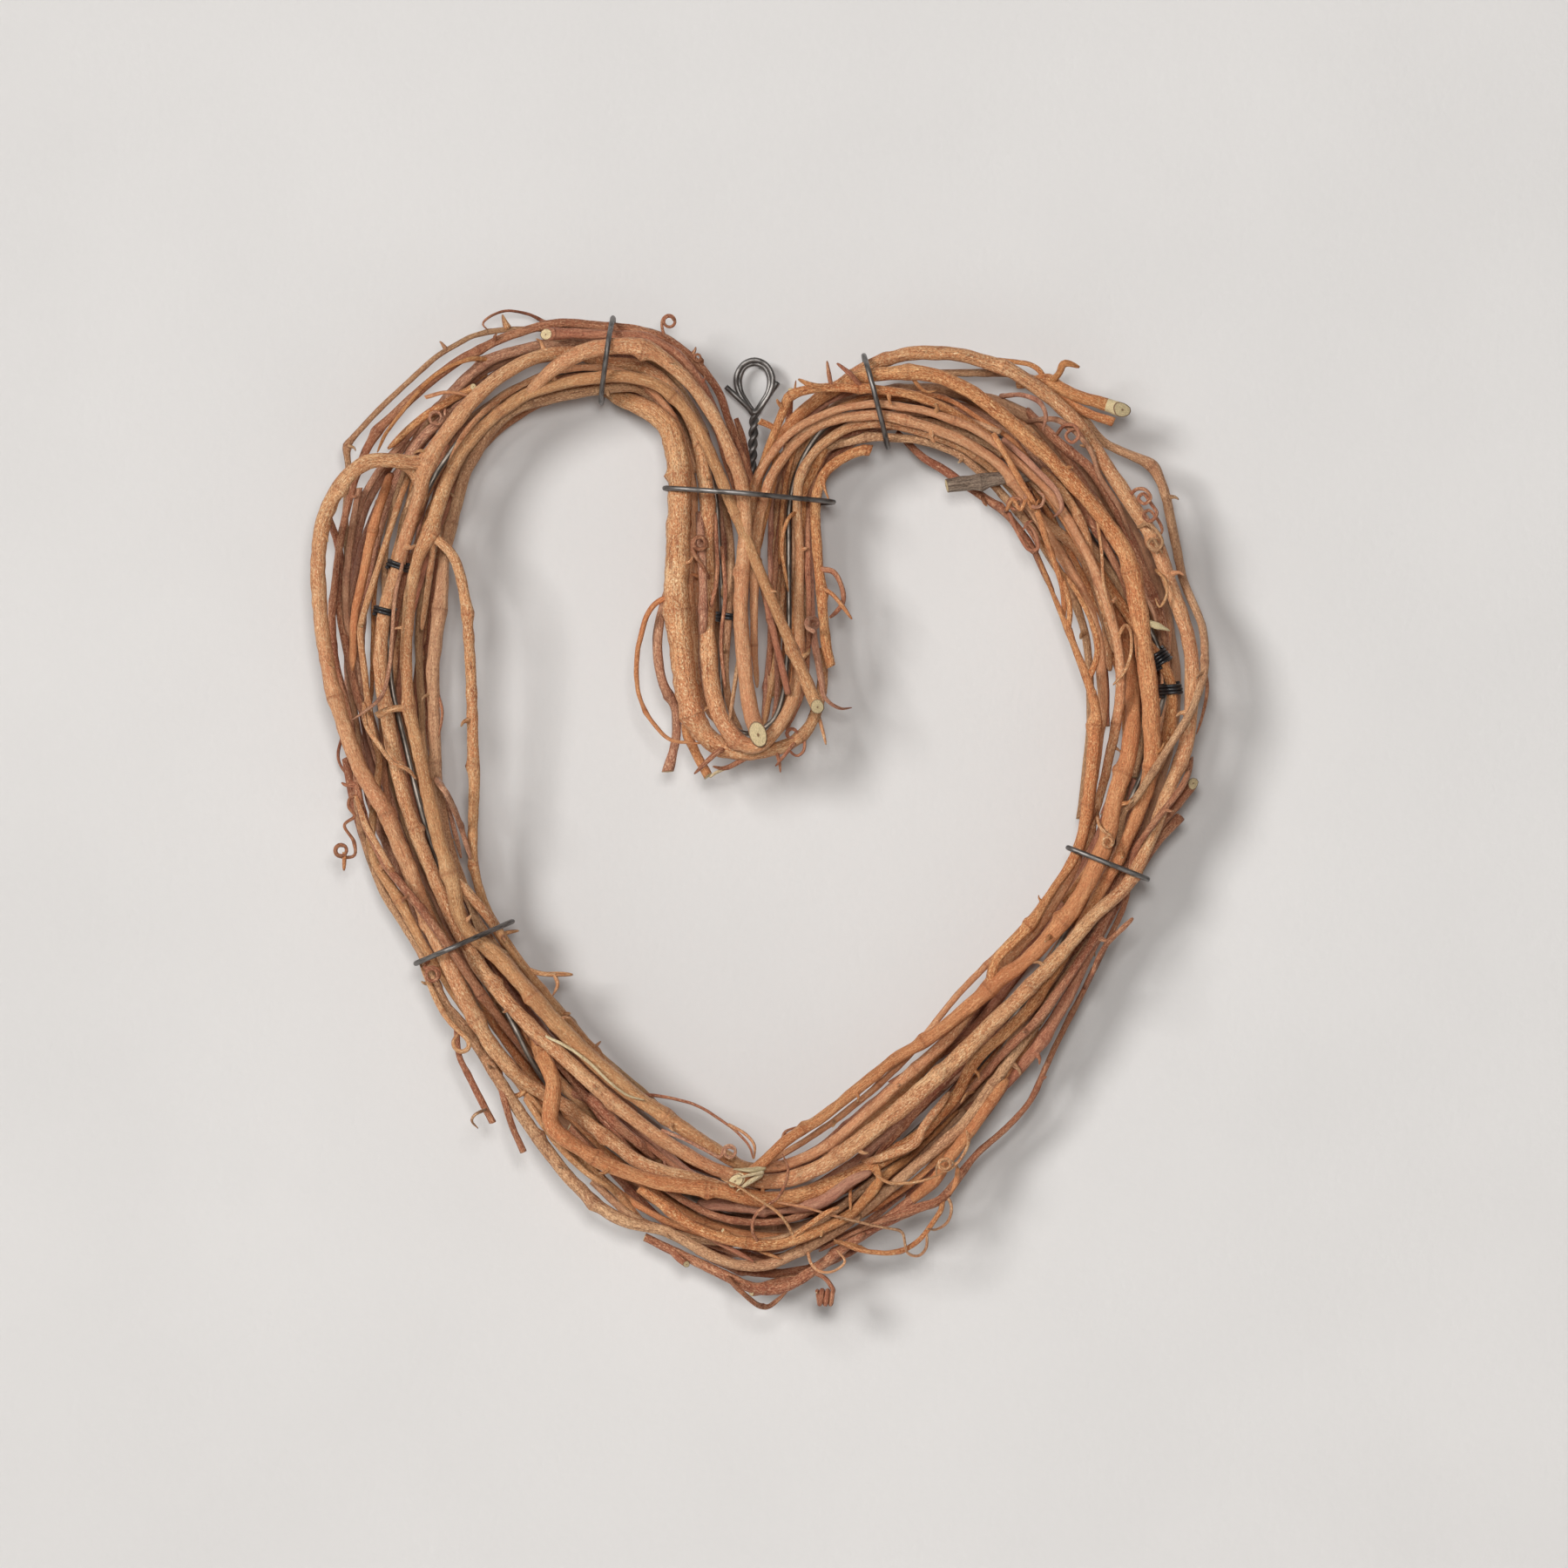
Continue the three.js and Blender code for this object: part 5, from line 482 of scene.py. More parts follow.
    ), coil=Coil(934, 716, 8, 1.4)),
    Growth("cane_green", Bark.GREY, (
        (828, 560, 10, 8), (838, 620, 14, 9), (839, 660, 19), (832, 760, 20, 9), (840, 820, 18),
        (852, 842, 16, 7),
    )),
    Growth("cane_green.side_shoot", Bark.GREY, (
        (836, 692, 20, 6), (829, 683, 23, 5), (833, 665, 24), (826, 628, 24, 4),
    )),
    Growth("cane_stubbed", Bark.MAUVE, (
        (775, 655, 19, 9), (755, 730, 24, 12), (762, 785, 23), (775, 812, 19), (772, 865, 19, 11),
        (767, 886, 19, 14),
    )),
    Growth("stub_weathered", Bark.WEATHERED, (
        (1195, 545, 14, 12), (1120, 554, 19, 18), (1086, 559, 20, 16),
    )),
    Growth("branch_inner", Bark.RED, (
        (1030, 495, 9, 7), (1060, 525, 12), (1088, 541, 11, 11), (1160, 595, 15, 8.5), (1210, 680, 10, 7),
    ), knots=((1146, 580),)),
    Growth("branch_inner.coil_inner", Bark.RED, (
        (1150, 583, 14, 5), (1156, 586, 22, 4.5),
    ), coil=Coil(1165, 580, 8, 1.5)),
    Growth("branch_inner.hanging_loop", Bark.RED, (
        (1160, 595, 15, 5), (1162, 602, 20, 4), (1187, 636, 21), (1190, 628), (1176, 602),
        (1184, 598, 24, 5),
    )),
    Growth("cane_cut_pair", Bark.GOLDEN, (
        (1170, 440, 12, 10), (1200, 438, 17, 16), (1230, 452, 20, 14), (1287, 471, 21, 17),
    ), knots=((1205, 437),)),
    Growth("cane_cut_pair.cut_twin", Bark.GOLDEN, ((1215, 445, 18, 10), (1235, 467), (1278, 484, 18, 11))),
    Growth("cane_cut_pair.red_back", Bark.GOLDEN, (
        (1203, 436, 17, 7), (1190, 421, 17), (1130, 411), (1105, 413, 11, 4),
    )),
    Growth("cane_cut_pair.snag", Bark.GOLDEN, (
        (1207, 437, 17, 9), (1216, 427, 22, 8), (1221, 418, 24, 9), (1238, 423, 24, 7),
    )),
)

# The middle line of the bundle: x, y and half its width.
BUNDLE: tuple[tuple[float, ...], ...] = (
    (856, 850, 8), (828, 838, 20), (812, 790, 30), (806, 700, 36), (808, 640, 34), (812, 570, 32),
    (795, 500, 30), (765, 440, 30), (697, 411, 34), (600, 424, 38), (510, 490, 46),
    (452, 600, 58), (440, 700, 58), (442, 800, 48), (456, 900, 42), (488, 1000, 38),
    (532, 1085, 34), (590, 1180, 42), (680, 1290, 50), (770, 1370, 54), (860, 1400, 52),
    (945, 1380, 52), (1015, 1320, 56), (1125, 1208, 42), (1200, 1100, 40), (1268, 990, 32),
    (1300, 900, 38), (1316, 800, 42), (1302, 700, 48), (1254, 610, 50), (1175, 505, 46),
    (1088, 462, 38), (1007, 462, 34), (940, 492, 34), (908, 560, 28), (903, 640, 28),
    (902, 700, 28), (900, 780, 28), (888, 835, 18),
)

# The steel wire inside the bundle: x, y and its distance from the wall plane.
FRAME_ROUTE: tuple[tuple[float, ...], ...] = (
    (856, 842, 17), (832, 825, 17), (826, 760, 16), (826, 705, 16), (826, 620, 15),
    (815, 540, 13), (780, 470, 12), (697, 424, 12), (600, 440, 13), (530, 500, 14),
    (480, 580, 15), (456, 642, 17), (445, 705, 16), (450, 790, 17), (470, 870, 20),
    (480, 920, 21), (493, 970, 20), (503, 1000, 18), (532, 1070, 17), (585, 1170, 21),
    (598, 1192, 22), (612, 1215, 21), (627, 1240, 17), (690, 1310, 14), (780, 1370, 15),
    (865, 1392, 15), (960, 1368, 14), (1060, 1290, 14), (1150, 1190, 15), (1230, 1060, 15),
    (1280, 960, 15), (1312, 880, 15), (1330, 800, 16), (1333, 765, 16), (1308, 690, 15),
    (1272, 640, 14), (1200, 540, 13), (1120, 490, 14), (1010, 462, 14), (945, 492, 14),
    (910, 560, 14), (906, 640, 14), (904, 760, 15), (890, 825, 17),
)


# Finer canes and shoots that run between the canes of the frame, drawn in the same way.
SHOOTS: tuple[Growth, ...] = (
    Growth("front_tendril", Bark.MAUVE, (
        (464, 648, 31, 4.5), (456, 690, 32), (453, 730, 31), (450, 765, 31, 5), (441, 800, 32, 4.5),
        (418, 820, 33), (407, 827, 31, 3),
    )),
    Growth("inner_curl", Bark.RED, ((504, 798, 23, 4), (509, 818, 25), (505, 846, 24, 3))),
    Growth("lobe_golden", Bark.GOLDEN, (
        (545, 446, 20, 8), (515, 462, 20, 10), (485, 480, 19), (445, 515, 14, 8),
    )),
    Growth("lobe_mauve", Bark.MAUVE, (
        (560, 440, 12, 9), (510, 480, 15, 12), (478, 512, 15), (455, 560, 10, 10),
    )),
    Growth("lobe_thin", Bark.TAN, ((490, 458, 26, 5), (515, 452, 27), (545, 457, 26, 4))),
    Growth("fork_crotch", Bark.TAN, (
        (450, 533, 28, 10), (464, 534, 29, 16), (476, 539, 29, 20), (484, 553, 28, 19), (485, 572, 27, 14),
        (482, 590, 26, 9),
    )),
    Growth("left_rear", Bark.GREY, (
        (505, 600, 8, 9), (488, 660, 10, 10), (480, 730, 10), (482, 790, 10), (486, 860, 10),
        (500, 930, 8, 8),
    )),
    Growth("left_ruddy", Bark.RED, (
        (378, 590, 14, 8), (390, 640, 16, 10), (389, 690, 15), (397, 740, 16), (411, 800, 17, 10),
        (428, 850, 14, 8),
    )),
    Growth("left_mauve", Bark.MAUVE, (
        (412, 560, 12, 8), (401, 630, 14, 9), (397, 700, 14), (404, 745, 13), (409, 790, 12, 8),
    )),
    Growth("left_brown", Bark.GOLDEN, (
        (447, 545, 18, 10), (430, 603, 19, 12), (418, 660, 20), (408, 706, 18), (405, 770, 14, 9),
    )),
    Growth("left_umber", Bark.TAN, ((476, 550, 16, 8), (462, 605, 18), (450, 650, 17), (440, 720, 12, 7))),
    Growth("low_left_ruddy", Bark.RED, (
        (396, 870, 12, 9), (408, 930, 13, 12), (436, 1010, 14), (470, 1070, 14), (500, 1120, 12, 9),
    )),
    Growth("low_golden", Bark.GOLDEN, (
        (640, 1262, 16, 9), (670, 1290, 18, 12), (705, 1314, 19), (745, 1336, 18), (795, 1348, 14, 9),
    )),
    Growth("finger_twig", Bark.GOLDEN, ((847, 590, 27, 5), (856, 583, 28), (863, 577, 29, 3))),
    Growth("finger_golden", Bark.GOLDEN, (
        (892, 520, 18, 8), (886, 556, 20, 10), (876, 600, 20), (868, 640, 17, 8),
    )),
    Growth("finger_fork", Bark.GREY, ((850, 752, 27, 6), (844, 785, 29), (838, 828, 28, 5))),
    Growth("finger_light", Bark.MAUVE, (
        (803, 590, 20, 9), (806, 640, 22, 11), (808, 700, 23), (806, 760), (812, 800, 20, 9),
    )),
    Growth("finger_coil", Bark.RED, (
        (816, 668, 24, 5), (806, 650, 27), (797, 636, 28, 4.5),
    ), coil=Coil(804, 625, 9, 1.8)),
    Growth("finger_red", Bark.RED, ((829, 628, 27, 5), (833, 680, 27), (828, 740, 27), (833, 790, 26, 4))),
    Growth("lobe_curl", Bark.MAUVE, (
        (1150, 453, 27, 6), (1172, 455, 28), (1192, 464, 29), (1199, 478, 28, 5), (1196, 496, 25, 4),
    )),
    Growth("lobe_pink", Bark.MAUVE, (
        (1180, 482, 22, 6), (1212, 483, 24, 7), (1233, 497, 25), (1251, 519, 25), (1262, 549, 24),
        (1283, 582, 23), (1298, 620, 20, 5),
    )),
    Growth("right_ruddy", Bark.RED, (
        (1180, 470, 14, 10), (1212, 505, 17, 12), (1252, 539, 18), (1275, 575, 18), (1294, 610, 18),
        (1311, 652, 18), (1330, 700, 17, 11), (1342, 760, 12, 9),
    )),
    Growth("lobe_mauve_right", Bark.MAUVE, (
        (1152, 505, 22, 7), (1187, 538, 23, 8), (1213, 567, 24), (1218, 584, 25), (1209, 594, 22, 5),
    )),
    Growth("hanging_brown", Bark.GOLDEN, (
        (1140, 500, 24, 7), (1170, 553, 26), (1188, 585, 26, 8), (1200, 622, 26), (1212, 654, 26),
        (1219, 680, 25), (1221, 712, 23, 6),
    )),
    Growth("lobe_tan", Bark.TAN, (
        (1195, 540, 18, 10), (1222, 568, 20, 11), (1244, 608, 20), (1252, 640, 20), (1266, 700, 20),
        (1280, 750, 18, 9),
    )),
    Growth("lobe_broad", Bark.TAN, (
        (1165, 560, 10, 10), (1200, 600, 13, 14), (1232, 624, 14), (1252, 655, 14), (1268, 705, 14),
        (1275, 770, 10, 11),
    )),
    Growth("lobe_pale", Bark.TAN, (
        (1258, 600, 26, 4), (1263, 635, 27), (1265, 668, 27), (1277, 714, 26, 3.5),
    )),
    Growth("outer_chain", Bark.RED, (
        (1296, 570, 24, 4.5), (1303, 563, 27), (1313, 564, 29), (1319, 573, 29), (1312, 580, 28),
        (1305, 574, 27), (1311, 568, 25), (1320, 580, 26), (1326, 592, 29), (1318, 600, 29),
        (1311, 593, 28), (1318, 587, 25), (1328, 599, 26), (1332, 612, 28), (1325, 618, 28, 4),
    )),
    Growth("outer_chain_low", Bark.GREY, (
        (1306, 606, 25, 5), (1316, 603, 29), (1326, 612, 30), (1332, 625, 29), (1324, 634, 28),
        (1316, 627, 28), (1322, 620, 25), (1333, 636, 26, 4),
    )),
    Growth("lobe_twine", Bark.RED, (
        (1212, 500, 24, 4.5), (1221, 490, 28), (1232, 491, 30), (1237, 502, 30), (1229, 510, 29),
        (1222, 502, 27), (1232, 494, 25), (1244, 504, 26, 4),
    )),
    Growth("lobe_twine_low", Bark.MAUVE, (
        (1183, 560, 24, 4.5), (1176, 570, 28), (1181, 582, 29), (1193, 583, 29), (1197, 572, 28),
        (1189, 565, 26, 4),
    )),
    Growth("outer_loop", Bark.TAN, (
        (1326, 655, 25, 4.5), (1336, 668, 28), (1337, 685, 28), (1329, 698, 27), (1324, 688, 28, 3),
    )),
    Growth("dark_loop", Bark.RED, (
        (1158, 590, 25, 5), (1168, 614, 27), (1181, 633, 28), (1190, 631, 28), (1188, 616, 28),
        (1178, 603, 28), (1173, 610, 29, 4),
    )),
    Growth("winding_tendril", Bark.GOLDEN, (
        (1155, 586, 24, 5), (1162, 575, 28), (1170, 588, 30), (1177, 575, 30), (1184, 586, 28),
        (1192, 574, 25, 4),
    )),
    Growth("side_tendril", Bark.TAN, (
        (419, 807, 26, 5), (422, 832, 28, 6), (439, 857, 30), (453, 875, 31), (471, 884, 30),
        (480, 895, 27, 5),
    )),
    Growth("low_left_stem", Bark.TAN, (
        (484, 1105, 18, 6), (500, 1143, 22, 7), (517, 1171, 24), (531, 1185, 26), (539, 1194, 27),
        (539, 1202), (531, 1206), (524, 1202), (522, 1194), (528, 1185, 26, 5),
    )),
    Growth("peel_strip", Bark.BARE, (
        (620, 1185, 28, 3), (651, 1199, 31, 4), (679, 1219, 32), (702, 1241), (721, 1255, 31),
        (741, 1261, 30, 2.5),
    )),
    Growth("low_broad", Bark.GOLDEN, (
        (1048, 1376, 18, 12), (1072, 1355, 19, 15), (1090, 1328, 20), (1111, 1301), (1132, 1271, 19),
        (1156, 1238, 16, 12),
    )),
    Growth("low_rusty", Bark.RED, (
        (1048, 1376, 17, 12), (1030, 1391, 18, 14), (994, 1415), (964, 1436, 17), (940, 1454, 14, 10),
    )),
    Growth("low_red", Bark.RED, (
        (1090, 1370, 20, 6), (1069, 1382, 21, 7), (1045, 1391), (1015, 1400), (979, 1415),
        (940, 1436, 18, 5),
    )),
    Growth("low_olive", Bark.TAN, (
        (991, 1334, 22, 8), (1024, 1323, 24, 12), (1051, 1310, 25), (1060, 1292, 24), (1081, 1265, 23),
        (1090, 1253, 20, 9),
    )),
    Growth("low_joining", Bark.GOLDEN, (
        (1006, 1337, 22, 7), (1009, 1355, 23, 10), (994, 1376), (976, 1397, 20, 7),
    )),
    Growth("low_twig", Bark.GOLDEN, ((976, 1361, 25, 4.5), (976, 1388, 26, 4))),
    Growth("low_tendril", Bark.TAN, (
        (1109, 1295, 24, 4), (1111, 1310, 27), (1102, 1328, 29), (1092, 1338, 29),
    ), coil=Coil(1084, 1334, 8, 1.4)),
    Growth("low_wisp", Bark.TAN, (
        (1000, 1343, 26, 3.5), (1018, 1355, 28, 4), (1042, 1356), (1063, 1352), (1081, 1345, 27, 3.5),
    )),
    Growth("low_orange", Bark.GOLDEN, ((1099, 1340, 24, 5), (1097, 1355, 26, 6), (1090, 1370, 24, 5))),
    Growth("low_curl", Bark.TAN, ((1117, 1253, 24, 4), (1108, 1256, 27), (1102, 1265, 26, 3.5))),
    Growth("tip_tendril", Bark.MAUVE, (
        (760, 1296, 26, 4), (786, 1306, 28), (808, 1317, 29), (828, 1326),
    ), coil=Coil(838, 1320, 8, 1.5)),
    Growth("tip_thin", Bark.TAN, (
        (837, 1290, 26, 4), (856, 1300, 28), (866, 1312, 29), (866, 1328, 28, 3.5),
    )),
    Growth("tip_dark", Bark.RED, ((898, 1309, 26, 4), (901, 1298, 27), (914, 1292, 26, 3.5))),
    Growth("tip_pale", Bark.TAN, (
        (888, 1378, 27, 3.5), (920, 1383, 28), (952, 1392), (984, 1400, 27), (1005, 1405, 25, 3),
    )),
    Growth("tip_mauve", Bark.MAUVE, (
        (802, 1383, 16, 12), (850, 1383, 19, 18), (894, 1386, 20), (939, 1380), (978, 1354, 19),
        (1000, 1344, 16, 12),
    )),
    Growth("tip_umber", Bark.RED, ((808, 1418, 22, 5), (837, 1431, 24, 6), (866, 1447, 22, 5))),
    Growth("tip_stem", Bark.GOLDEN, ((830, 1410, 23, 5), (866, 1431, 25), (898, 1444, 23, 4))),
    Growth("tip_orange", Bark.GOLDEN, ((958, 1424, 22, 5), (981, 1429, 23, 6), (1000, 1436, 21, 5))),
    Growth("tip_rusty", Bark.RED, ((862, 1482, 15, 12), (895, 1476, 17, 20), (925, 1467, 15, 14))),
    Growth("splinter", Bark.BARE, ((878, 1338, 30, 7), (862, 1340, 33, 6), (842, 1339, 34, 2.5))),
    Growth("splinter_low", Bark.BARE, ((874, 1346, 30, 7), (862, 1353, 33, 6), (846, 1364, 34, 2.5))),
    Growth("splinter_mid", Bark.BARE, ((876, 1343, 32, 5), (860, 1346, 34, 4), (845, 1350, 35, 2))),
    Growth("left_twig", Bark.GOLDEN, (
        (576, 1250, 18, 6), (580, 1257, 20, 7), (595, 1257), (606, 1250, 19), (612, 1254, 17, 6),
    )),
    Growth("left_orange", Bark.GOLDEN, ((550, 1199, 17, 8), (570, 1224, 19, 10), (576, 1247, 17, 8))),
    Growth("left_tan", Bark.TAN, (
        (604, 1261, 22, 7), (640, 1311, 24, 8), (674, 1345), (696, 1359, 23), (707, 1370, 20, 6),
    )),
    Growth("left_olive", Bark.GREY, ((567, 1154, 14, 6), (584, 1185, 15), (606, 1213), (626, 1238, 13, 5))),
    Growth("left_rusty", Bark.RED, (
        (657, 1255, 15, 10), (682, 1264, 17, 14), (710, 1292, 18), (732, 1311), (752, 1331, 15, 10),
    )),
    Growth("inner_olive", Bark.GREY, (
        (584, 1090, 14, 8), (634, 1149, 17, 9), (668, 1188, 18), (682, 1205), (718, 1236), (741, 1255, 17),
        (760, 1275, 14, 7),
    )),
    Growth("inner_stub", Bark.GREY, ((682, 1203, 17, 5), (690, 1195, 18, 4))),
    Growth("finger_splinter", Bark.BARE, ((815, 892, 23, 3), (824, 886, 24, 4), (842, 880, 22, 3))),
    Growth("finger_knob", Bark.GOLDEN, ((805, 664, 22, 5), (798, 661, 26), (793, 659, 27, 7))),
    Growth("lobe_thorn", Bark.TAN, ((583, 377, 16, 9), (577, 361, 17, 3))),
    Growth("side_stub", Bark.GOLDEN, ((397, 978, 22, 5), (396, 999, 22, 6))),
    Growth("cross_tan", Bark.TAN, (
        (410, 915, 24, 6), (422, 947, 27, 8), (439, 976, 28), (457, 1008), (478, 1037), (503, 1066),
        (529, 1095, 25, 6),
    )),
    Growth("inner_mauve", Bark.MAUVE, ((512, 916, 20, 5), (521, 947, 22, 6), (530, 985, 20, 5))),
    Growth("right_splinter", Bark.BARE, ((1316, 716, 24, 8), (1328, 720, 28, 9), (1341, 725, 29, 3))),
    Growth("right_rear", Bark.GREY, (
        (1287, 560, 12, 9), (1312, 600, 14, 11), (1330, 640, 14), (1345, 690, 12, 9),
    )),
    Growth("lobe_inner", Bark.GREY, (
        (1052, 505, 14, 9), (1090, 515, 16, 11), (1128, 540, 16), (1160, 580, 14, 9),
    )),
    Growth("shank_left", Bark.RED, ((845, 480, 12, 6), (853, 505, 14, 8), (858, 530), (862, 560, 12, 7))),
    Growth("right_cover", Bark.RED, (
        (1225, 560, 14, 8), (1250, 596, 16, 11), (1272, 632), (1290, 668), (1302, 705, 14, 8),
    )),
    Growth("finger_cover", Bark.RED, (
        (908, 450, 13, 7), (904, 500, 14, 9), (901, 560), (894, 620), (886, 700), (883, 775, 12, 7),
    )),
    Growth("low_edge", Bark.RED, (
        (1245, 1105, 14, 9), (1222, 1150, 16, 12), (1195, 1190), (1165, 1230), (1135, 1273), (1105, 1310),
        (1075, 1345), (1040, 1376, 14, 9),
    )),
    Growth("tip_filler", Bark.RED, (
        (800, 1438, 13, 9), (850, 1457, 15, 12), (900, 1462), (945, 1452), (990, 1431, 13, 9),
    )),
)


@dataclass(frozen=True)
class CutEnd:
    """A pale cut end that shows from the front.

    Its slope says how much the cut face turns forwards, and its peel how much of the end is bare.
    """

    at_start: bool
    slope: float
    peel: float = 0.0


CUT_ENDS: dict[str, CutEnd] = {
    "cane_forked.arm_right": CutEnd(False, 1.5),
    "cane_forked": CutEnd(True, 1.1),
    "cane_split": CutEnd(True, 1.3, 1.5),
    "cane_cut_pair": CutEnd(False, 1.2, 4.5),
    "cane_low.cut_tip": CutEnd(False, 1.0),
    "cane_cut_upper": CutEnd(False, 1.2),
    "cane_sleeve": CutEnd(False, 1.0),
}


@dataclass(frozen=True)
class Filling:
    """Seeded canes that fill the middle of the bundle.

    Lengths are shares of the bundle's, and sides shares of half its width.
    """

    count: int = 46
    samples: int = 12
    last_start: float = 0.92
    shortest: float = 0.10
    longest: float = 0.26
    thinnest: float = 6.0
    thickest: float = 12.0
    nearest_wall: float = 6.0
    furthest: float = 19.0
    off_middle: float = 0.85
    lean: float = 0.5
    sway: float = 0.2
    sway_pace: float = 40.0
    side_limit: float = 0.95
    least_taper: float = 0.6
    barks: tuple[Bark, ...] = (Bark.RED, Bark.TAN, Bark.MAUVE, Bark.GOLDEN, Bark.RED, Bark.GREY)


@dataclass(frozen=True)
class HiddenCane:
    """A cane inside the bundle: its run, side, distance from the wall, width and bark.

    It sways from side to side and in depth, by a draw that its number in the list repeats.
    """

    SAMPLES = 27
    SWAY = 0.35
    SWAY_PACE = 15
    SIDE_LIMIT = 0.85
    DEPTH_SWAY = 2
    DEPTH_PACE = 11
    END_TAPER = 0.8
    DRAW_STEP = 7919
    DRAW_START = 17
    DRAW_FACTOR = 1664525
    DRAW_SHIFT = 1013904223
    DRAW_RANGE = 2**32
    LARGEST_PHASE = 6

    start: float
    stop: float
    side: float
    depth: float
    width: float
    bark: Bark


HIDDEN_CANES: tuple[HiddenCane, ...] = (
    HiddenCane(0.0, 0.47, -0.6, 6, 15, Bark.TAN),
    HiddenCane(0.03, 0.52, 0.1, 4, 14, Bark.GREY),
    HiddenCane(0.05, 0.45, 0.7, 8, 13, Bark.MAUVE),
    HiddenCane(0.42, 0.97, -0.5, 5, 15, Bark.RED),
    HiddenCane(0.49, 1.0, 0.2, 4, 14, Bark.TAN),
    HiddenCane(0.44, 0.95, 0.75, 8, 14, Bark.GREY),
    HiddenCane(0.3, 0.8, -0.1, 11, 12, Bark.MAUVE),
)


def seed_of(name: str) -> np.random.Generator:
    """A random source that depends on a name alone."""
    return np.random.default_rng(zlib.crc32(name.encode()))


def place(x: float, y: float, depth: float = 0.0) -> np.ndarray:
    """The place in millimetres of a drawn point at a distance from the wall plane."""
    return np.array([(x - EYE_X) * UNIT, WALL_Y - depth, (EYE_Y - y) * UNIT])


def unit(vectors: np.ndarray) -> np.ndarray:
    """Vectors of length one along the last axis."""
    return vectors / np.maximum(np.linalg.norm(vectors, axis=-1, keepdims=True), 1e-9)


def filled(route: tuple[tuple[float, ...], ...]) -> np.ndarray:
    """Fills in a route's missing distances and widths evenly along its drawn length.

    Args:
        route: Places of two to four values.

    Returns:
        One row of x, y, distance and width for each place.
    """
    table = np.full((len(route), 4), np.nan)
    for row, values in zip(table, route):
        row[: len(values)] = values
    steps = np.linalg.norm(np.diff(table[:, :2], axis=0), axis=1)
    along = np.concatenate([[0.0], np.cumsum(steps)])
    for column in (2, 3):
        known = ~np.isnan(table[:, column])
        table[:, column] = np.interp(along, along[known], table[known, column])
    return table


def smooth_curve(corners: np.ndarray, closed: bool, per_span: int = SPAN_SAMPLES) -> np.ndarray:
    """A centripetal curve through all corners.

    Args:
        corners: The places that the curve goes through.
        closed: Whether the last corner joins the first.
        per_span: Points from one corner to the next.

    Returns:
        The points of the curve. A closed curve ends where it starts.
    """
    if closed:
        padded = np.concatenate([corners[-1:], corners, corners[:2]])
    else:
        before = 2 * corners[0] - corners[1]
        after = 2 * corners[-1] - corners[-2]
        padded = np.concatenate([before[None], corners, after[None]])
    p0, p1, p2, p3 = padded[:-3], padded[1:-2], padded[2:-1], padded[3:]

    def pace(start: np.ndarray, stop: np.ndarray) -> np.ndarray:
        """The share of the knot's pace between two rows of places."""
        return np.maximum(np.sqrt(np.linalg.norm(stop - start, axis=1)), 1e-3)[:, None]

    d0, d1, d2 = pace(p0, p1), pace(p1, p2), pace(p2, p3)
    t1 = ((p1 - p0) / d0 - (p2 - p0) / (d0 + d1) + (p2 - p1) / d1) * d1
    t2 = ((p2 - p1) / d1 - (p3 - p1) / (d1 + d2) + (p3 - p2) / d2) * d1
    c2 = -3 * p1 + 3 * p2 - 2 * t1 - t2
    c3 = 2 * p1 - 2 * p2 + t1 + t2
    share = (np.arange(per_span) / per_span)[None, :, None]
    spans = p1[:, None] + t1[:, None] * share + c2[:, None] * share**2 + c3[:, None] * share**3
    points = spans.reshape(-1, corners.shape[1])
    last = corners[:1] if closed else corners[-1:]
    return np.concatenate([points, last])


@dataclass
class Path:
    """A line of places in millimetres with a radius at each."""

    places: np.ndarray
    radii: np.ndarray
    closed: bool = False
    along: np.ndarray = field(init=False)
    ahead: np.ndarray = field(init=False)

    FEWEST_SPANS = 6

    def __post_init__(self) -> None:
        """Measures the line and its directions."""
        steps = np.linalg.norm(np.diff(self.places, axis=0), axis=1)
        self.along = np.concatenate([[0.0], np.cumsum(steps)])
        if self.closed:
            ring = np.concatenate([self.places[-2:-1], self.places, self.places[1:2]])
            self.ahead = unit(ring[2:] - ring[:-2])
        else:
            self.ahead = unit(np.gradient(self.places, axis=0))

    @property
    def length(self) -> float:
        """The length of the line."""
        return float(self.along[-1])

    def at(self, mark: float) -> tuple[np.ndarray, np.ndarray, float]:
        """The place, direction and radius at a length along the line."""
        spot = np.array([np.interp(mark, self.along, self.places[:, k]) for k in range(3)])
        ahead = np.array([np.interp(mark, self.along, self.ahead[:, k]) for k in range(3)])
        return spot, unit(ahead), float(np.interp(mark, self.along, self.radii))

    def nearest(self, spot: np.ndarray) -> int:
        """The sample nearest to a place as seen from the front."""
        away = self.places[:, [0, 2]] - spot[[0, 2]]
        return int(np.argmin((away**2).sum(axis=1)))

    def resampled(self, step: float) -> "Path":
        """The same line with samples at even steps."""
        count = max(self.FEWEST_SPANS, round(self.length / step))
        marks = np.linspace(0, self.length, count + 1)
        columns = [np.interp(marks, self.along, self.places[:, k]) for k in range(3)]
        radii = np.interp(marks, self.along, self.radii)
        return Path(np.stack(columns, axis=1), radii, self.closed)

    @staticmethod
    def drawn(table: np.ndarray, step: float, closed: bool = False) -> "Path":
        """The smooth line through drawn places.

        Args:
            table: Rows of x, y, distance and width.
            step: The distance between samples in millimetres.
            closed: Whether the line closes on itself.

        Returns:
            The line in millimetres.
        """
        corners = np.array([place(*row[:3]) for row in table])
        line = smooth_curve(corners, closed)
        widths = np.append(table[:, 3], table[0, 3]) if closed else table[:, 3]
        shares = np.arange(len(line)) / SPAN_SAMPLES
        radii = np.interp(shares, np.arange(len(widths)), widths) * UNIT / 2
        return Path(line, radii, closed).resampled(step)


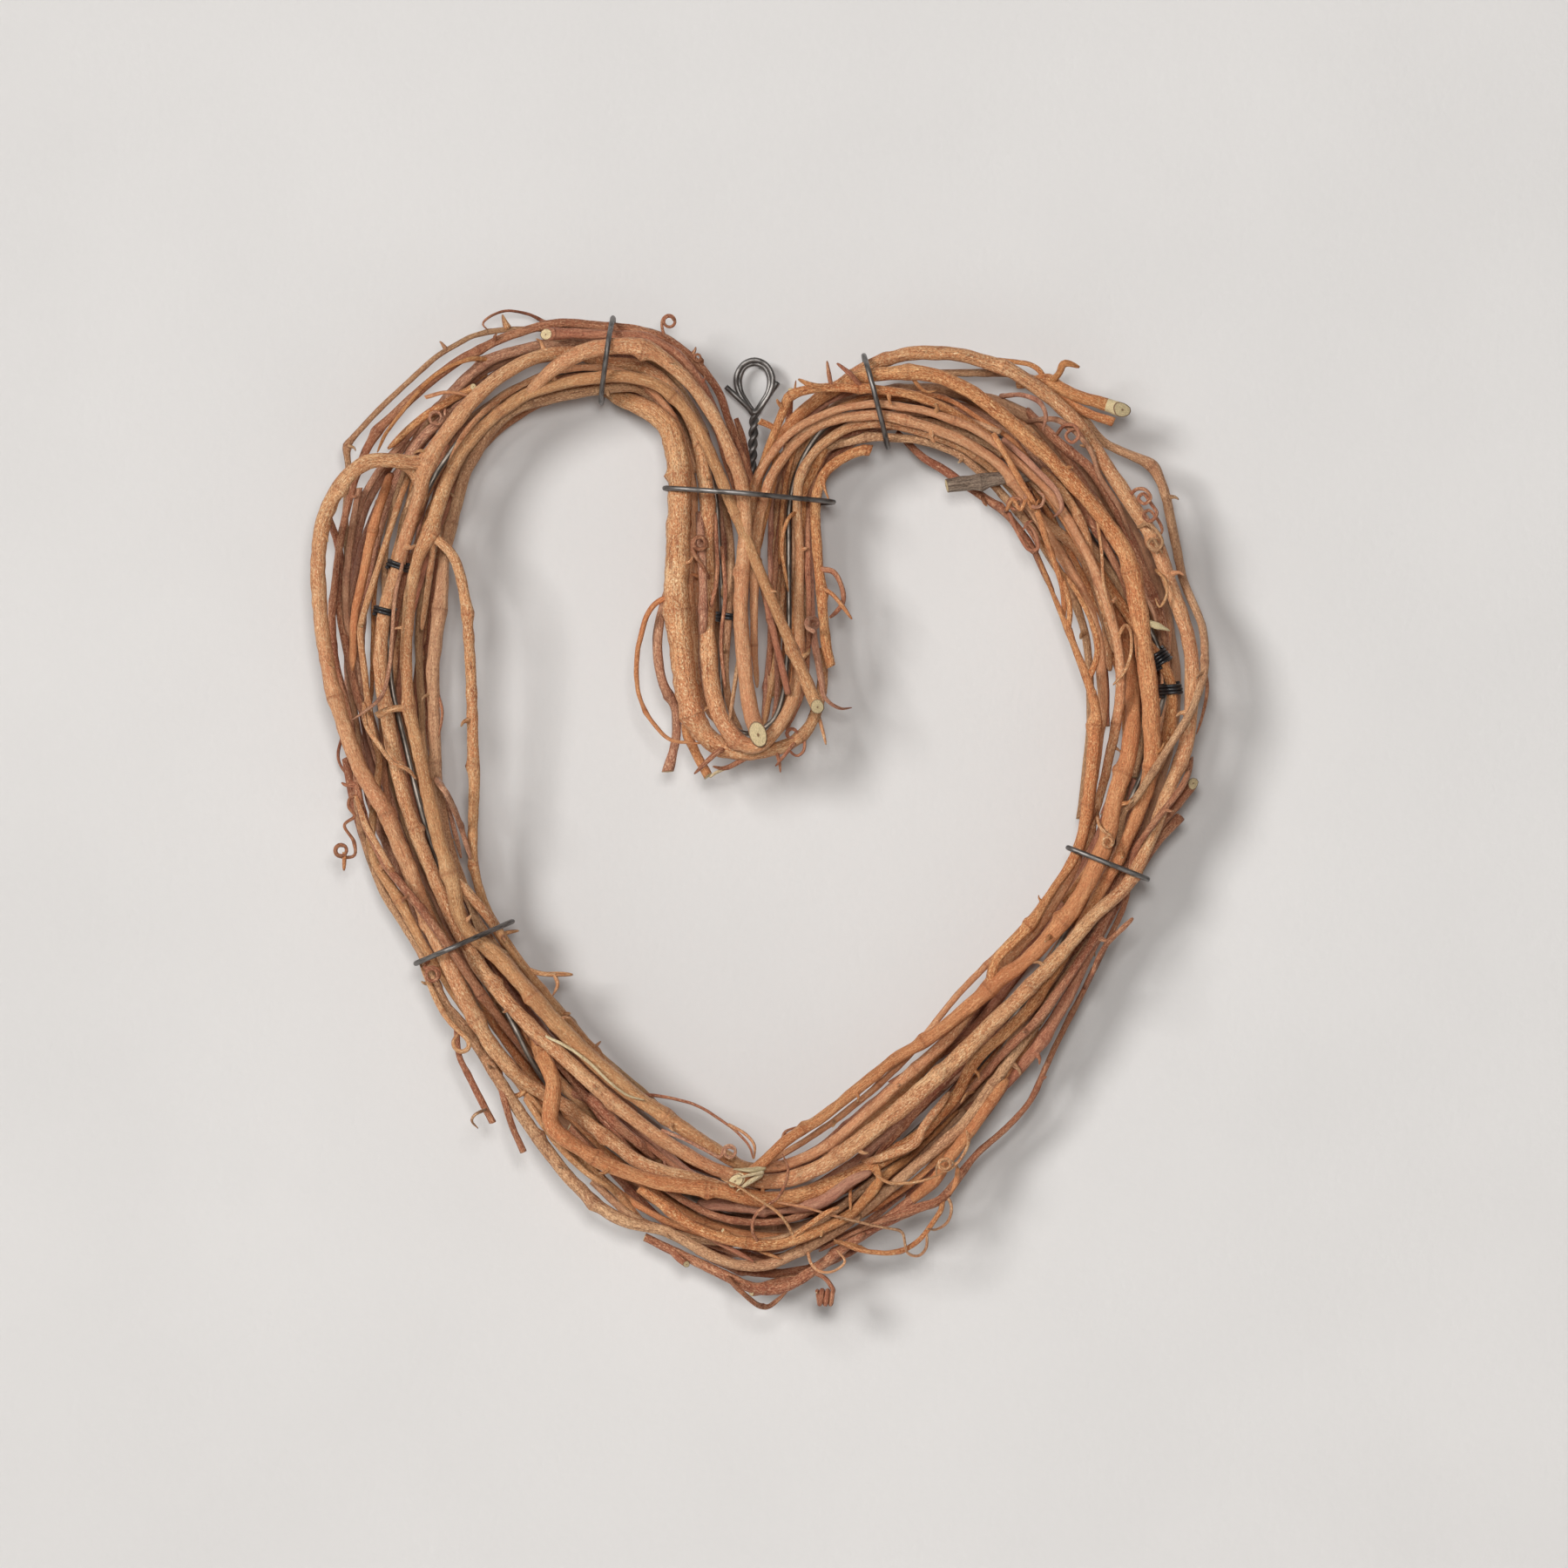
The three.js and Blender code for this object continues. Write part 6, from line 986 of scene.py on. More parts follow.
# Where a plane cuts a cane: the middle of the ring, or its offset from the drawn line, and a number
# that is the ring's size or its cost.
Ring = tuple[np.ndarray, float]


class PackedTube:
    """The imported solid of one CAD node, cut across to find the middles of its canes.

    Lengths are in millimetres. The cost of a ring grows with its distance from the drawn line and
    with the misfit of its size, and the cost of a chain with every ring that it leaves out.
    """

    PACES = (0.8, 2.4)
    PACE_PER_RADIUS = 1.8
    START_SHARE, STOP_SHARE, LEAST_SHARE = 0.3, 0.2, 0.4
    DRAWN_REACH, LOOSE_REACH, SEARCH_REACH = 4.5, 14.0, 24.0
    DRAWN_COST, LOOSE_COST, DEPTH_COST, MISFIT_COST = 0.5, 0.1, 0.04, 3
    LARGEST_MISFIT = 0.5
    SMALLEST_RING = 1e-3
    SKIP_COST, ROOT_SKIP_COST = 1.6, 0.3
    LOOK_BACK = 12
    ROOT_SLACK, ROOT_SLACK_GROWTH, ROOT_CALM = 0.8, 0.5, 5
    SLACK, SLACK_GROWTH = 0.3, 0.35

    def __init__(self, piece: bpy.types.Object) -> None:
        """Reads the node's loose triangles and joins their corners.

        Args:
            piece: The CAD node's object, which isn't changed.
        """
        mesh = piece.data
        corners = np.empty(len(mesh.vertices) * 3)
        mesh.vertices.foreach_get("co", corners)
        corners = np.round(corners.reshape(-1, 3) / MM, 4)
        order = np.empty(len(mesh.loops), dtype=np.int64)
        mesh.loops.foreach_get("vertex_index", order)
        self.corners, joined = np.unique(corners, axis=0, return_inverse=True)
        self.faces = joined.reshape(-1)[order].reshape(-1, 3)
        spots = self.corners[self.faces]
        self.middles = spots.mean(axis=1)
        self.reaches = np.linalg.norm(spots - self.middles[:, None], axis=2).max(axis=1)

    def rings(self, spot: np.ndarray, normal: np.ndarray, reach: float) -> list[Ring]:
        """The rings in which a plane cuts the node near a place.

        Args:
            spot: A place on the plane.
            normal: The plane's normal.
            reach: How far from the place a ring may lie.

        Returns:
            The middle and the largest radius of each ring.
        """
        near = np.linalg.norm(self.middles - spot, axis=1) < self.reaches + reach
        faces = self.faces[near]
        height = ((self.corners - spot) @ normal)[faces]
        above = height > 0
        crossed = above.any(axis=1) & ~above.all(axis=1)
        faces, height = faces[crossed], height[crossed]
        if not len(faces):
            return []
        others, other_height = np.roll(faces, -1, axis=1), np.roll(height, -1, axis=1)
        hit = (height > 0) != (other_height > 0)
        share = (height[hit] / (height[hit] - other_height[hit]))[:, None]
        start, stop = self.corners[faces[hit]], self.corners[others[hit]]
        spots = (start + (stop - start) * share).reshape(-1, 2, 3)
        low, high = np.minimum(faces, others)[hit], np.maximum(faces, others)[hit]
        keys = (low * len(self.corners) + high).reshape(-1, 2)
        group: dict[int, int] = {}

        def root(key: int) -> int:
            """The edge that stands for all edges joined to this one."""
            while group.setdefault(key, key) != key:
                key = group[key]
            return key

        for one, other in keys.tolist():
            group[root(one)] = root(other)
        names = np.array([root(one) for one in keys[:, 0].tolist()])
        found = []
        for name in np.unique(names):
            part = spots[names == name]
            lengths = np.linalg.norm(part[:, 1] - part[:, 0], axis=1)
            if lengths.sum() < self.SMALLEST_RING:
                continue
            middle = (part.mean(axis=1) * lengths[:, None]).sum(axis=0) / lengths.sum()
            size = np.linalg.norm(part - middle, axis=2).max()
            found.append((middle, float(size)))
        return found

    def offsets(self, path: Path, anchor: np.ndarray | None, until: float, loose: bool) -> np.ndarray:
        """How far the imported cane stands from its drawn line, at each sample.

        The rings nearest to the line are chained with the least change from ring to ring, and
        a ring may be left out where two canes are fused.

        Args:
            path: The drawn line.
            anchor: The offset at its root, if it grows from another cane.
            until: The length along the line after which no ring is looked for.
            loose: Whether the cane may stand further from its line.

        Returns:
            One offset for each sample.
        """
        pace = float(path.radii.mean()) * self.PACE_PER_RADIUS
        pace = min(self.PACES[1], max(self.PACES[0], pace))
        last = max(until - pace * self.STOP_SHARE, pace * self.LEAST_SHARE)
        marks = np.arange(pace * self.START_SHARE, last, pace)
        widest = self.LOOSE_REACH if loose else self.DRAWN_REACH
        flat_cost = self.LOOSE_COST if loose else self.DRAWN_COST
        stages = []
        for mark in marks:
            spot, ahead, radius = path.at(float(mark))
            options = []
            for middle, size in self.rings(spot, ahead, self.SEARCH_REACH):
                offset = middle - spot
                flat = math.hypot(offset[0], offset[2])
                misfit = abs(math.log(size / radius))
                if flat > widest or misfit > self.LARGEST_MISFIT:
                    continue
                cost = flat_cost * flat + self.DEPTH_COST * abs(offset[1]) + self.MISFIT_COST * misfit
                options.append((offset, cost))
            stages.append(options)
        chain = self.chain(marks, stages, anchor)
        if anchor is not None:
            chain = [(0.0, anchor)] + chain
        if not chain:
            return np.zeros_like(path.places)
        known = np.array([mark for mark, _ in chain])
        values = np.array([offset for _, offset in chain])
        return np.stack([np.interp(path.along, known, values[:, k]) for k in range(3)], axis=1)

    def chain(
        self, marks: np.ndarray, stages: list[list[Ring]], anchor: np.ndarray | None
    ) -> list[tuple[float, np.ndarray]]:
        """The cheapest chain through the rings of all stages.

        Args:
            marks: The length along the line of each stage.
            stages: The offset and cost of each stage's rings.
            anchor: The offset at the root, or nothing.

        Returns:
            The length and offset of each ring in the chain.
        """
        skip = self.SKIP_COST
        best: list[list[tuple[float, tuple[int, int] | None]]] = []
        for i, options in enumerate(stages):
            row = []
            for offset, cost in options:
                total, came = skip * i, None
                if anchor is not None:
                    slack = self.ROOT_SLACK + self.ROOT_SLACK_GROWTH * marks[i]
                    change = float(np.linalg.norm(offset - anchor)) / slack
                    total = self.ROOT_SKIP_COST * i + change**2 / (1 + change**2 / self.ROOT_CALM)
                for j in range(max(0, i - self.LOOK_BACK), i):
                    slack = self.SLACK + self.SLACK_GROWTH * (marks[i] - marks[j])
                    for k, (other, _) in enumerate(stages[j]):
                        change = float(np.linalg.norm(offset - other)) / slack
                        tried = best[j][k][0] + change * change + skip * (i - j - 1)
                        if tried < total:
                            total, came = tried, (j, k)
                row.append((total + cost, came))
            best.append(row)
        last, lowest = None, math.inf
        for i, row in enumerate(best):
            for k, (total, _) in enumerate(row):
                whole = total + skip * (len(stages) - 1 - i)
                if whole < lowest:
                    last, lowest = (i, k), whole
        chain = []
        while last is not None:
            i, k = last
            chain.append((float(marks[i]), stages[i][k][0]))
            last = best[i][k][1]
        return chain[::-1]


@dataclass
class Strand:
    """One cane or shoot where it really lies."""

    name: str
    bark: Bark
    path: Path
    parent: "Strand | None" = None
    knots: tuple[float, ...] = ()
    end: End = End.WITHERED


def softened(values: np.ndarray, spread: float, closed: bool = False) -> np.ndarray:
    """Values smoothed along their samples, with weights that reach out to a few times the spread.

    Args:
        values: Rows of values at even steps.
        spread: The spread of the smoothing in samples.
        closed: Whether the rows run round a closed line.

    Returns:
        The smoothed rows. The first and last rows of an open line stay.
    """
    spreads_out = 2.5
    reach = max(1, math.ceil(spread * spreads_out))
    weights = np.exp(-((np.arange(-reach, reach + 1) / spread) ** 2) / 2)
    weights /= weights.sum()
    if closed:
        padded = np.concatenate([values[-reach - 1 : -1], values, values[1 : reach + 1]])
    else:
        before = 2 * values[:1] - values[reach:0:-1]
        after = 2 * values[-1:] - values[-2 : -reach - 2 : -1]
        if len(before) < reach or len(after) < reach:
            return values
        padded = np.concatenate([before, values, after])
    columns = [np.convolve(padded[:, k], weights, mode="valid") for k in range(values.shape[1])]
    return np.stack(columns, axis=1)


def bundle_places(shares: np.ndarray, sides: np.ndarray) -> np.ndarray:
    """Drawn places in the bundle.

    Args:
        shares: How far along the bundle each place lies, from 0 to 1.
        sides: How far to one side of its middle line, from -1 to 1.

    Returns:
        Rows of x and y.
    """
    line = np.array(BUNDLE, dtype=float)
    steps = np.linalg.norm(np.diff(line[:, :2], axis=0), axis=1)
    along = np.concatenate([[0.0], np.cumsum(steps)])
    rows = []
    for share, side in zip(shares, sides):
        target = share * along[-1]
        span = min(int(np.searchsorted(along[1:], target, side="left")), len(line) - 2)
        part = (target - along[span]) / steps[span]
        here = line[span] * (1 - part) + line[span + 1] * part
        run = (line[span + 1] - line[span])[:2] / steps[span]
        rows.append((here[0] - run[1] * here[2] * side, here[1] + run[0] * here[2] * side))
    return np.array(rows)


def hidden_table(cane: HiddenCane, index: int) -> np.ndarray:
    """The drawn places of a cane inside the bundle, which sways from side to side.

    Args:
        cane: The cane.
        index: Its number in the list, from 0.

    Returns:
        Rows of x, y, distance and width.
    """
    state = (index * cane.DRAW_STEP + cane.DRAW_START) * cane.DRAW_FACTOR + cane.DRAW_SHIFT
    phase = (state % cane.DRAW_RANGE) / cane.DRAW_RANGE * cane.LARGEST_PHASE
    shares = np.linspace(cane.start, cane.stop, cane.SAMPLES)
    sides = cane.side + cane.SWAY * np.sin(phase + shares * cane.SWAY_PACE)
    sides = np.clip(sides, -cane.SIDE_LIMIT, cane.SIDE_LIMIT)
    depths = cane.depth + cane.DEPTH_SWAY * np.sin(phase * 2 + shares * cane.DEPTH_PACE)
    widths = np.full(cane.SAMPLES, float(cane.width))
    widths[[0, -1]] *= cane.END_TAPER
    return np.column_stack([bundle_places(shares, sides), depths, widths])


class Vineyard:
    """Every cane and shoot of the wreath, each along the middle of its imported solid.

    Lengths are in millimetres, apart from the drawn width from which a cane has a cut end.
    """

    STOUT_WIDTH = 2.2
    CUT_WIDTH = 7.5
    CANE_SPREAD, SHOOT_SPREAD, MEND_SPREAD = 2.2, 1.0, 1.5
    COVERED, NEARBY = 1.0, 1.6
    FEWEST_CORNERS = 3
    LEAST_SHARE = 0.25
    MEND_PACE = 2.0

    def __init__(self, nodes: dict[str, bpy.types.Object]) -> None:
        """Starts with no strand.

        Args:
            nodes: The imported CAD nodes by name.
        """
        self.nodes = nodes
        self.strands: dict[str, Strand] = {}
        self.drawn: dict[str, Path] = {}
        self.tubes: dict[str, PackedTube] = {}

    def tube(self, node: str) -> PackedTube:
        """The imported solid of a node, read once."""
        if node not in self.tubes:
            self.tubes[node] = PackedTube(self.nodes[node])
        return self.tubes[node]

    def settle(
        self,
        name: str,
        bark: Bark,
        table: np.ndarray,
        stem: int | None = None,
        knots: tuple[tuple[float, float], ...] = (),
        loose: bool = False,
        closed: bool = False,
    ) -> Strand:
        """Finds where one cane or shoot really lies.

        Args:
            name: Its name.
            bark: Its bark.
            table: Its drawn places.
            stem: How many of them come before its coil, if it has one.
            knots: The drawn places of its knots.
            loose: Whether it may lie further from its drawn line.
            closed: Whether it closes on itself.

        Returns:
            The strand.
        """
        parent = self.strands.get(name.rpartition(".")[0])
        width = float(table[:, 3].mean()) * UNIT
        step = STOUT_STEP if width > self.STOUT_WIDTH else FINE_STEP
        path = Path.drawn(table, step, closed)
        until = path.length
        if stem is not None:
            until = float(path.along[path.nearest(place(*table[stem - 1, :2]))])
        anchor = None
        if parent is not None:
            root = self.drawn[parent.name].nearest(path.places[0])
            anchor = parent.path.places[min(root, len(parent.path.places) - 1)] - path.places[0]
        offsets = self.tube(name.partition(".")[0]).offsets(path, anchor, until, loose)
        spread = self.CANE_SPREAD if parent is None else self.SHOOT_SPREAD
        moved = path.places + softened(offsets, spread / step, closed)
        actual = Path(moved, path.radii, closed)
        marks = tuple(float(actual.along[path.nearest(place(*knot))]) for knot in knots)
        end = End.CUT if table[-1, 3] > self.CUT_WIDTH else End.WITHERED
        strand = Strand(name, bark, actual, parent, marks, end)
        self.strands[name] = strand
        self.drawn[name] = path
        return strand

    def grow(self) -> None:
        """Settles every drawn and hidden cane with its shoots."""
        for growth in GROWTHS:
            table = filled(growth.route)
            stem = len(table) if growth.coil else None
            if growth.coil:
                table = growth.coil.after(table)
            self.settle(growth.name, growth.bark, table, stem, growth.knots)
        for index, cane in enumerate(HIDDEN_CANES):
            name = f"cane_hidden_{index + 1}"
            self.settle(name, cane.bark, hidden_table(cane, index), loose=True)
        for node in self.tubes:
            self.mend(node)

    def mend(self, node: str) -> None:
        """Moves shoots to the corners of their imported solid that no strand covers.

        Args:
            node: The CAD node.
        """
        strands = self.of_node(node)
        corners = self.tube(node).corners

        def uncovered() -> np.ndarray:
            """The corners that lie off every strand."""
            spots = np.concatenate([strand.path.places for strand in strands])
            radii = np.concatenate([strand.path.radii for strand in strands])
            away = np.linalg.norm(corners[:, None] - spots[None], axis=2) - radii
            return corners[away.min(axis=1) > self.COVERED]

        for strand in strands:
            missed, path = uncovered(), strand.path
            if strand.parent is None or len(missed) < self.FEWEST_CORNERS:
                continue
            flat = np.linalg.norm(missed[:, None, ::2] - path.places[None, :, ::2], axis=2)
            near = flat.min(axis=1) < path.radii.mean() + self.NEARBY
            marks = path.along[flat[near].argmin(axis=1)]
            if near.sum() < self.FEWEST_CORNERS or np.ptp(marks) < self.LEAST_SHARE * path.length:
                continue
            known = np.unique(np.round(marks / self.MEND_PACE)) * self.MEND_PACE
            groups = [missed[near][np.abs(marks - mark) < self.MEND_PACE] for mark in known]
            levels = [float(group[:, 1].mean()) for group in groups if len(group)]
            known = [float(mark) for mark, group in zip(known, groups) if len(group)]
            root = float(path.places[0, 1])
            start = 0.0 if known[0] > 1.0 else -1.0
            level = np.interp(path.along, [start] + known, [root] + levels)
            level = softened(level[:, None], self.MEND_SPREAD)[:, 0]
            moved = np.column_stack([path.places[:, 0], level, path.places[:, 2]])
            strand.path = Path(moved, path.radii)
            if len(uncovered()) >= len(missed):
                strand.path = path

    def of_node(self, node: str) -> list[Strand]:
        """The strands of one CAD node."""
        return [s for s in self.strands.values() if s.name.partition(".")[0] == node]


class Thicket:
    """The room that the canes and wires take, for threading finer shoots between them.

    Lengths are in millimetres. A shoot may pass at any of the levels, and each level costs more
    the further it is from the drawn one, the less room it has and the steeper the way to it.
    """

    LEVELS = np.arange(-37.0, 1.0, 0.5)
    SEARCH_REACH, WIDEST_GAP, WANTED_GAP = 6.0, 3.0, 0.2
    ROOT_REACH, ROOT_LENGTH = 0.8, 6.0
    PACE, SLOPE, SPREAD = 1.5, 0.55, 1.1
    EDGE_COST, CRUSH_COST, ROOT_COST, SLOPE_COST = 90, 14, 50, 0.9

    def __init__(self, paths: list[Path], front: float) -> None:
        """Starts with the room of some lines.

        Args:
            paths: The lines that take room.
            front: The foremost place that a shoot may reach.
        """
        self.paths = list(paths)
        self.front = front
        self.spots = np.zeros((0, 3))
        self.radii = np.zeros(0)
        self.gather()

    def gather(self) -> None:
        """Reads the samples of every line."""
        self.spots = np.concatenate([path.places for path in self.paths])
        self.radii = np.concatenate([path.radii for path in self.paths])

    def gaps(self, spot: np.ndarray, radius: float) -> np.ndarray:
        """The gap from a sample to the nearest cane at each level, below 0 inside one."""
        flat = ((self.spots[:, ::2] - spot[::2]) ** 2).sum(axis=1)
        near = flat < (radius + self.SEARCH_REACH) ** 2
        if not near.any():
            return np.full(len(self.LEVELS), self.WIDEST_GAP)
        deep = self.spots[near, 1][None] - self.LEVELS[:, None]
        away = np.sqrt(flat[near][None] + deep**2) - self.radii[near][None] - radius
        return np.minimum(away.min(axis=1), self.WIDEST_GAP)

    def rooted(self, path: Path) -> Path:
        """Moves a line's start to the middle of the cane that it is drawn from."""
        start = path.places[0]
        flat = np.sqrt(((self.spots[:, ::2] - start[::2]) ** 2).sum(axis=1))
        near = flat < self.radii + self.ROOT_REACH
        if not near.any():
            return path
        deep = self.spots[near, 1]
        level = deep[np.abs(deep - start[1]).argmin()]
        moved = path.places.copy()
        moved[:, 1] += (level - start[1]) * np.clip(1 - path.along / self.ROOT_LENGTH, 0, 1)
        return Path(moved, path.radii)

    def thread(self, path: Path, wish: float, root: float = 0.0) -> Path:
        """Moves a line towards or from the wall so that it passes between the canes.

        Args:
            path: The line as drawn.
            wish: The weight of its drawn distance from the wall.
            root: The length at its start that may lie in another cane.

        Returns:
            The line in the free room nearest to its drawn place.
        """
        levels = self.LEVELS
        pace = path.length / (len(path.places) - 1)
        step = max(1, round(self.PACE / pace))
        picks = np.unique(np.append(np.arange(0, len(path.places), step), len(path.places) - 1))
        change = (levels[:, None] - levels[None, :]) / (step * pace * self.SLOPE)
        total, came = np.zeros(len(levels)), []
        for pick in picks:
            spot, radius = path.places[pick], float(path.radii[pick])
            cost = wish * (levels - spot[1]) ** 2
            cost = cost + self.EDGE_COST * np.maximum(0, levels + radius - BACK_Y) ** 2
            cost = cost + self.EDGE_COST * np.maximum(0, self.front + radius - levels) ** 2
            if path.along[pick] >= root:
                crush = np.maximum(0.0, self.WANTED_GAP - self.gaps(spot, radius))
                cost = cost + self.CRUSH_COST * crush**2
            elif pick == 0 and root:
                cost = cost + self.ROOT_COST * np.abs(levels - spot[1])
            tried = total[:, None] + change**2 * self.SLOPE_COST
            came.append(tried.argmin(axis=0))
            total = tried.min(axis=0) + cost
        k = int(total.argmin())
        chosen = [k]
        for back in reversed(came[1:]):
            k = int(back[k])
            chosen.append(k)
        moved = path.places.copy()
        moved[:, 1] = np.interp(np.arange(len(moved)), picks, levels[np.array(chosen[::-1])])
        moved[:, 1] = softened(moved[:, 1:2], step * self.SPREAD)[:, 0]
        return Path(moved, path.radii)


def turned_frames(path: Path) -> tuple[np.ndarray, np.ndarray]:
    """Two directions across a line at each sample that don't twist along it.

    Args:
        path: The line.

    Returns:
        The first and the second direction at each sample.
    """
    ahead = path.ahead
    first = np.cross(ahead[0], (0.0, 1.0, 0.0))
    if np.linalg.norm(first) < 0.1:
        first = np.cross(ahead[0], (1.0, 0.0, 0.0))
    rows = [unit(first)]
    for here in ahead[1:]:
        kept = rows[-1] - here * float(rows[-1] @ here)
        rows.append(unit(kept))
    firsts = np.array(rows)
    if path.closed:
        slip = math.atan2(
            float(np.cross(firsts[-1], firsts[0]) @ ahead[0]),
            float(firsts[-1] @ firsts[0]),
        )
        seconds = np.cross(ahead, firsts)
        turn = (path.along / path.length * slip)[:, None]
        firsts = firsts * np.cos(turn) + seconds * np.sin(turn)
    return firsts, np.cross(ahead, firsts)


@dataclass
class Relief:
    """The uneven surface of one strand, drawn from its name."""

    strand: Strand
    plain: float = 0.985
    ridge: float = 0.05
    ridge_share: float = 0.6
    ridge_drift: float = 0.03
    ridge_wander: float = 0.8
    wander_length: float = 23.0
    lump: float = 0.055
    lumps: int = 16
    most_lump_sides: int = 3
    lump_lengths: tuple[float, float] = (3.5, 26.0)
    knot_gap: float = 46.0
    first_knot: tuple[float, float] = (0.3, 0.9)
    next_knot: tuple[float, float] = (0.7, 1.3)
    knot_clearance: float = 22.0
    end_clearance: float = 8.0
    knot_swell: float = 0.24
    knot_length: float = 1.6
    knot_lean: float = 0.4
    drawn_knot: float = 1.45
    scar_length: float = 1.7
    bud_swell: float = 0.3
    bud_shift: float = 0.6
    bud_length: float = 1.1
    bud_width: float = 0.42
    knots: np.ndarray = field(init=False)
    sizes: np.ndarray = field(init=False)
    bud_turns: np.ndarray = field(init=False)
    waves: np.ndarray = field(init=False)
    ridge_starts: np.ndarray = field(init=False)
    ridge_drifts: np.ndarray = field(init=False)

    RIDGES = (2, 3, 5, 7)

    def __post_init__(self) -> None:
        """Draws the waves, knots and buds."""
        random = seed_of(self.strand.name)
        length = self.strand.path.length
        extra = []
        mark = random.uniform(*self.first_knot) * self.knot_gap
        while mark < length - self.end_clearance and not self.strand.path.closed:
            if all(abs(mark - knot) > self.knot_clearance for knot in self.strand.knots):
                extra.append(mark)
            mark += random.uniform(*self.next_knot) * self.knot_gap
        self.knots = np.array(list(self.strand.knots) + extra)
        self.sizes = np.array([self.drawn_knot] * len(self.strand.knots) + [1.0] * len(extra))
        self.bud_turns = random.uniform(-math.pi, math.pi, len(self.knots))
        around = random.integers(0, self.most_lump_sides + 1, self.lumps)
        pace = math.tau / random.uniform(*self.lump_lengths, self.lumps)
        pace = pace * random.choice([-1, 1], self.lumps)
        start = random.uniform(0, math.tau, self.lumps)
        self.waves = np.stack([around, pace, start], axis=1)
        self.ridge_starts = random.uniform(0, math.tau, len(self.RIDGES))
        self.ridge_drifts = random.uniform(-self.ridge_drift, self.ridge_drift, len(self.RIDGES))

    def height(self, turn: np.ndarray, mark: np.ndarray) -> np.ndarray:
        """The radius as a share of the plain radius.

        Args:
            turn: The angle round the strand of each vertex.
            mark: The length along it of each vertex.

        Returns:
            One share for each vertex.
        """
        share = np.full_like(turn, self.plain)
        for k, start, drift in zip(self.RIDGES, self.ridge_starts, self.ridge_drifts):
            sway = self.ridge_wander * np.sin(mark / self.wander_length + start * 3)
            wander = start + drift * mark + sway
            share += self.ridge / math.sqrt(k) * np.cos(k * turn + wander) * self.ridge_share
        for around, pace, start in self.waves:
            share += self.lump / math.sqrt(self.lumps) * np.cos(around * turn + pace * mark + start)
        for knot, bud, size in zip(self.knots, self.bud_turns, self.sizes):
            away = (mark - knot) / (self.knot_length * size)
            ring = size * np.exp(-(away**2))
            lean = 1 - self.knot_lean + self.knot_lean * np.cos(turn - bud)
            share += self.knot_swell * ring * lean
            side = np.angle(np.exp(1j * (turn - bud)))
            reach = (mark - knot - self.bud_shift) / self.bud_length
            share += self.bud_swell * np.exp(-(reach**2) - (side / self.bud_width) ** 2)
        return share

    def knot_mask(self, mark: np.ndarray) -> np.ndarray:
        """How near each vertex is to a knot, from 0 to 1."""
        mask = np.zeros_like(mark)
        for knot in self.knots:
            mask = np.maximum(mask, np.exp(-(((mark - knot) / self.scar_length) ** 2)))
        return mask


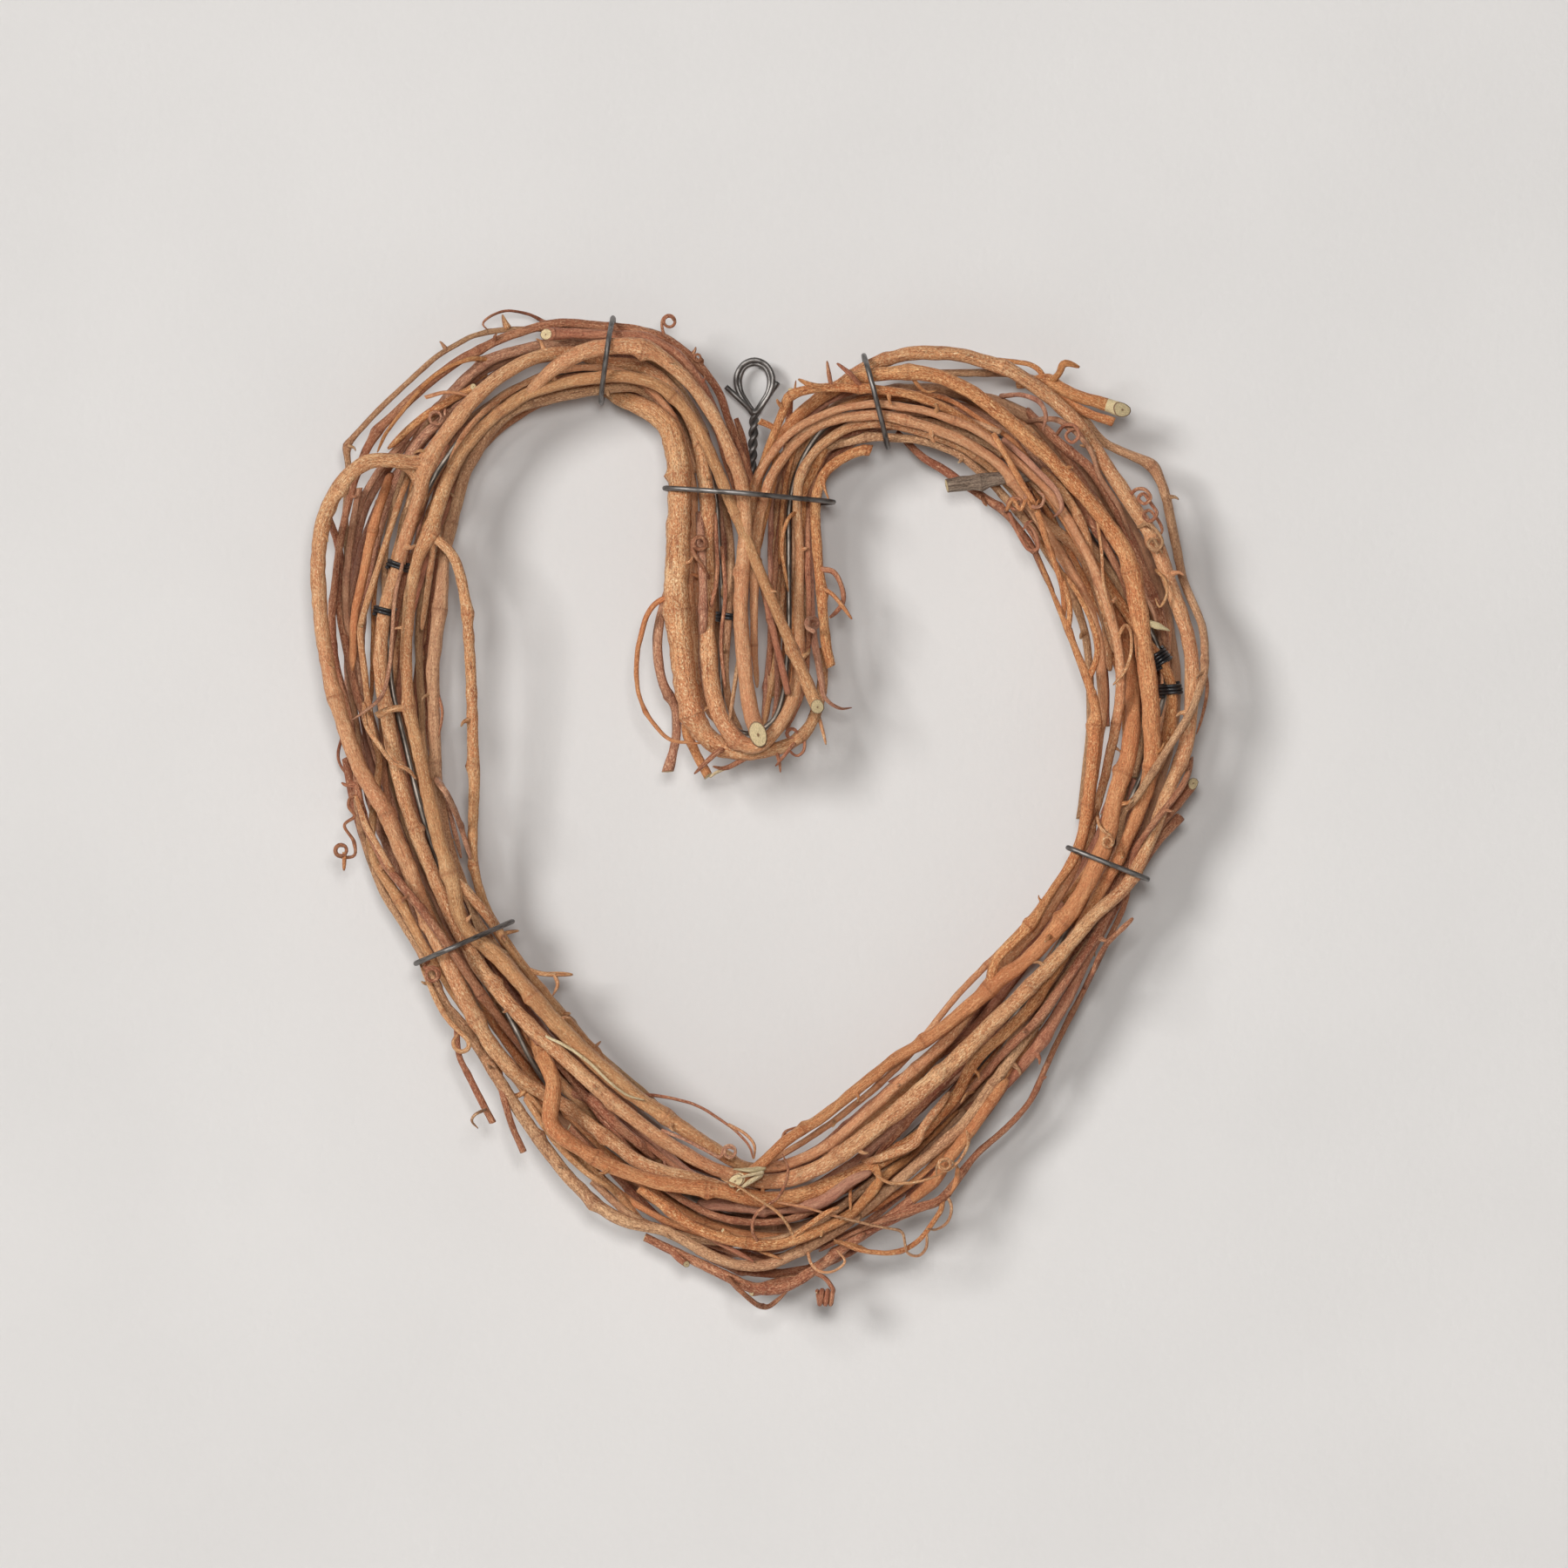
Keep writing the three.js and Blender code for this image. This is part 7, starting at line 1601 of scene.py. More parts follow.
@dataclass
class Modeller:
    """Models strands as closed rods that are bent along their lines.

    Lengths are in millimetres. Canes deeper in the bundle than the lit depth get a painted shade value that
    darkens their bark, standing in for the shadow between canes.
    """

    coarse: bool = False
    corners: tuple[int, int, int] = (14, 10, 8)
    coarse_corners: tuple[int, int, int] = (10, 8, 6)
    stout: float = 1.5
    slim: float = 0.75
    ring_stout: float = 1.1
    ring_step: float = 1.1
    ring_fine_step: float = 0.7
    rim: float = 0.16
    heart: float = 0.42
    dish: float = 0.12
    cap_reach: float = 2.5
    tilt: float = 0.35
    least_tilt: float = 0.2
    taper_length: float = 4.0
    tip_width: float = 0.35
    peel_clear: float = 0.3
    peel_fringe: float = 2.0
    peel_core: float = 0.6
    lit_depth: float = 17.0
    dim_range: float = 11.0
    tone_spread: float = 0.8
    tone_drift: float = 0.35
    tone_length: float = 37.0
    grain_range: float = 400.0

    def rod(self, sides: int, rings: int) -> bpy.types.Mesh:
        """A straight closed rod from z = 0 to 1 with a dished cap at each end.

        Args:
            sides: Its corners round.
            rings: Its rings of faces.

        Returns:
            The rod. Its caps have material 1.
        """
        bm = bmesh.new()
        bmesh.ops.create_cone(
            bm, cap_ends=True, cap_tris=False, segments=sides, radius1=1, radius2=1, depth=1
        )
        bmesh.ops.translate(bm, vec=(0, 0, 0.5), verts=bm.verts)
        caps = [face for face in bm.faces if abs(face.normal.z) > 0.9]
        for cap in caps:
            cap.material_index = 1
        rails = [edge for edge in bm.edges if abs(edge.verts[0].co.z - edge.verts[1].co.z) > 0.5]
        if rings > 1:
            bmesh.ops.subdivide_edges(bm, edges=rails, cuts=rings - 1)
        bmesh.ops.inset_individual(bm, faces=caps, thickness=self.rim)
        bmesh.ops.inset_individual(bm, faces=caps, thickness=self.heart)
        bmesh.ops.poke(bm, faces=caps)
        mesh = bpy.data.meshes.new("rod")
        bm.to_mesh(mesh)
        bm.free()
        return mesh

    def sides_for(self, radius: float) -> int:
        """The corners round a strand of this radius."""
        stout, slim, fine = self.coarse_corners if self.coarse else self.corners
        if radius > self.stout:
            return stout
        return slim if radius > self.slim else fine

    def model(self, strands: list[Strand], name: str) -> bpy.types.Mesh:
        """One mesh of several strands, with the attributes that the bark follows.

        Args:
            strands: The strands.
            name: The name of the mesh.

        Returns:
            The mesh in metres. Material 0 is cut wood, and the strands' barks follow.
        """
        bm = bmesh.new()
        places, grains, tones, knots, cores = [], [], [], [], []
        barks = list(dict.fromkeys(strand.bark for strand in strands))
        for strand in strands:
            path = strand.path
            radius = float(path.radii.mean())
            step = self.ring_step if radius > self.ring_stout else self.ring_fine_step
            rings = round(path.length / (step * (2 if self.coarse else 1)))
            rod = self.rod(self.sides_for(radius), max(3, rings))
            spots = np.empty(len(rod.vertices) * 3)
            rod.vertices.foreach_get("co", spots)
            cut = CUT_ENDS.get(strand.name, CutEnd(False, 0.0))
            for polygon in rod.polygons:
                share = polygon.center.z if cut.at_start else 1 - polygon.center.z
                bare = polygon.material_index == 1 or share * path.length < cut.peel
                polygon.material_index = 0 if bare else 1 + barks.index(strand.bark)
            bm.from_mesh(rod)
            bpy.data.meshes.remove(rod)
            shaped = self.bend(strand, spots.reshape(-1, 3))
            if cut.peel:
                length = (spots[2::3] if cut.at_start else 1 - spots[2::3]) * path.length
                peeled = (length > self.peel_clear) & (length < cut.peel + self.peel_fringe)
                shaped[4][peeled] = self.peel_core
            for rows, values in zip((places, grains, tones, knots, cores), shaped):
                rows.append(values)
        for face in bm.faces:
            face.smooth = True
        mesh = bpy.data.meshes.new(name)
        bm.to_mesh(mesh)
        bm.free()
        whole = np.concatenate(places)
        mesh.vertices.foreach_set("co", (whole * MM).ravel())
        self.write(mesh, "grain", "FLOAT_VECTOR", np.concatenate(grains))
        for attribute, values in (("tone", tones), ("knot", knots), ("core", cores)):
            self.write(mesh, attribute, "FLOAT", np.concatenate(values))
        # Painted shade: a value that grows with depth behind the lit depth, which the bark uses to darken
        # deep canes as if they were shadowed.
        inner = np.clip((self.lit_depth - WALL_Y + whole[:, 1]) / self.dim_range, 0, 1)
        self.write(mesh, "inner", "FLOAT", inner)
        mesh.update()
        return mesh

    @staticmethod
    def write(mesh: bpy.types.Mesh, name: str, kind: str, values: np.ndarray) -> None:
        """Writes one value for each vertex of a mesh as an attribute."""
        attribute = mesh.attributes.new(name, kind, "POINT")
        key = "vector" if kind == "FLOAT_VECTOR" else "value"
        attribute.data.foreach_set(key, values.astype(np.float32).ravel())

    def bend(self, strand: Strand, spots: np.ndarray) -> tuple[np.ndarray, ...]:
        """Bends a straight rod along a strand.

        Args:
            strand: The strand.
            spots: The rod's vertices.

        Returns:
            The bent places, then the grain, tone, knot and core of each vertex.
        """
        path = strand.path
        random = seed_of(strand.name + " tone")
        relief = Relief(strand)
        reach = np.minimum(np.hypot(spots[:, 0], spots[:, 1]), 1.0)
        turn = np.arctan2(spots[:, 1], spots[:, 0])
        mark = spots[:, 2] * path.length
        radius = np.interp(mark, path.along, path.radii)
        if strand.end is End.WITHERED and not path.closed:
            left = np.clip((path.length - mark) / self.taper_length, 0, 1)
            radius = radius * (self.tip_width + (1 - self.tip_width) * np.sqrt(left))
        wide = radius * relief.height(turn, mark) * reach
        firsts, seconds = turned_frames(path)

        def spread(rows: np.ndarray) -> np.ndarray:
            """Values of the line at each vertex."""
            return np.stack([np.interp(mark, path.along, rows[:, k]) for k in range(3)], axis=1)

        middle, ahead = spread(path.places), spread(path.ahead)
        first, second = unit(spread(firsts)), unit(spread(seconds))
        across = first * np.cos(turn)[:, None] + second * np.sin(turn)[:, None]
        cut = CUT_ENDS.get(strand.name)
        for at_start, sign in ((True, -1.0), (False, 1.0)) if not path.closed else ():
            lean = random.uniform(0, math.tau)
            slope = self.tilt * random.uniform(self.least_tilt, 1.0) * np.cos(turn - lean)
            if cut and cut.at_start is at_start:
                slope = sign * cut.slope * across[:, 1]
            shift = slope * wide + sign * self.dish * radius * (1 - reach)
            far = path.length - mark if sign > 0 else mark
            fade = np.clip(1 - far / (self.cap_reach * radius), 0, 1)
            middle = middle + ahead * (shift * fade)[:, None]
        shaped = middle + across * wide[:, None]
        base = float(path.radii.mean())
        offset = random.uniform(0, self.grain_range)
        grain = np.stack(
            [np.cos(turn) * base * reach, np.sin(turn) * base * reach, mark + offset], axis=1
        )
        start = random.uniform(0, math.tau)
        drift = self.tone_drift * np.sin(mark / self.tone_length + start)
        tone = np.clip(random.uniform(-self.tone_spread, self.tone_spread) + drift, -1, 1)
        return shaped, grain, tone, relief.knot_mask(mark) * reach, reach


@dataclass
class Undergrowth:
    """Finer canes and shoots that run between the canes of the frame."""

    thicket: Thicket
    filling: Filling = Filling()
    wish: float = 0.35
    shoot_wish: float = 0.7
    root_length: float = 3.5

    def grow(self) -> list[Strand]:
        """Threads every filling cane and every drawn shoot.

        Returns:
            The strands.
        """
        return self.fill() + self.shoots()

    def fill(self) -> list[Strand]:
        """Threads the seeded canes."""
        filling = self.filling
        strands = []
        for index in range(filling.count):
            name = f"filling_{index + 1}"
            random = seed_of(name)
            samples = filling.samples
            start = (index + random.uniform(0, 1)) / filling.count * filling.last_start
            span = random.uniform(filling.shortest, filling.longest)
            shares = np.linspace(start, min(1.0, start + span), samples)
            lean = random.uniform(-filling.lean, filling.lean)
            phase = random.uniform(0, math.tau)
            sides = random.uniform(-filling.off_middle, filling.off_middle)
            sides = sides + lean * np.linspace(-1, 1, samples)
            sides = sides + filling.sway * np.sin(phase + shares * filling.sway_pace)
            sides = np.clip(sides, -filling.side_limit, filling.side_limit)
            depths = np.full(samples, random.uniform(filling.nearest_wall, filling.furthest))
            width = random.uniform(filling.thinnest, filling.thickest)
            widths = width * np.linspace(1.0, random.uniform(filling.least_taper, 1.0), samples)
            table = np.column_stack([bundle_places(shares, sides), depths, widths])
            bark = filling.barks[index % len(filling.barks)]
            path = self.thicket.thread(Path.drawn(table, FILLING_STEP), self.wish)
            strands.append(self.planted(name, bark, path))
        return strands

    def shoots(self) -> list[Strand]:
        """Threads the drawn shoots."""
        strands = []
        for growth in SHOOTS:
            table = filled(growth.route)
            if growth.coil:
                table = growth.coil.after(table)
            path = self.thicket.rooted(Path.drawn(table, FINE_STEP))
            path = self.thicket.thread(path, self.shoot_wish, self.root_length)
            strands.append(self.planted(growth.name, growth.bark, path))
        return strands

    def planted(self, name: str, bark: Bark, path: Path) -> Strand:
        """Takes up the room of a new strand.

        Args:
            name: Its name.
            bark: Its bark.
            path: Its line.

        Returns:
            The strand.
        """
        self.thicket.paths.append(path)
        self.thicket.gather()
        return Strand(name, bark, path)


@dataclass(frozen=True)
class Spurs:
    """Short stubs and buds that stand out from a cane at its knots, in millimetres."""

    gap: float = 55.0
    first: tuple[float, float] = (0.3, 1.2)
    further: tuple[float, float] = (0.5, 1.6)
    leans: tuple[float, float] = (0.2, 0.9)
    sizes: tuple[float, float] = (0.8, 1.4)
    root_width: float = 1.5
    tip_width: float = 0.9
    end_clearance: float = 12.0
    shortest: float = 1.2
    longest: float = 3.4
    thickness: float = 0.55
    root_share: float = 0.4
    elbow_share: float = 0.8
    tip_lean: float = 0.6

    def on(self, strand: Strand) -> list[Strand]:
        """The spurs of one cane, on the sides that are seen.

        Args:
            strand: The cane.

        Returns:
            The spurs.
        """
        path = strand.path
        random = seed_of(strand.name + " spurs")
        firsts, seconds = turned_frames(path)
        spurs = []
        mark = random.uniform(*self.first) * self.gap
        while mark < path.length - self.end_clearance:
            i = int(np.searchsorted(path.along, mark))
            turn = random.uniform(0, math.tau)
            across = firsts[i] * math.cos(turn) + seconds[i] * math.sin(turn)
            across[1] = -abs(across[1])
            reach = path.radii[i] + random.uniform(self.shortest, self.longest)
            lean = random.uniform(*self.leans) * path.ahead[i] * random.choice([-1, 1])
            thick = self.thickness * random.uniform(*self.sizes)
            start = path.places[i] + across * path.radii[i] * self.root_share
            elbow = path.places[i] + across * reach * self.elbow_share + lean * self.elbow_share
            tip = path.places[i] + across * reach + lean * reach * self.tip_lean
            radii = np.array([thick * self.root_width, thick, thick * self.tip_width])
            spur = Path(np.array([start, elbow, tip]), radii).resampled(1.0)
            spurs.append(Strand(f"{strand.name}.spur_{len(spurs)}", strand.bark, spur))
            mark += random.uniform(*self.further) * self.gap
        return spurs


Number: TypeAlias = "float | Term"


class Term:
    """A shader socket on which arithmetic can be written."""

    def __init__(self, shader: "Shader", socket: bpy.types.NodeSocket) -> None:
        """Wraps an output socket of a shader."""
        self.shader = shader
        self.socket = socket

    def _math(self, operation: str, *values: Number) -> "Term":
        """A Math node on values or terms."""
        numbered = dict(enumerate(values))
        return self.shader.node("ShaderNodeMath", {"operation": operation}, numbered)

    def __add__(self, other: Number) -> "Term":
        """This value plus another."""
        return self._math("ADD", self, other)

    def __radd__(self, other: Number) -> "Term":
        """Another value plus this one."""
        return self._math("ADD", other, self)

    def __sub__(self, other: Number) -> "Term":
        """This value less another."""
        return self._math("SUBTRACT", self, other)

    def __rsub__(self, other: Number) -> "Term":
        """Another value less this one."""
        return self._math("SUBTRACT", other, self)

    def __mul__(self, other: Number) -> "Term":
        """This value times another."""
        return self._math("MULTIPLY", self, other)

    def __rmul__(self, other: Number) -> "Term":
        """Another value times this one."""
        return self._math("MULTIPLY", other, self)

    def clipped(self) -> "Term":
        """This value kept between 0 and 1."""
        return self.step(0.0, 1.0)

    def size(self) -> "Term":
        """This value without its sign."""
        return self._math("ABSOLUTE", self)

    def step(self, low: float, high: float, smooth: bool = False) -> "Term":
        """A ramp from 0 at one value to 1 at another."""
        settings = {"interpolation_type": "SMOOTHSTEP" if smooth else "LINEAR"}
        values = {"Value": self, "From Min": low, "From Max": high, "To Min": 0.0, "To Max": 1.0}
        return self.shader.node("ShaderNodeMapRange", settings, values)


class Shader:
    """A procedural material under construction."""

    def __init__(self, name: str) -> None:
        """Starts a material with only its output.

        Args:
            name: The material's name.
        """
        self.material = bpy.data.materials.new(name)
        self.material.use_nodes = True
        self.tree = self.material.node_tree
        self.tree.nodes.clear()
        self.out = self.tree.nodes.new("ShaderNodeOutputMaterial")

    def node(
        self, kind: str, settings: dict[str, object], inputs: dict, output: int | str = 0
    ) -> Term:
        """Adds any node.

        Args:
            kind: The node's type.
            settings: Its settings, such as an operation, or the stops of a ramp.
            inputs: A value or a term for each of its sockets, by name or number.
            output: The output that is used next.

        Returns:
            The output as a term.
        """
        made = self.tree.nodes.new(kind)
        for key, value in settings.items():
            if key == "stops":
                ramp = made.color_ramp
                while len(ramp.elements) < len(value):
                    ramp.elements.new(0.5)
                for element, (position, colour) in zip(ramp.elements, value):
                    element.position = position
                    element.color = (*colour, 1.0)
            else:
                setattr(made, key, value)
        for key, value in inputs.items():
            socket = made.inputs[key]
            if isinstance(value, Term):
                self.tree.links.new(value.socket, socket)
            elif isinstance(value, tuple) and socket.type == "RGBA":
                socket.default_value = (*value, 1.0)
            else:
                socket.default_value = value
        return Term(self, made.outputs[output])

    def attribute(self, name: str, vector: bool = False) -> Term:
        """A value that the mesh carries."""
        settings = {"attribute_name": name, "attribute_type": "GEOMETRY"}
        return self.node("ShaderNodeAttribute", settings, {}, "Vector" if vector else "Fac")

    def stretched(self, vector: Term, scale: tuple[float, float, float]) -> Term:
        """A vector with each of its parts scaled."""
        return self.node("ShaderNodeVectorMath", {"operation": "MULTIPLY"}, {0: vector, 1: scale})

    def noise(
        self, vector: Term, scale: float, detail: float, roughness: float = 0.55, distortion: float = 0.0
    ) -> Term:
        """Soft noise between 0 and 1, most of it near the middle."""
        values = {"Vector": vector, "Scale": scale, "Detail": detail}
        values |= {"Roughness": roughness, "Distortion": distortion}
        return self.node("ShaderNodeTexNoise", {}, values)

    def blend(self, factor: Number, one: "Term | tuple", other: "Term | tuple", mode: str = "MIX") -> Term:
        """A colour between two colours."""
        settings = {"data_type": "RGBA", "blend_type": mode}
        values = {"Factor": factor, 6: one, 7: other}
        return self.node("ShaderNodeMix", settings, values, 2)

    def ramp(self, factor: Term, stops: tuple) -> Term:
        """A colour from a ramp."""
        return self.node("ShaderNodeValToRGB", {"stops": stops}, {"Fac": factor})

    def bump(self, height: Term, distance: float, strength: float) -> Term:
        """A normal from a height."""
        values = {"Height": height, "Distance": distance, "Strength": strength}
        return self.node("ShaderNodeBump", {}, values)

    def surface(self, **inputs: "Term | float | tuple") -> bpy.types.Material:
        """Finishes the material with a principled surface.

        Args:
            inputs: A value or term for each socket, with underscores for spaces.

        Returns:
            The material.
        """
        values = {key.replace("_", " "): value for key, value in inputs.items()}
        result = self.node("ShaderNodeBsdfPrincipled", {}, values)
        self.tree.links.new(result.socket, self.out.inputs["Surface"])
        return self.material


Colour = tuple[float, float, float]


@dataclass(frozen=True)
class Grain:
    """A noise that runs with the fibres: its stretch across and along them, scale and detail."""

    across: float
    along: float
    scale: float
    detail: float
    roughness: float = 0.55
    distortion: float = 0.0

    def on(self, shader: Shader) -> Term:
        """The noise on a strand's own grain."""
        fibres = shader.attribute("grain", vector=True)
        spots = shader.stretched(fibres, (self.across, self.across, self.along))
        return shader.noise(spots, self.scale, self.detail, self.roughness, self.distortion)


@dataclass(frozen=True)
class BarkFinish:
    """Dry vine bark: long fibres, cracks, pale flecks and darker knots, with painted shade that darkens
    canes deep in the bundle.
    """

    name: str
    dark: Colour
    plain: Colour
    pale: Colour
    blush: Colour
    fleck: Colour
    flecks: float = 0.62
    cracks: float = 0.6
    rough: float = 0.66
    rosy: Colour = (0.94, 0.86, 0.98)
    olive: Colour = (0.82, 0.91, 0.84)
    relief: float = 0.0006

    FIBRES = Grain(1, 0.08, 2.4, 3.0, roughness=0.6)
    PLATES = Grain(1, 0.16, 0.8, 3.0, distortion=0.4)
    CRACKS = Grain(1, 0.06, 1.2, 2.0)
    GRIT = Grain(1, 0.42, 3.3, 2.0, roughness=0.75)
    PATCHES = Grain(1, 0.3, 0.13, 2.0)
    WEATHER = Grain(0.6, 0.2, 0.35, 3.0, distortion=0.5)

    def material(self) -> bpy.types.Material:
        """Makes the bark."""
        shader = Shader(self.name)
        tone = shader.attribute("tone")
        knot = shader.attribute("knot")
        fibres, plates, grit = self.FIBRES.on(shader), self.PLATES.on(shader), self.GRIT.on(shader)
        cracks = 1 - (self.CRACKS.on(shader) - 0.5).size().step(0.0, 0.03, smooth=True)
        flecks = grit.step(0.52, 0.62, smooth=True)
        pits = grit.step(0.47, 0.36, smooth=True)
        light = (fibres * 0.55 + plates * 0.45 + tone * 0.06).step(0.32, 0.68)
        stops = ((0.0, self.dark), (0.4, self.plain), (0.6, self.plain), (0.92, self.pale))
        colour = shader.ramp(light, stops)
        blush = self.PATCHES.on(shader).step(0.42, 0.66, smooth=True) * 0.75
        colour = shader.blend(blush, colour, self.blush)
        pale_patch = self.WEATHER.on(shader).step(0.5, 0.72, smooth=True) * 0.5
        colour = shader.blend(pale_patch, colour, self.pale)
        colour = shader.blend(flecks * self.flecks, colour, self.fleck)
        shade = (cracks * self.cracks * 0.45 + pits * 0.62).clipped()
        colour = shader.blend(shade, colour, self.dark)
        rosy = tuple(part * share for part, share in zip(self.plain, self.rosy))
        olive = tuple(part * share for part, share in zip(self.plain, self.olive))
        colour = shader.blend(tone.step(0.1, 0.8) * 0.55, colour, rosy)
        colour = shader.blend(tone.step(-0.15, -0.8) * 0.45, colour, olive)
        scar = knot.step(0.8, 0.96, smooth=True)
        colour = shader.blend(knot * 0.2 + scar * 0.24, colour, self.dark)
        # Painted shade: canes deep in the bundle are blended towards the dark colour, standing in for the
        # shadow between canes.
        colour = shader.blend(shader.attribute("inner") * 0.42, colour, self.dark)
        height = fibres * 0.3 + plates * 0.4 + flecks * 0.35 - cracks * self.cracks * 0.35 - pits * 0.35
        normal = shader.bump(height - scar * 0.4, self.relief, 0.9)
        rough = self.rough + (0.5 - fibres) * 0.2
        return shader.surface(Base_Color=colour, Roughness=rough, Normal=normal, Specular_IOR_Level=0.4)


@dataclass(frozen=True)
class CutWoodFinish:
    """Cut vine wood: pale, with rays, a darker rim and a brown pith."""

    name: str
    wood: Colour = (0.68, 0.54, 0.31)
    rim: Colour = (0.20, 0.11, 0.06)
    pith: Colour = (0.22, 0.12, 0.06)

    def material(self) -> bpy.types.Material:
        """Makes the cut wood."""
        shader = Shader(self.name)
        grain = shader.attribute("grain", vector=True)
        core = shader.attribute("core")
        mottle = shader.noise(grain, 3.0, 3.0)
        tint = tuple(part * 0.7 for part in self.wood)
        colour = shader.blend(mottle.step(0.35, 0.65), self.wood, tint)
        colour = shader.blend(core.step(0.84, 0.97, smooth=True), colour, self.rim)
        colour = shader.blend(core.step(0.22, 0.08, smooth=True), colour, self.pith)
        normal = shader.bump(mottle, 0.0002, 0.7)
        return shader.surface(Base_Color=colour, Roughness=0.85, Normal=normal)


@dataclass(frozen=True)
class WireFinish:
    """Annealed steel wire: dull grey with darker smears and fine scratches."""

    name: str
    steel: Colour = (0.225, 0.212, 0.203)
    smear: Colour = (0.080, 0.073, 0.068)

    SMEARS = Grain(1, 0.4, 0.8, 3.0)
    SCRATCHES = Grain(1, 0.08, 6.0, 2.0)

    def material(self) -> bpy.types.Material:
        """Makes the steel."""
        shader = Shader(self.name)
        smears, scratches = self.SMEARS.on(shader), self.SCRATCHES.on(shader)
        colour = shader.blend(smears.step(0.4, 0.7, smooth=True), self.steel, self.smear)
        rough = 0.32 + smears * 0.22 + scratches * 0.1
        normal = shader.bump(scratches * 0.4 + smears * 0.6, 0.0001, 0.5)
        return shader.surface(Base_Color=colour, Metallic=0.85, Roughness=rough, Normal=normal)


@dataclass(frozen=True)
class LacquerFinish:
    """Black coated binding wire."""

    name: str
    coat: Colour = (0.012, 0.012, 0.014)
    worn: Colour = (0.05, 0.048, 0.048)

    def material(self) -> bpy.types.Material:
        """Makes the black coating."""
        shader = Shader(self.name)
        grain = shader.attribute("grain", vector=True)
        dust = shader.noise(grain, 2.2, 3.0)
        colour = shader.blend(dust.step(0.5, 0.75, smooth=True), self.coat, self.worn)
        rough = 0.22 + dust * 0.25
        normal = shader.bump(dust, 0.0001, 0.4)
        return shader.surface(Base_Color=colour, Roughness=rough, Normal=normal)


@dataclass(frozen=True)
class PlasterFinish:
    """A matt pale surface for the stage."""

    name: str
    paint: Colour
    one_sided: bool = False

    def material(self) -> bpy.types.Material:
        """Makes the plaster, which is clear from behind where it is one-sided."""
        shader = Shader(self.name)
        spots = shader.node("ShaderNodeTexCoord", {}, {}, "Object")
        mottle = shader.noise(spots, 9.0, 3.0)
        shade = tuple(part * 0.965 for part in self.paint)
        colour = shader.blend(mottle.step(0.35, 0.65), self.paint, shade)
        normal = shader.bump(shader.noise(spots, 420.0, 3.0), 0.0004, 0.25)
        plaster = shader.surface(Base_Color=colour, Roughness=0.92, Normal=normal)
        if self.one_sided:
            front = Term(shader, shader.out.inputs["Surface"].links[0].from_socket)
            behind = shader.node("ShaderNodeNewGeometry", {}, {}, "Backfacing")
            clear = shader.node("ShaderNodeBsdfTransparent", {}, {})
            either = shader.node("ShaderNodeMixShader", {}, {0: behind, 1: front, 2: clear})
            shader.tree.links.new(either.socket, shader.out.inputs["Surface"])
        return plaster


BARKS: dict[Bark, BarkFinish] = {
    Bark.TAN: BarkFinish(
        "bark_tan", (0.296, 0.084, 0.031), (0.709, 0.332, 0.147), (0.970, 0.595, 0.317),
        (0.629, 0.241, 0.103), (0.970, 0.778, 0.475),
    ),
    Bark.GOLDEN: BarkFinish(
        "bark_golden", (0.270, 0.069, 0.022), (0.660, 0.263, 0.097), (0.965, 0.516, 0.232),
        (0.591, 0.183, 0.059), (0.970, 0.693, 0.359),
    ),
    Bark.RED: BarkFinish(
        "bark_red", (0.174, 0.046, 0.023), (0.476, 0.183, 0.091), (0.737, 0.380, 0.205),
        (0.390, 0.118, 0.060), (0.887, 0.583, 0.359), flecks=0.45,
    ),
    Bark.MAUVE: BarkFinish(
        "bark_mauve", (0.215, 0.069, 0.042), (0.562, 0.259, 0.149), (0.825, 0.481, 0.293),
        (0.490, 0.189, 0.112), (0.963, 0.660, 0.431), flecks=0.52,
    ),
    Bark.GREY: BarkFinish(
        "bark_grey", (0.229, 0.085, 0.042), (0.580, 0.312, 0.158), (0.851, 0.532, 0.293),
        (0.516, 0.230, 0.110), (0.963, 0.671, 0.412), flecks=0.55,
    ),
    Bark.WEATHERED: BarkFinish(
        "bark_weathered", (0.060, 0.042, 0.030), (0.300, 0.215, 0.150), (0.480, 0.385, 0.290),
        (0.200, 0.140, 0.095), (0.560, 0.470, 0.370), flecks=0.25, cracks=1.5,
    ),
    Bark.BARE: BarkFinish(
        "bare_wood", (0.460, 0.290, 0.140), (0.860, 0.690, 0.420), (0.930, 0.830, 0.600),
        (0.740, 0.520, 0.280), (0.940, 0.860, 0.680), flecks=0.3, cracks=0.4,
    ),
}


class Finishes:
    """The materials of the wreath, each made once."""

    DULL_STEEL = (0.25, 0.22, 0.188)
    DULL_SMEAR = (0.115, 0.10, 0.084)

    def __init__(self) -> None:
        """Makes every finish."""
        self.barks = {bark: finish.material() for bark, finish in BARKS.items()}
        self.cut = CutWoodFinish("cut_wood").material()
        self.steel = WireFinish("steel_wire").material()
        self.dull_steel = WireFinish("dull_steel_wire", self.DULL_STEEL, self.DULL_SMEAR).material()
        self.black = LacquerFinish("black_wire").material()


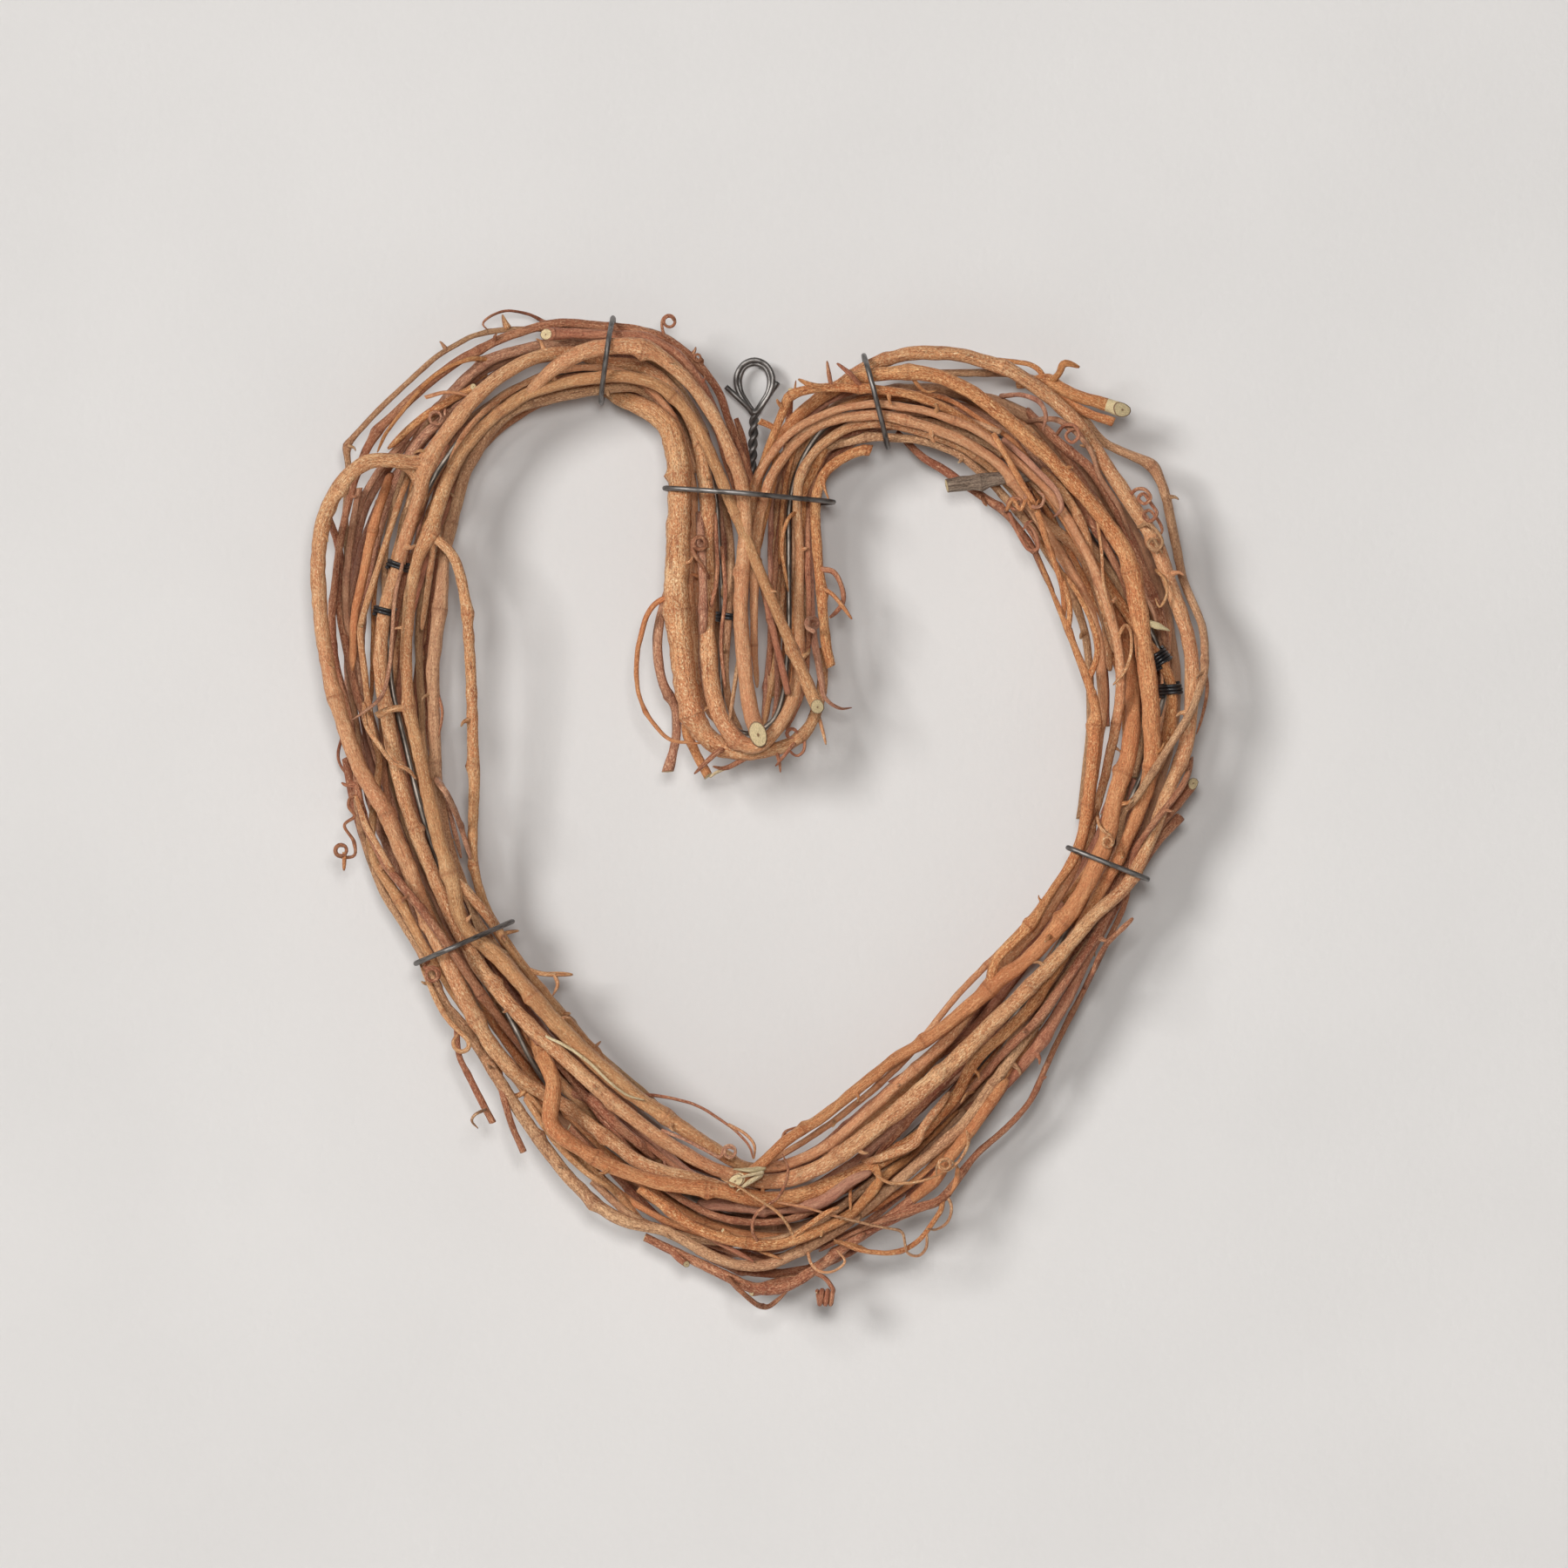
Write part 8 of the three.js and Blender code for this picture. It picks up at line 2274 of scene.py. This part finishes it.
@dataclass
class Sheaf:
    """The barked canes, one piece for each CAD node."""

    vineyard: Vineyard
    modeller: Modeller
    finishes: Finishes
    spurs: Spurs = Spurs()
    spurred_radius: float = 0.8

    def build(self) -> None:
        """Models every cane node again with bark, with spurs on its stouter canes."""
        nodes: dict[str, list[Strand]] = {}
        for strand in self.vineyard.strands.values():
            nodes.setdefault(strand.name.partition(".")[0], []).append(strand)
        for node, strands in nodes.items():
            stout = [strand for strand in strands if strand.path.radii.mean() > self.spurred_radius]
            whole = strands + [spur for strand in stout for spur in self.spurs.on(strand)]
            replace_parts(self.dress(whole, f"{node}_bark"), node)

    def scatter(self, strands: list[Strand]) -> None:
        """Models the strands of the undergrowth, one piece for each bark.

        Args:
            strands: The strands.
        """
        for bark in Bark:
            chosen = [strand for strand in strands if strand.bark is bark]
            if chosen:
                self.dress(chosen, f"undergrowth_{bark.name.lower()}")

    def dress(self, strands: list[Strand], name: str) -> bpy.types.Object:
        """Models strands as one barked piece.

        Args:
            strands: The strands. Their barks follow the cut wood in the piece's materials, in the order
                they first appear.
            name: The name of the piece.

        Returns:
            The piece.
        """
        mesh = self.modeller.model(strands, name)
        mesh.materials.append(self.finishes.cut)
        for bark in dict.fromkeys(strand.bark for strand in strands):
            mesh.materials.append(self.finishes.barks[bark])
        return set_down(mesh)


def set_down(mesh: bpy.types.Mesh) -> bpy.types.Object:
    """Puts a finished mesh in the scene as a piece that rides with the wreath.

    Args:
        mesh: The mesh, in metres where it belongs.

    Returns:
        The piece.
    """
    piece = bpy.data.objects.new(mesh.name, mesh)
    bpy.context.scene.collection.objects.link(piece)
    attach(piece, "root")
    LOG.info("%s: %d faces", piece.name, len(mesh.polygons))
    return piece


@dataclass
class Wirework:
    """Everything of wire: the frame, the ties, the bindings and the hanging eye.

    Lengths are in millimetres.
    """

    nodes: dict[str, bpy.types.Object]
    finishes: Finishes
    sides: int = 12
    end_round: float = 0.25
    frame_step: float = 1.6
    ring_step: float = 0.7
    ring_spread: float = 0.8
    tail_length: float = 5.5
    tail_spread: float = 0.55
    tail_turn: float = 0.9
    tail_start: float = 0.08
    tail_thin: float = 0.05
    twist_pitch: float = 6.4
    twist_step: float = 0.5
    twist_thin: float = 0.02
    twist_bite: float = 0.03
    eye_step: float = 0.8
    eye_samples: int = 8
    binding_wire: float = 0.95
    binding_pitch: float = 1.04
    binding_step: float = 0.5
    lines: list[Path] = field(default_factory=list)

    CUTS = 72
    CUT_REACH = 60.0
    LEAST_AWAY = 0.3
    LARGEST_MISS = 2.5
    TAIL_SAMPLES = 12
    TIES = (
        ("tie_left_lobe", (704, 365), (691, 455)),
        ("tie_centre", (768, 562), (942, 576)),
        ("tie_left_side", (484, 1103), (576, 1063)),
        ("tie_right_side", (1228, 974), (1309, 1006)),
        ("tie_right_lobe", (994, 418), (1019, 513)),
    )
    BINDINGS = (
        ("binding_left_high", "cane_long", (456, 642), 2.6),
        ("binding_left_low", "cane_long", (441, 705), 2.6),
        ("binding_finger", "cane_green", (836, 706), 2.6),
        ("binding_right_high", "cane_elbow", (1328, 752), 4.7),
        ("binding_right_low", "cane_elbow", (1341, 786), 3.6),
    )
    EYE_TURNS = (
        (
            (866, 472, 0.95), (877, 460, 0.95), (885, 446, 0.95), (887, 430, 0.95),
            (879, 416, 0.95), (866, 411, 0.95), (853, 416, 0.95), (845, 430, 0.95),
            (847, 446, 0.95), (855, 460, 0.95),
        ),
        (
            (866, 470, -0.95), (875, 459, -0.95), (882, 446, -0.95), (883, 431, -0.95),
            (877, 419, -0.95), (866, 415, -0.95), (855, 419, -0.95), (849, 431, -0.95),
            (850, 446, -0.95), (857, 459, -0.95),
        ),
    )
    EYE_ENDS = (
        ((833, 442, 2.4), (848, 456, 2.3), (860, 468, 1.4), (866, 477, 0.4)),
        ((893, 436, -2.3), (881, 454, -2.2), (872, 468, -1.3), (866, 477, -0.4)),
    )
    SHANK_TOP = (866, 469)
    SHANK_FOOT = (861, 572)

    def build(self, vineyard: Vineyard) -> list[bpy.types.Object]:
        """Models every wire again.

        Args:
            vineyard: The canes that the bindings hold.

        Returns:
            The pieces.
        """
        pieces = [self.frame_wire(vineyard)]
        pieces += [self.tie(*tie) for tie in self.TIES]
        pieces += [self.binding(*binding, vineyard) for binding in self.BINDINGS]
        pieces.append(self.eye())
        return pieces

    def wire(self, lines: list[Path], name: str, finish: bpy.types.Material) -> bpy.types.Object:
        """One piece of several lengths of round wire.

        Args:
            lines: The middle of each length.
            name: The node that the piece stands for.
            finish: Its material.

        Returns:
            The piece.
        """
        self.lines += lines
        bm = bmesh.new()
        layer = bm.verts.layers.float_vector.new("grain")
        for line in lines:
            self.sweep(bm, line)
        for face in bm.faces:
            face.smooth = True
        mesh = bpy.data.meshes.new(f"{name}_wire")
        grain = np.array([vert[layer] for vert in bm.verts])
        bm.verts.layers.float_vector.remove(layer)
        bm.to_mesh(mesh)
        bm.free()
        Modeller.write(mesh, "grain", "FLOAT_VECTOR", grain)
        mesh.materials.append(finish)
        piece = set_down(mesh)
        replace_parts(piece, name)
        return piece

    def sweep(self, bm: bmesh.types.BMesh, line: Path) -> None:
        """Extrudes a round section along a line.

        Args:
            bm: The mesh that the wire is added to.
            line: The middle of the wire.
        """
        layer = bm.verts.layers.float_vector["grain"]
        firsts, seconds = turned_frames(line)
        count = len(line.places) - (1 if line.closed else 0)
        section = bmesh.ops.create_circle(bm, cap_ends=False, segments=self.sides, radius=1.0)["verts"]
        turns = [math.atan2(vert.co.y, vert.co.x) for vert in section]
        first_edges = list(dict.fromkeys(edge for vert in section for edge in vert.link_edges))
        edges, ring = first_edges, section
        for i in range(count):
            if i:
                made = bmesh.ops.extrude_edge_only(bm, edges=edges)["geom"]
                edges = [part for part in made if isinstance(part, bmesh.types.BMEdge)]
                edges = [edge for edge in edges if not (set(edge.verts) & set(ring))]
                fresh = {part for part in made if isinstance(part, bmesh.types.BMVert)}
                ring = [self.partner(vert, fresh) for vert in ring]
            radius = float(line.radii[i]) * MM
            for vert, turn in zip(ring, turns):
                across = firsts[i] * math.cos(turn) + seconds[i] * math.sin(turn)
                vert.co = line.places[i] * MM + across * radius
                vert[layer] = (math.cos(turn), math.sin(turn), float(line.along[i]))
        if line.closed:
            bmesh.ops.bridge_loops(bm, edges=edges + first_edges)
        else:
            for loop in (first_edges, edges):
                cap = bmesh.ops.contextual_create(bm, geom=loop)["faces"]
                rim = self.end_round * MM * line.radii[0]
                bmesh.ops.inset_individual(bm, faces=cap, thickness=rim)
        bmesh.ops.recalc_face_normals(bm, faces=bm.faces)

    @staticmethod
    def partner(vert: bmesh.types.BMVert, fresh: set) -> bmesh.types.BMVert:
        """The new corner that was extruded from an old one."""
        for edge in vert.link_edges:
            other = edge.other_vert(vert)
            if other in fresh:
                return other
        raise ValueError("an extruded corner has no partner")

    def frame_wire(self, vineyard: Vineyard) -> bpy.types.Object:
        """The steel wire inside the bundle."""
        rows = [(x, y, depth, TIE_WIRE / UNIT) for x, y, depth in FRAME_ROUTE]
        strand = vineyard.settle(
            "frame_wire", Bark.GREY, np.array(rows, dtype=float), loose=True, closed=True
        )
        line = strand.path.resampled(self.frame_step)
        del vineyard.strands["frame_wire"]
        return self.wire([line], "frame_wire", self.finishes.dull_steel)

    def ring_line(self, node: str, middle: np.ndarray, across: np.ndarray, radius: float) -> Path:
        """The closed middle line of a packed ring of wire round a place.

        Args:
            node: The CAD node.
            middle: A place inside the ring.
            across: The direction across the ring in front of the wall.
            radius: The wire's radius.

        Returns:
            The ring's middle line.
        """
        tube = PackedTube(self.nodes[node])
        back = np.array([0.0, 1.0, 0.0])
        along = np.cross(across, back)
        spots = []
        for angle in np.linspace(0, math.tau, self.CUTS, endpoint=False):
            outwards = across * math.cos(angle) + back * math.sin(angle)
            normal = -across * math.sin(angle) + back * math.cos(angle)
            best, lowest = None, math.inf
            for spot, size in tube.rings(middle, normal, self.CUT_REACH):
                away = spot - middle
                if away @ outwards <= self.LEAST_AWAY:
                    continue
                cost = abs(float(away @ along)) + 2 * abs(math.log(size / radius))
                if cost < lowest:
                    best, lowest = spot, cost
            if best is not None and lowest < self.LARGEST_MISS:
                spots.append(best)
        smooth = softened(np.array(spots + spots[:1]), self.ring_spread, True)
        return Path(smooth, np.full(len(smooth), radius), closed=True).resampled(self.ring_step)

    def tie(self, name: str, start: tuple[float, float], stop: tuple[float, float]) -> bpy.types.Object:
        """One tie of steel wire with its twisted ends behind.

        Args:
            name: Its node.
            start: The drawn place where it comes from behind.
            stop: The drawn place where it goes behind.

        Returns:
            The piece.
        """
        low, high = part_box(name)
        first, last = place(*start), place(*stop)
        middle = (first + last) / 2
        middle[1] = (low.y + high.y) / 2 / MM
        across = unit((last - first) * np.array([1.0, 0.0, 1.0]))
        ring = self.ring_line(name, middle, across, TIE_WIRE / 2)
        back = ring.places[int(ring.places[:, 1].argmax())]
        along = np.array([-across[2], 0.0, across[0]])
        return self.wire([ring] + self.tails(back, along), name, self.finishes.steel)

    def tails(self, start: np.ndarray, along: np.ndarray) -> list[Path]:
        """The two twisted ends of a tie, behind the canes.

        Args:
            start: Where they leave the ring.
            along: The direction in which they run.

        Returns:
            Two lines.
        """
        radius = TIE_WIRE / 2 - self.tail_thin
        level = BACK_Y + WIRE_GAP + self.tail_spread + radius
        lines = []
        for side in (-1, 1):
            spots = [start.copy()]
            for share in np.linspace(self.tail_start, 1, self.TAIL_SAMPLES):
                angle = share * self.tail_turn * math.tau
                spot = start + along * share * self.tail_length
                spot[1] = level + side * self.tail_spread * math.cos(angle)
                spot[0] += side * self.tail_spread * math.sin(angle) * -along[2]
                spot[2] += side * self.tail_spread * math.sin(angle) * along[0]
                spots.append(spot)
            lines.append(Path(np.array(spots), np.full(len(spots), radius)))
        return lines

    def binding(
        self, name: str, cane: str, at: tuple[float, float], turns: float, vineyard: Vineyard
    ) -> bpy.types.Object:
        """A few turns of black wire round a cane and the frame wire.

        Args:
            name: Its node.
            cane: The cane that it holds.
            at: Its drawn place.
            turns: How often it goes round.
            vineyard: The canes.

        Returns:
            The piece.
        """
        path = vineyard.strands[cane].path
        low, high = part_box(name)
        along = unit(path.ahead[path.nearest(place(*at))] * np.array([1.0, 0.0, 1.0]))
        across = np.array([-along[2], 0.0, along[0]])
        middle = np.array([(low[k] + high[k]) / 2 / MM for k in range(3)])
        ring = self.ring_line(name, middle, across, BINDING_WIRE / 2)
        spots = []
        for mark in np.linspace(0, turns, round(len(ring.places) * turns)):
            here, _, _ = ring.at((mark % 1.0) * ring.length)
            spots.append(here + along * (mark - turns / 2) * self.binding_wire * self.binding_pitch)
        radii = np.full(len(spots), self.binding_wire / 2)
        coil = Path(np.array(spots), radii).resampled(self.binding_step)
        return self.wire([coil], name, self.finishes.black)

    def eye(self) -> bpy.types.Object:
        """The hanging eye: two turns of wire whose ends twist into a shank."""
        lines = []
        turns = [(turn, True) for turn in self.EYE_TURNS]
        ends = [(end, False) for end in self.EYE_ENDS]
        for drawn, closed in turns + ends:
            corners = np.array([place(x, y) * (1, 0, 1) - (0, before, 0) for x, y, before in drawn])
            line = smooth_curve(corners, closed, self.eye_samples)
            radii = np.full(len(line), TIE_WIRE / 2)
            lines.append(Path(line, radii, closed).resampled(self.eye_step))
        top = place(*self.SHANK_TOP) * (1, 0, 1)
        foot = place(*self.SHANK_FOOT) * (1, 0, 1) + (0, 1, 0)
        down = unit(foot - top)
        right = unit(np.array([1.0, 0.0, 0.0]) - down * down[0])
        deep = np.cross(down, right)
        length = float(np.linalg.norm(foot - top))
        marks = np.linspace(0, length, round(length / self.twist_step))
        for side in (0.0, math.pi):
            angles = marks / self.twist_pitch * math.tau + side
            spread = right * np.cos(angles)[:, None] + deep * np.sin(angles)[:, None]
            spots = top + down * marks[:, None] + spread * (TIE_WIRE / 2 - self.twist_bite)
            lines.append(Path(spots, np.full(len(spots), TIE_WIRE / 2 - self.twist_thin)))
        return self.wire(lines, "hanging_eye", self.finishes.steel)


@dataclass(frozen=True)
class Lamp:
    """A soft round light that faces the wreath: its place and width in metres, and its watts."""

    name: str
    spot: tuple[float, float, float]
    size: float
    power: float
    colour: Colour

    def build(self, aim: tuple[float, float, float]) -> None:
        """Adds the light.

        Args:
            aim: The place that it faces.
        """
        lamp = bpy.data.lights.new(self.name, "AREA")
        lamp.shape = "DISK"
        lamp.size = self.size
        lamp.energy = self.power
        lamp.color = self.colour
        holder = bpy.data.objects.new(self.name, lamp)
        holder.location = self.spot
        holder.rotation_mode = "QUATERNION"
        holder.rotation_quaternion = (Vector(aim) - Vector(self.spot)).to_track_quat("-Z", "Y")
        holder.visible_camera = False
        bpy.context.scene.collection.objects.link(holder)


@dataclass(frozen=True)
class Studio:
    """The wall, the floor, the lights and the camera. Sizes and places are in metres."""

    backdrop: float = 3.2
    wall_y: float = 0.0045
    wall_height: float = 0.4
    floor_z: float = -0.75
    wall_paint: Colour = (0.612, 0.602, 0.597)
    floor_paint: Colour = (0.66, 0.645, 0.625)
    lamps: tuple[Lamp, ...] = (
        Lamp("front", (0.02, -1.6, 0.12), 0.32, 11.4, (1.0, 0.985, 0.965)),
        Lamp("key", (-6.15, -8.25, 2.85), 3.6, 880.0, (1.0, 0.985, 0.965)),
        Lamp("back", (0.5, 1.7, 0.9), 1.2, 13.0, (1.0, 0.985, 0.96)),
    )
    aim: tuple[float, float, float] = (0.0, 0.0, -0.12)
    air: Colour = (1.0, 0.97, 0.93)
    air_strength: float = 0.055
    camera_away: float = 2.5
    camera_x: float = 0.0085
    camera_z: float = -0.11675
    focus_plane: float = -0.012
    frame_width: float = 0.45
    sensor: float = 36.0
    far_clip: float = 20.0

    def build(self) -> None:
        """Sets up everything round the wreath."""
        self.plane("wall", (0.0, self.wall_y, self.wall_height), self.wall_paint, upright=True)
        middle = (0.0, self.wall_y - self.backdrop / 2, self.floor_z)
        self.plane("floor", middle, self.floor_paint, upright=False)
        for lamp in self.lamps:
            lamp.build(self.aim)
        world = bpy.data.worlds.new("studio")
        world.use_nodes = True
        ground = world.node_tree.nodes["Background"]
        ground.inputs["Color"].default_value = (*self.air, 1.0)
        ground.inputs["Strength"].default_value = self.air_strength
        bpy.context.scene.world = world
        bpy.context.scene.view_settings.view_transform = "Standard"
        self.camera()

    def plane(
        self, name: str, middle: tuple[float, float, float], paint: Colour, upright: bool
    ) -> None:
        """Adds a flat backdrop.

        Args:
            name: Its name.
            middle: Its middle.
            paint: Its colour.
            upright: Whether it stands and faces forwards, clear from behind.
        """
        bm = bmesh.new()
        bmesh.ops.create_grid(bm, x_segments=1, y_segments=1, size=self.backdrop / 2)
        if upright:
            for vert in bm.verts:
                vert.co = (vert.co.x, 0.0, vert.co.y)
            bmesh.ops.recalc_face_normals(bm, faces=bm.faces)
            for face in bm.faces:
                if face.normal.y > 0:
                    face.normal_flip()
        bmesh.ops.translate(bm, vec=middle, verts=bm.verts)
        mesh = bpy.data.meshes.new(name)
        bm.to_mesh(mesh)
        bm.free()
        mesh.materials.append(PlasterFinish(name, paint, upright).material())
        backdrop = bpy.data.objects.new(name, mesh)
        bpy.context.scene.collection.objects.link(backdrop)
        backdrop.visible_shadow = not upright
        backdrop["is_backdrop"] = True

    def camera(self) -> None:
        """Adds the camera, straight in front of the wreath."""
        data = bpy.data.cameras.new("camera")
        data.sensor_width = self.sensor
        data.lens = self.sensor * self.camera_away / self.frame_width
        data.clip_end = self.far_clip
        holder = bpy.data.objects.new("camera", data)
        holder.location = (self.camera_x, self.focus_plane - self.camera_away, self.camera_z)
        holder.rotation_euler = (math.pi / 2, 0.0, 0.0)
        bpy.context.scene.collection.objects.link(holder)
        bpy.context.scene.camera = holder


def main() -> None:
    """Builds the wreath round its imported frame."""
    logging.basicConfig(level=logging.INFO, format="%(name)s %(message)s")
    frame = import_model()
    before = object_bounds()
    Studio().build()
    finishes = Finishes()
    vineyard = Vineyard(frame["nodes"])
    vineyard.grow()
    LOG.info("%d canes and shoots", len(vineyard.strands))
    sheaf = Sheaf(vineyard, Modeller(coarse=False), finishes)
    sheaf.build()
    wirework = Wirework(frame["nodes"], finishes)
    wirework.build(vineyard)
    canes = [strand.path for strand in vineyard.strands.values()]
    thicket = Thicket(canes + wirework.lines, before[0][1] / MM)
    sheaf.scatter(Undergrowth(thicket).grow())


if __name__ == "__main__":
    main()
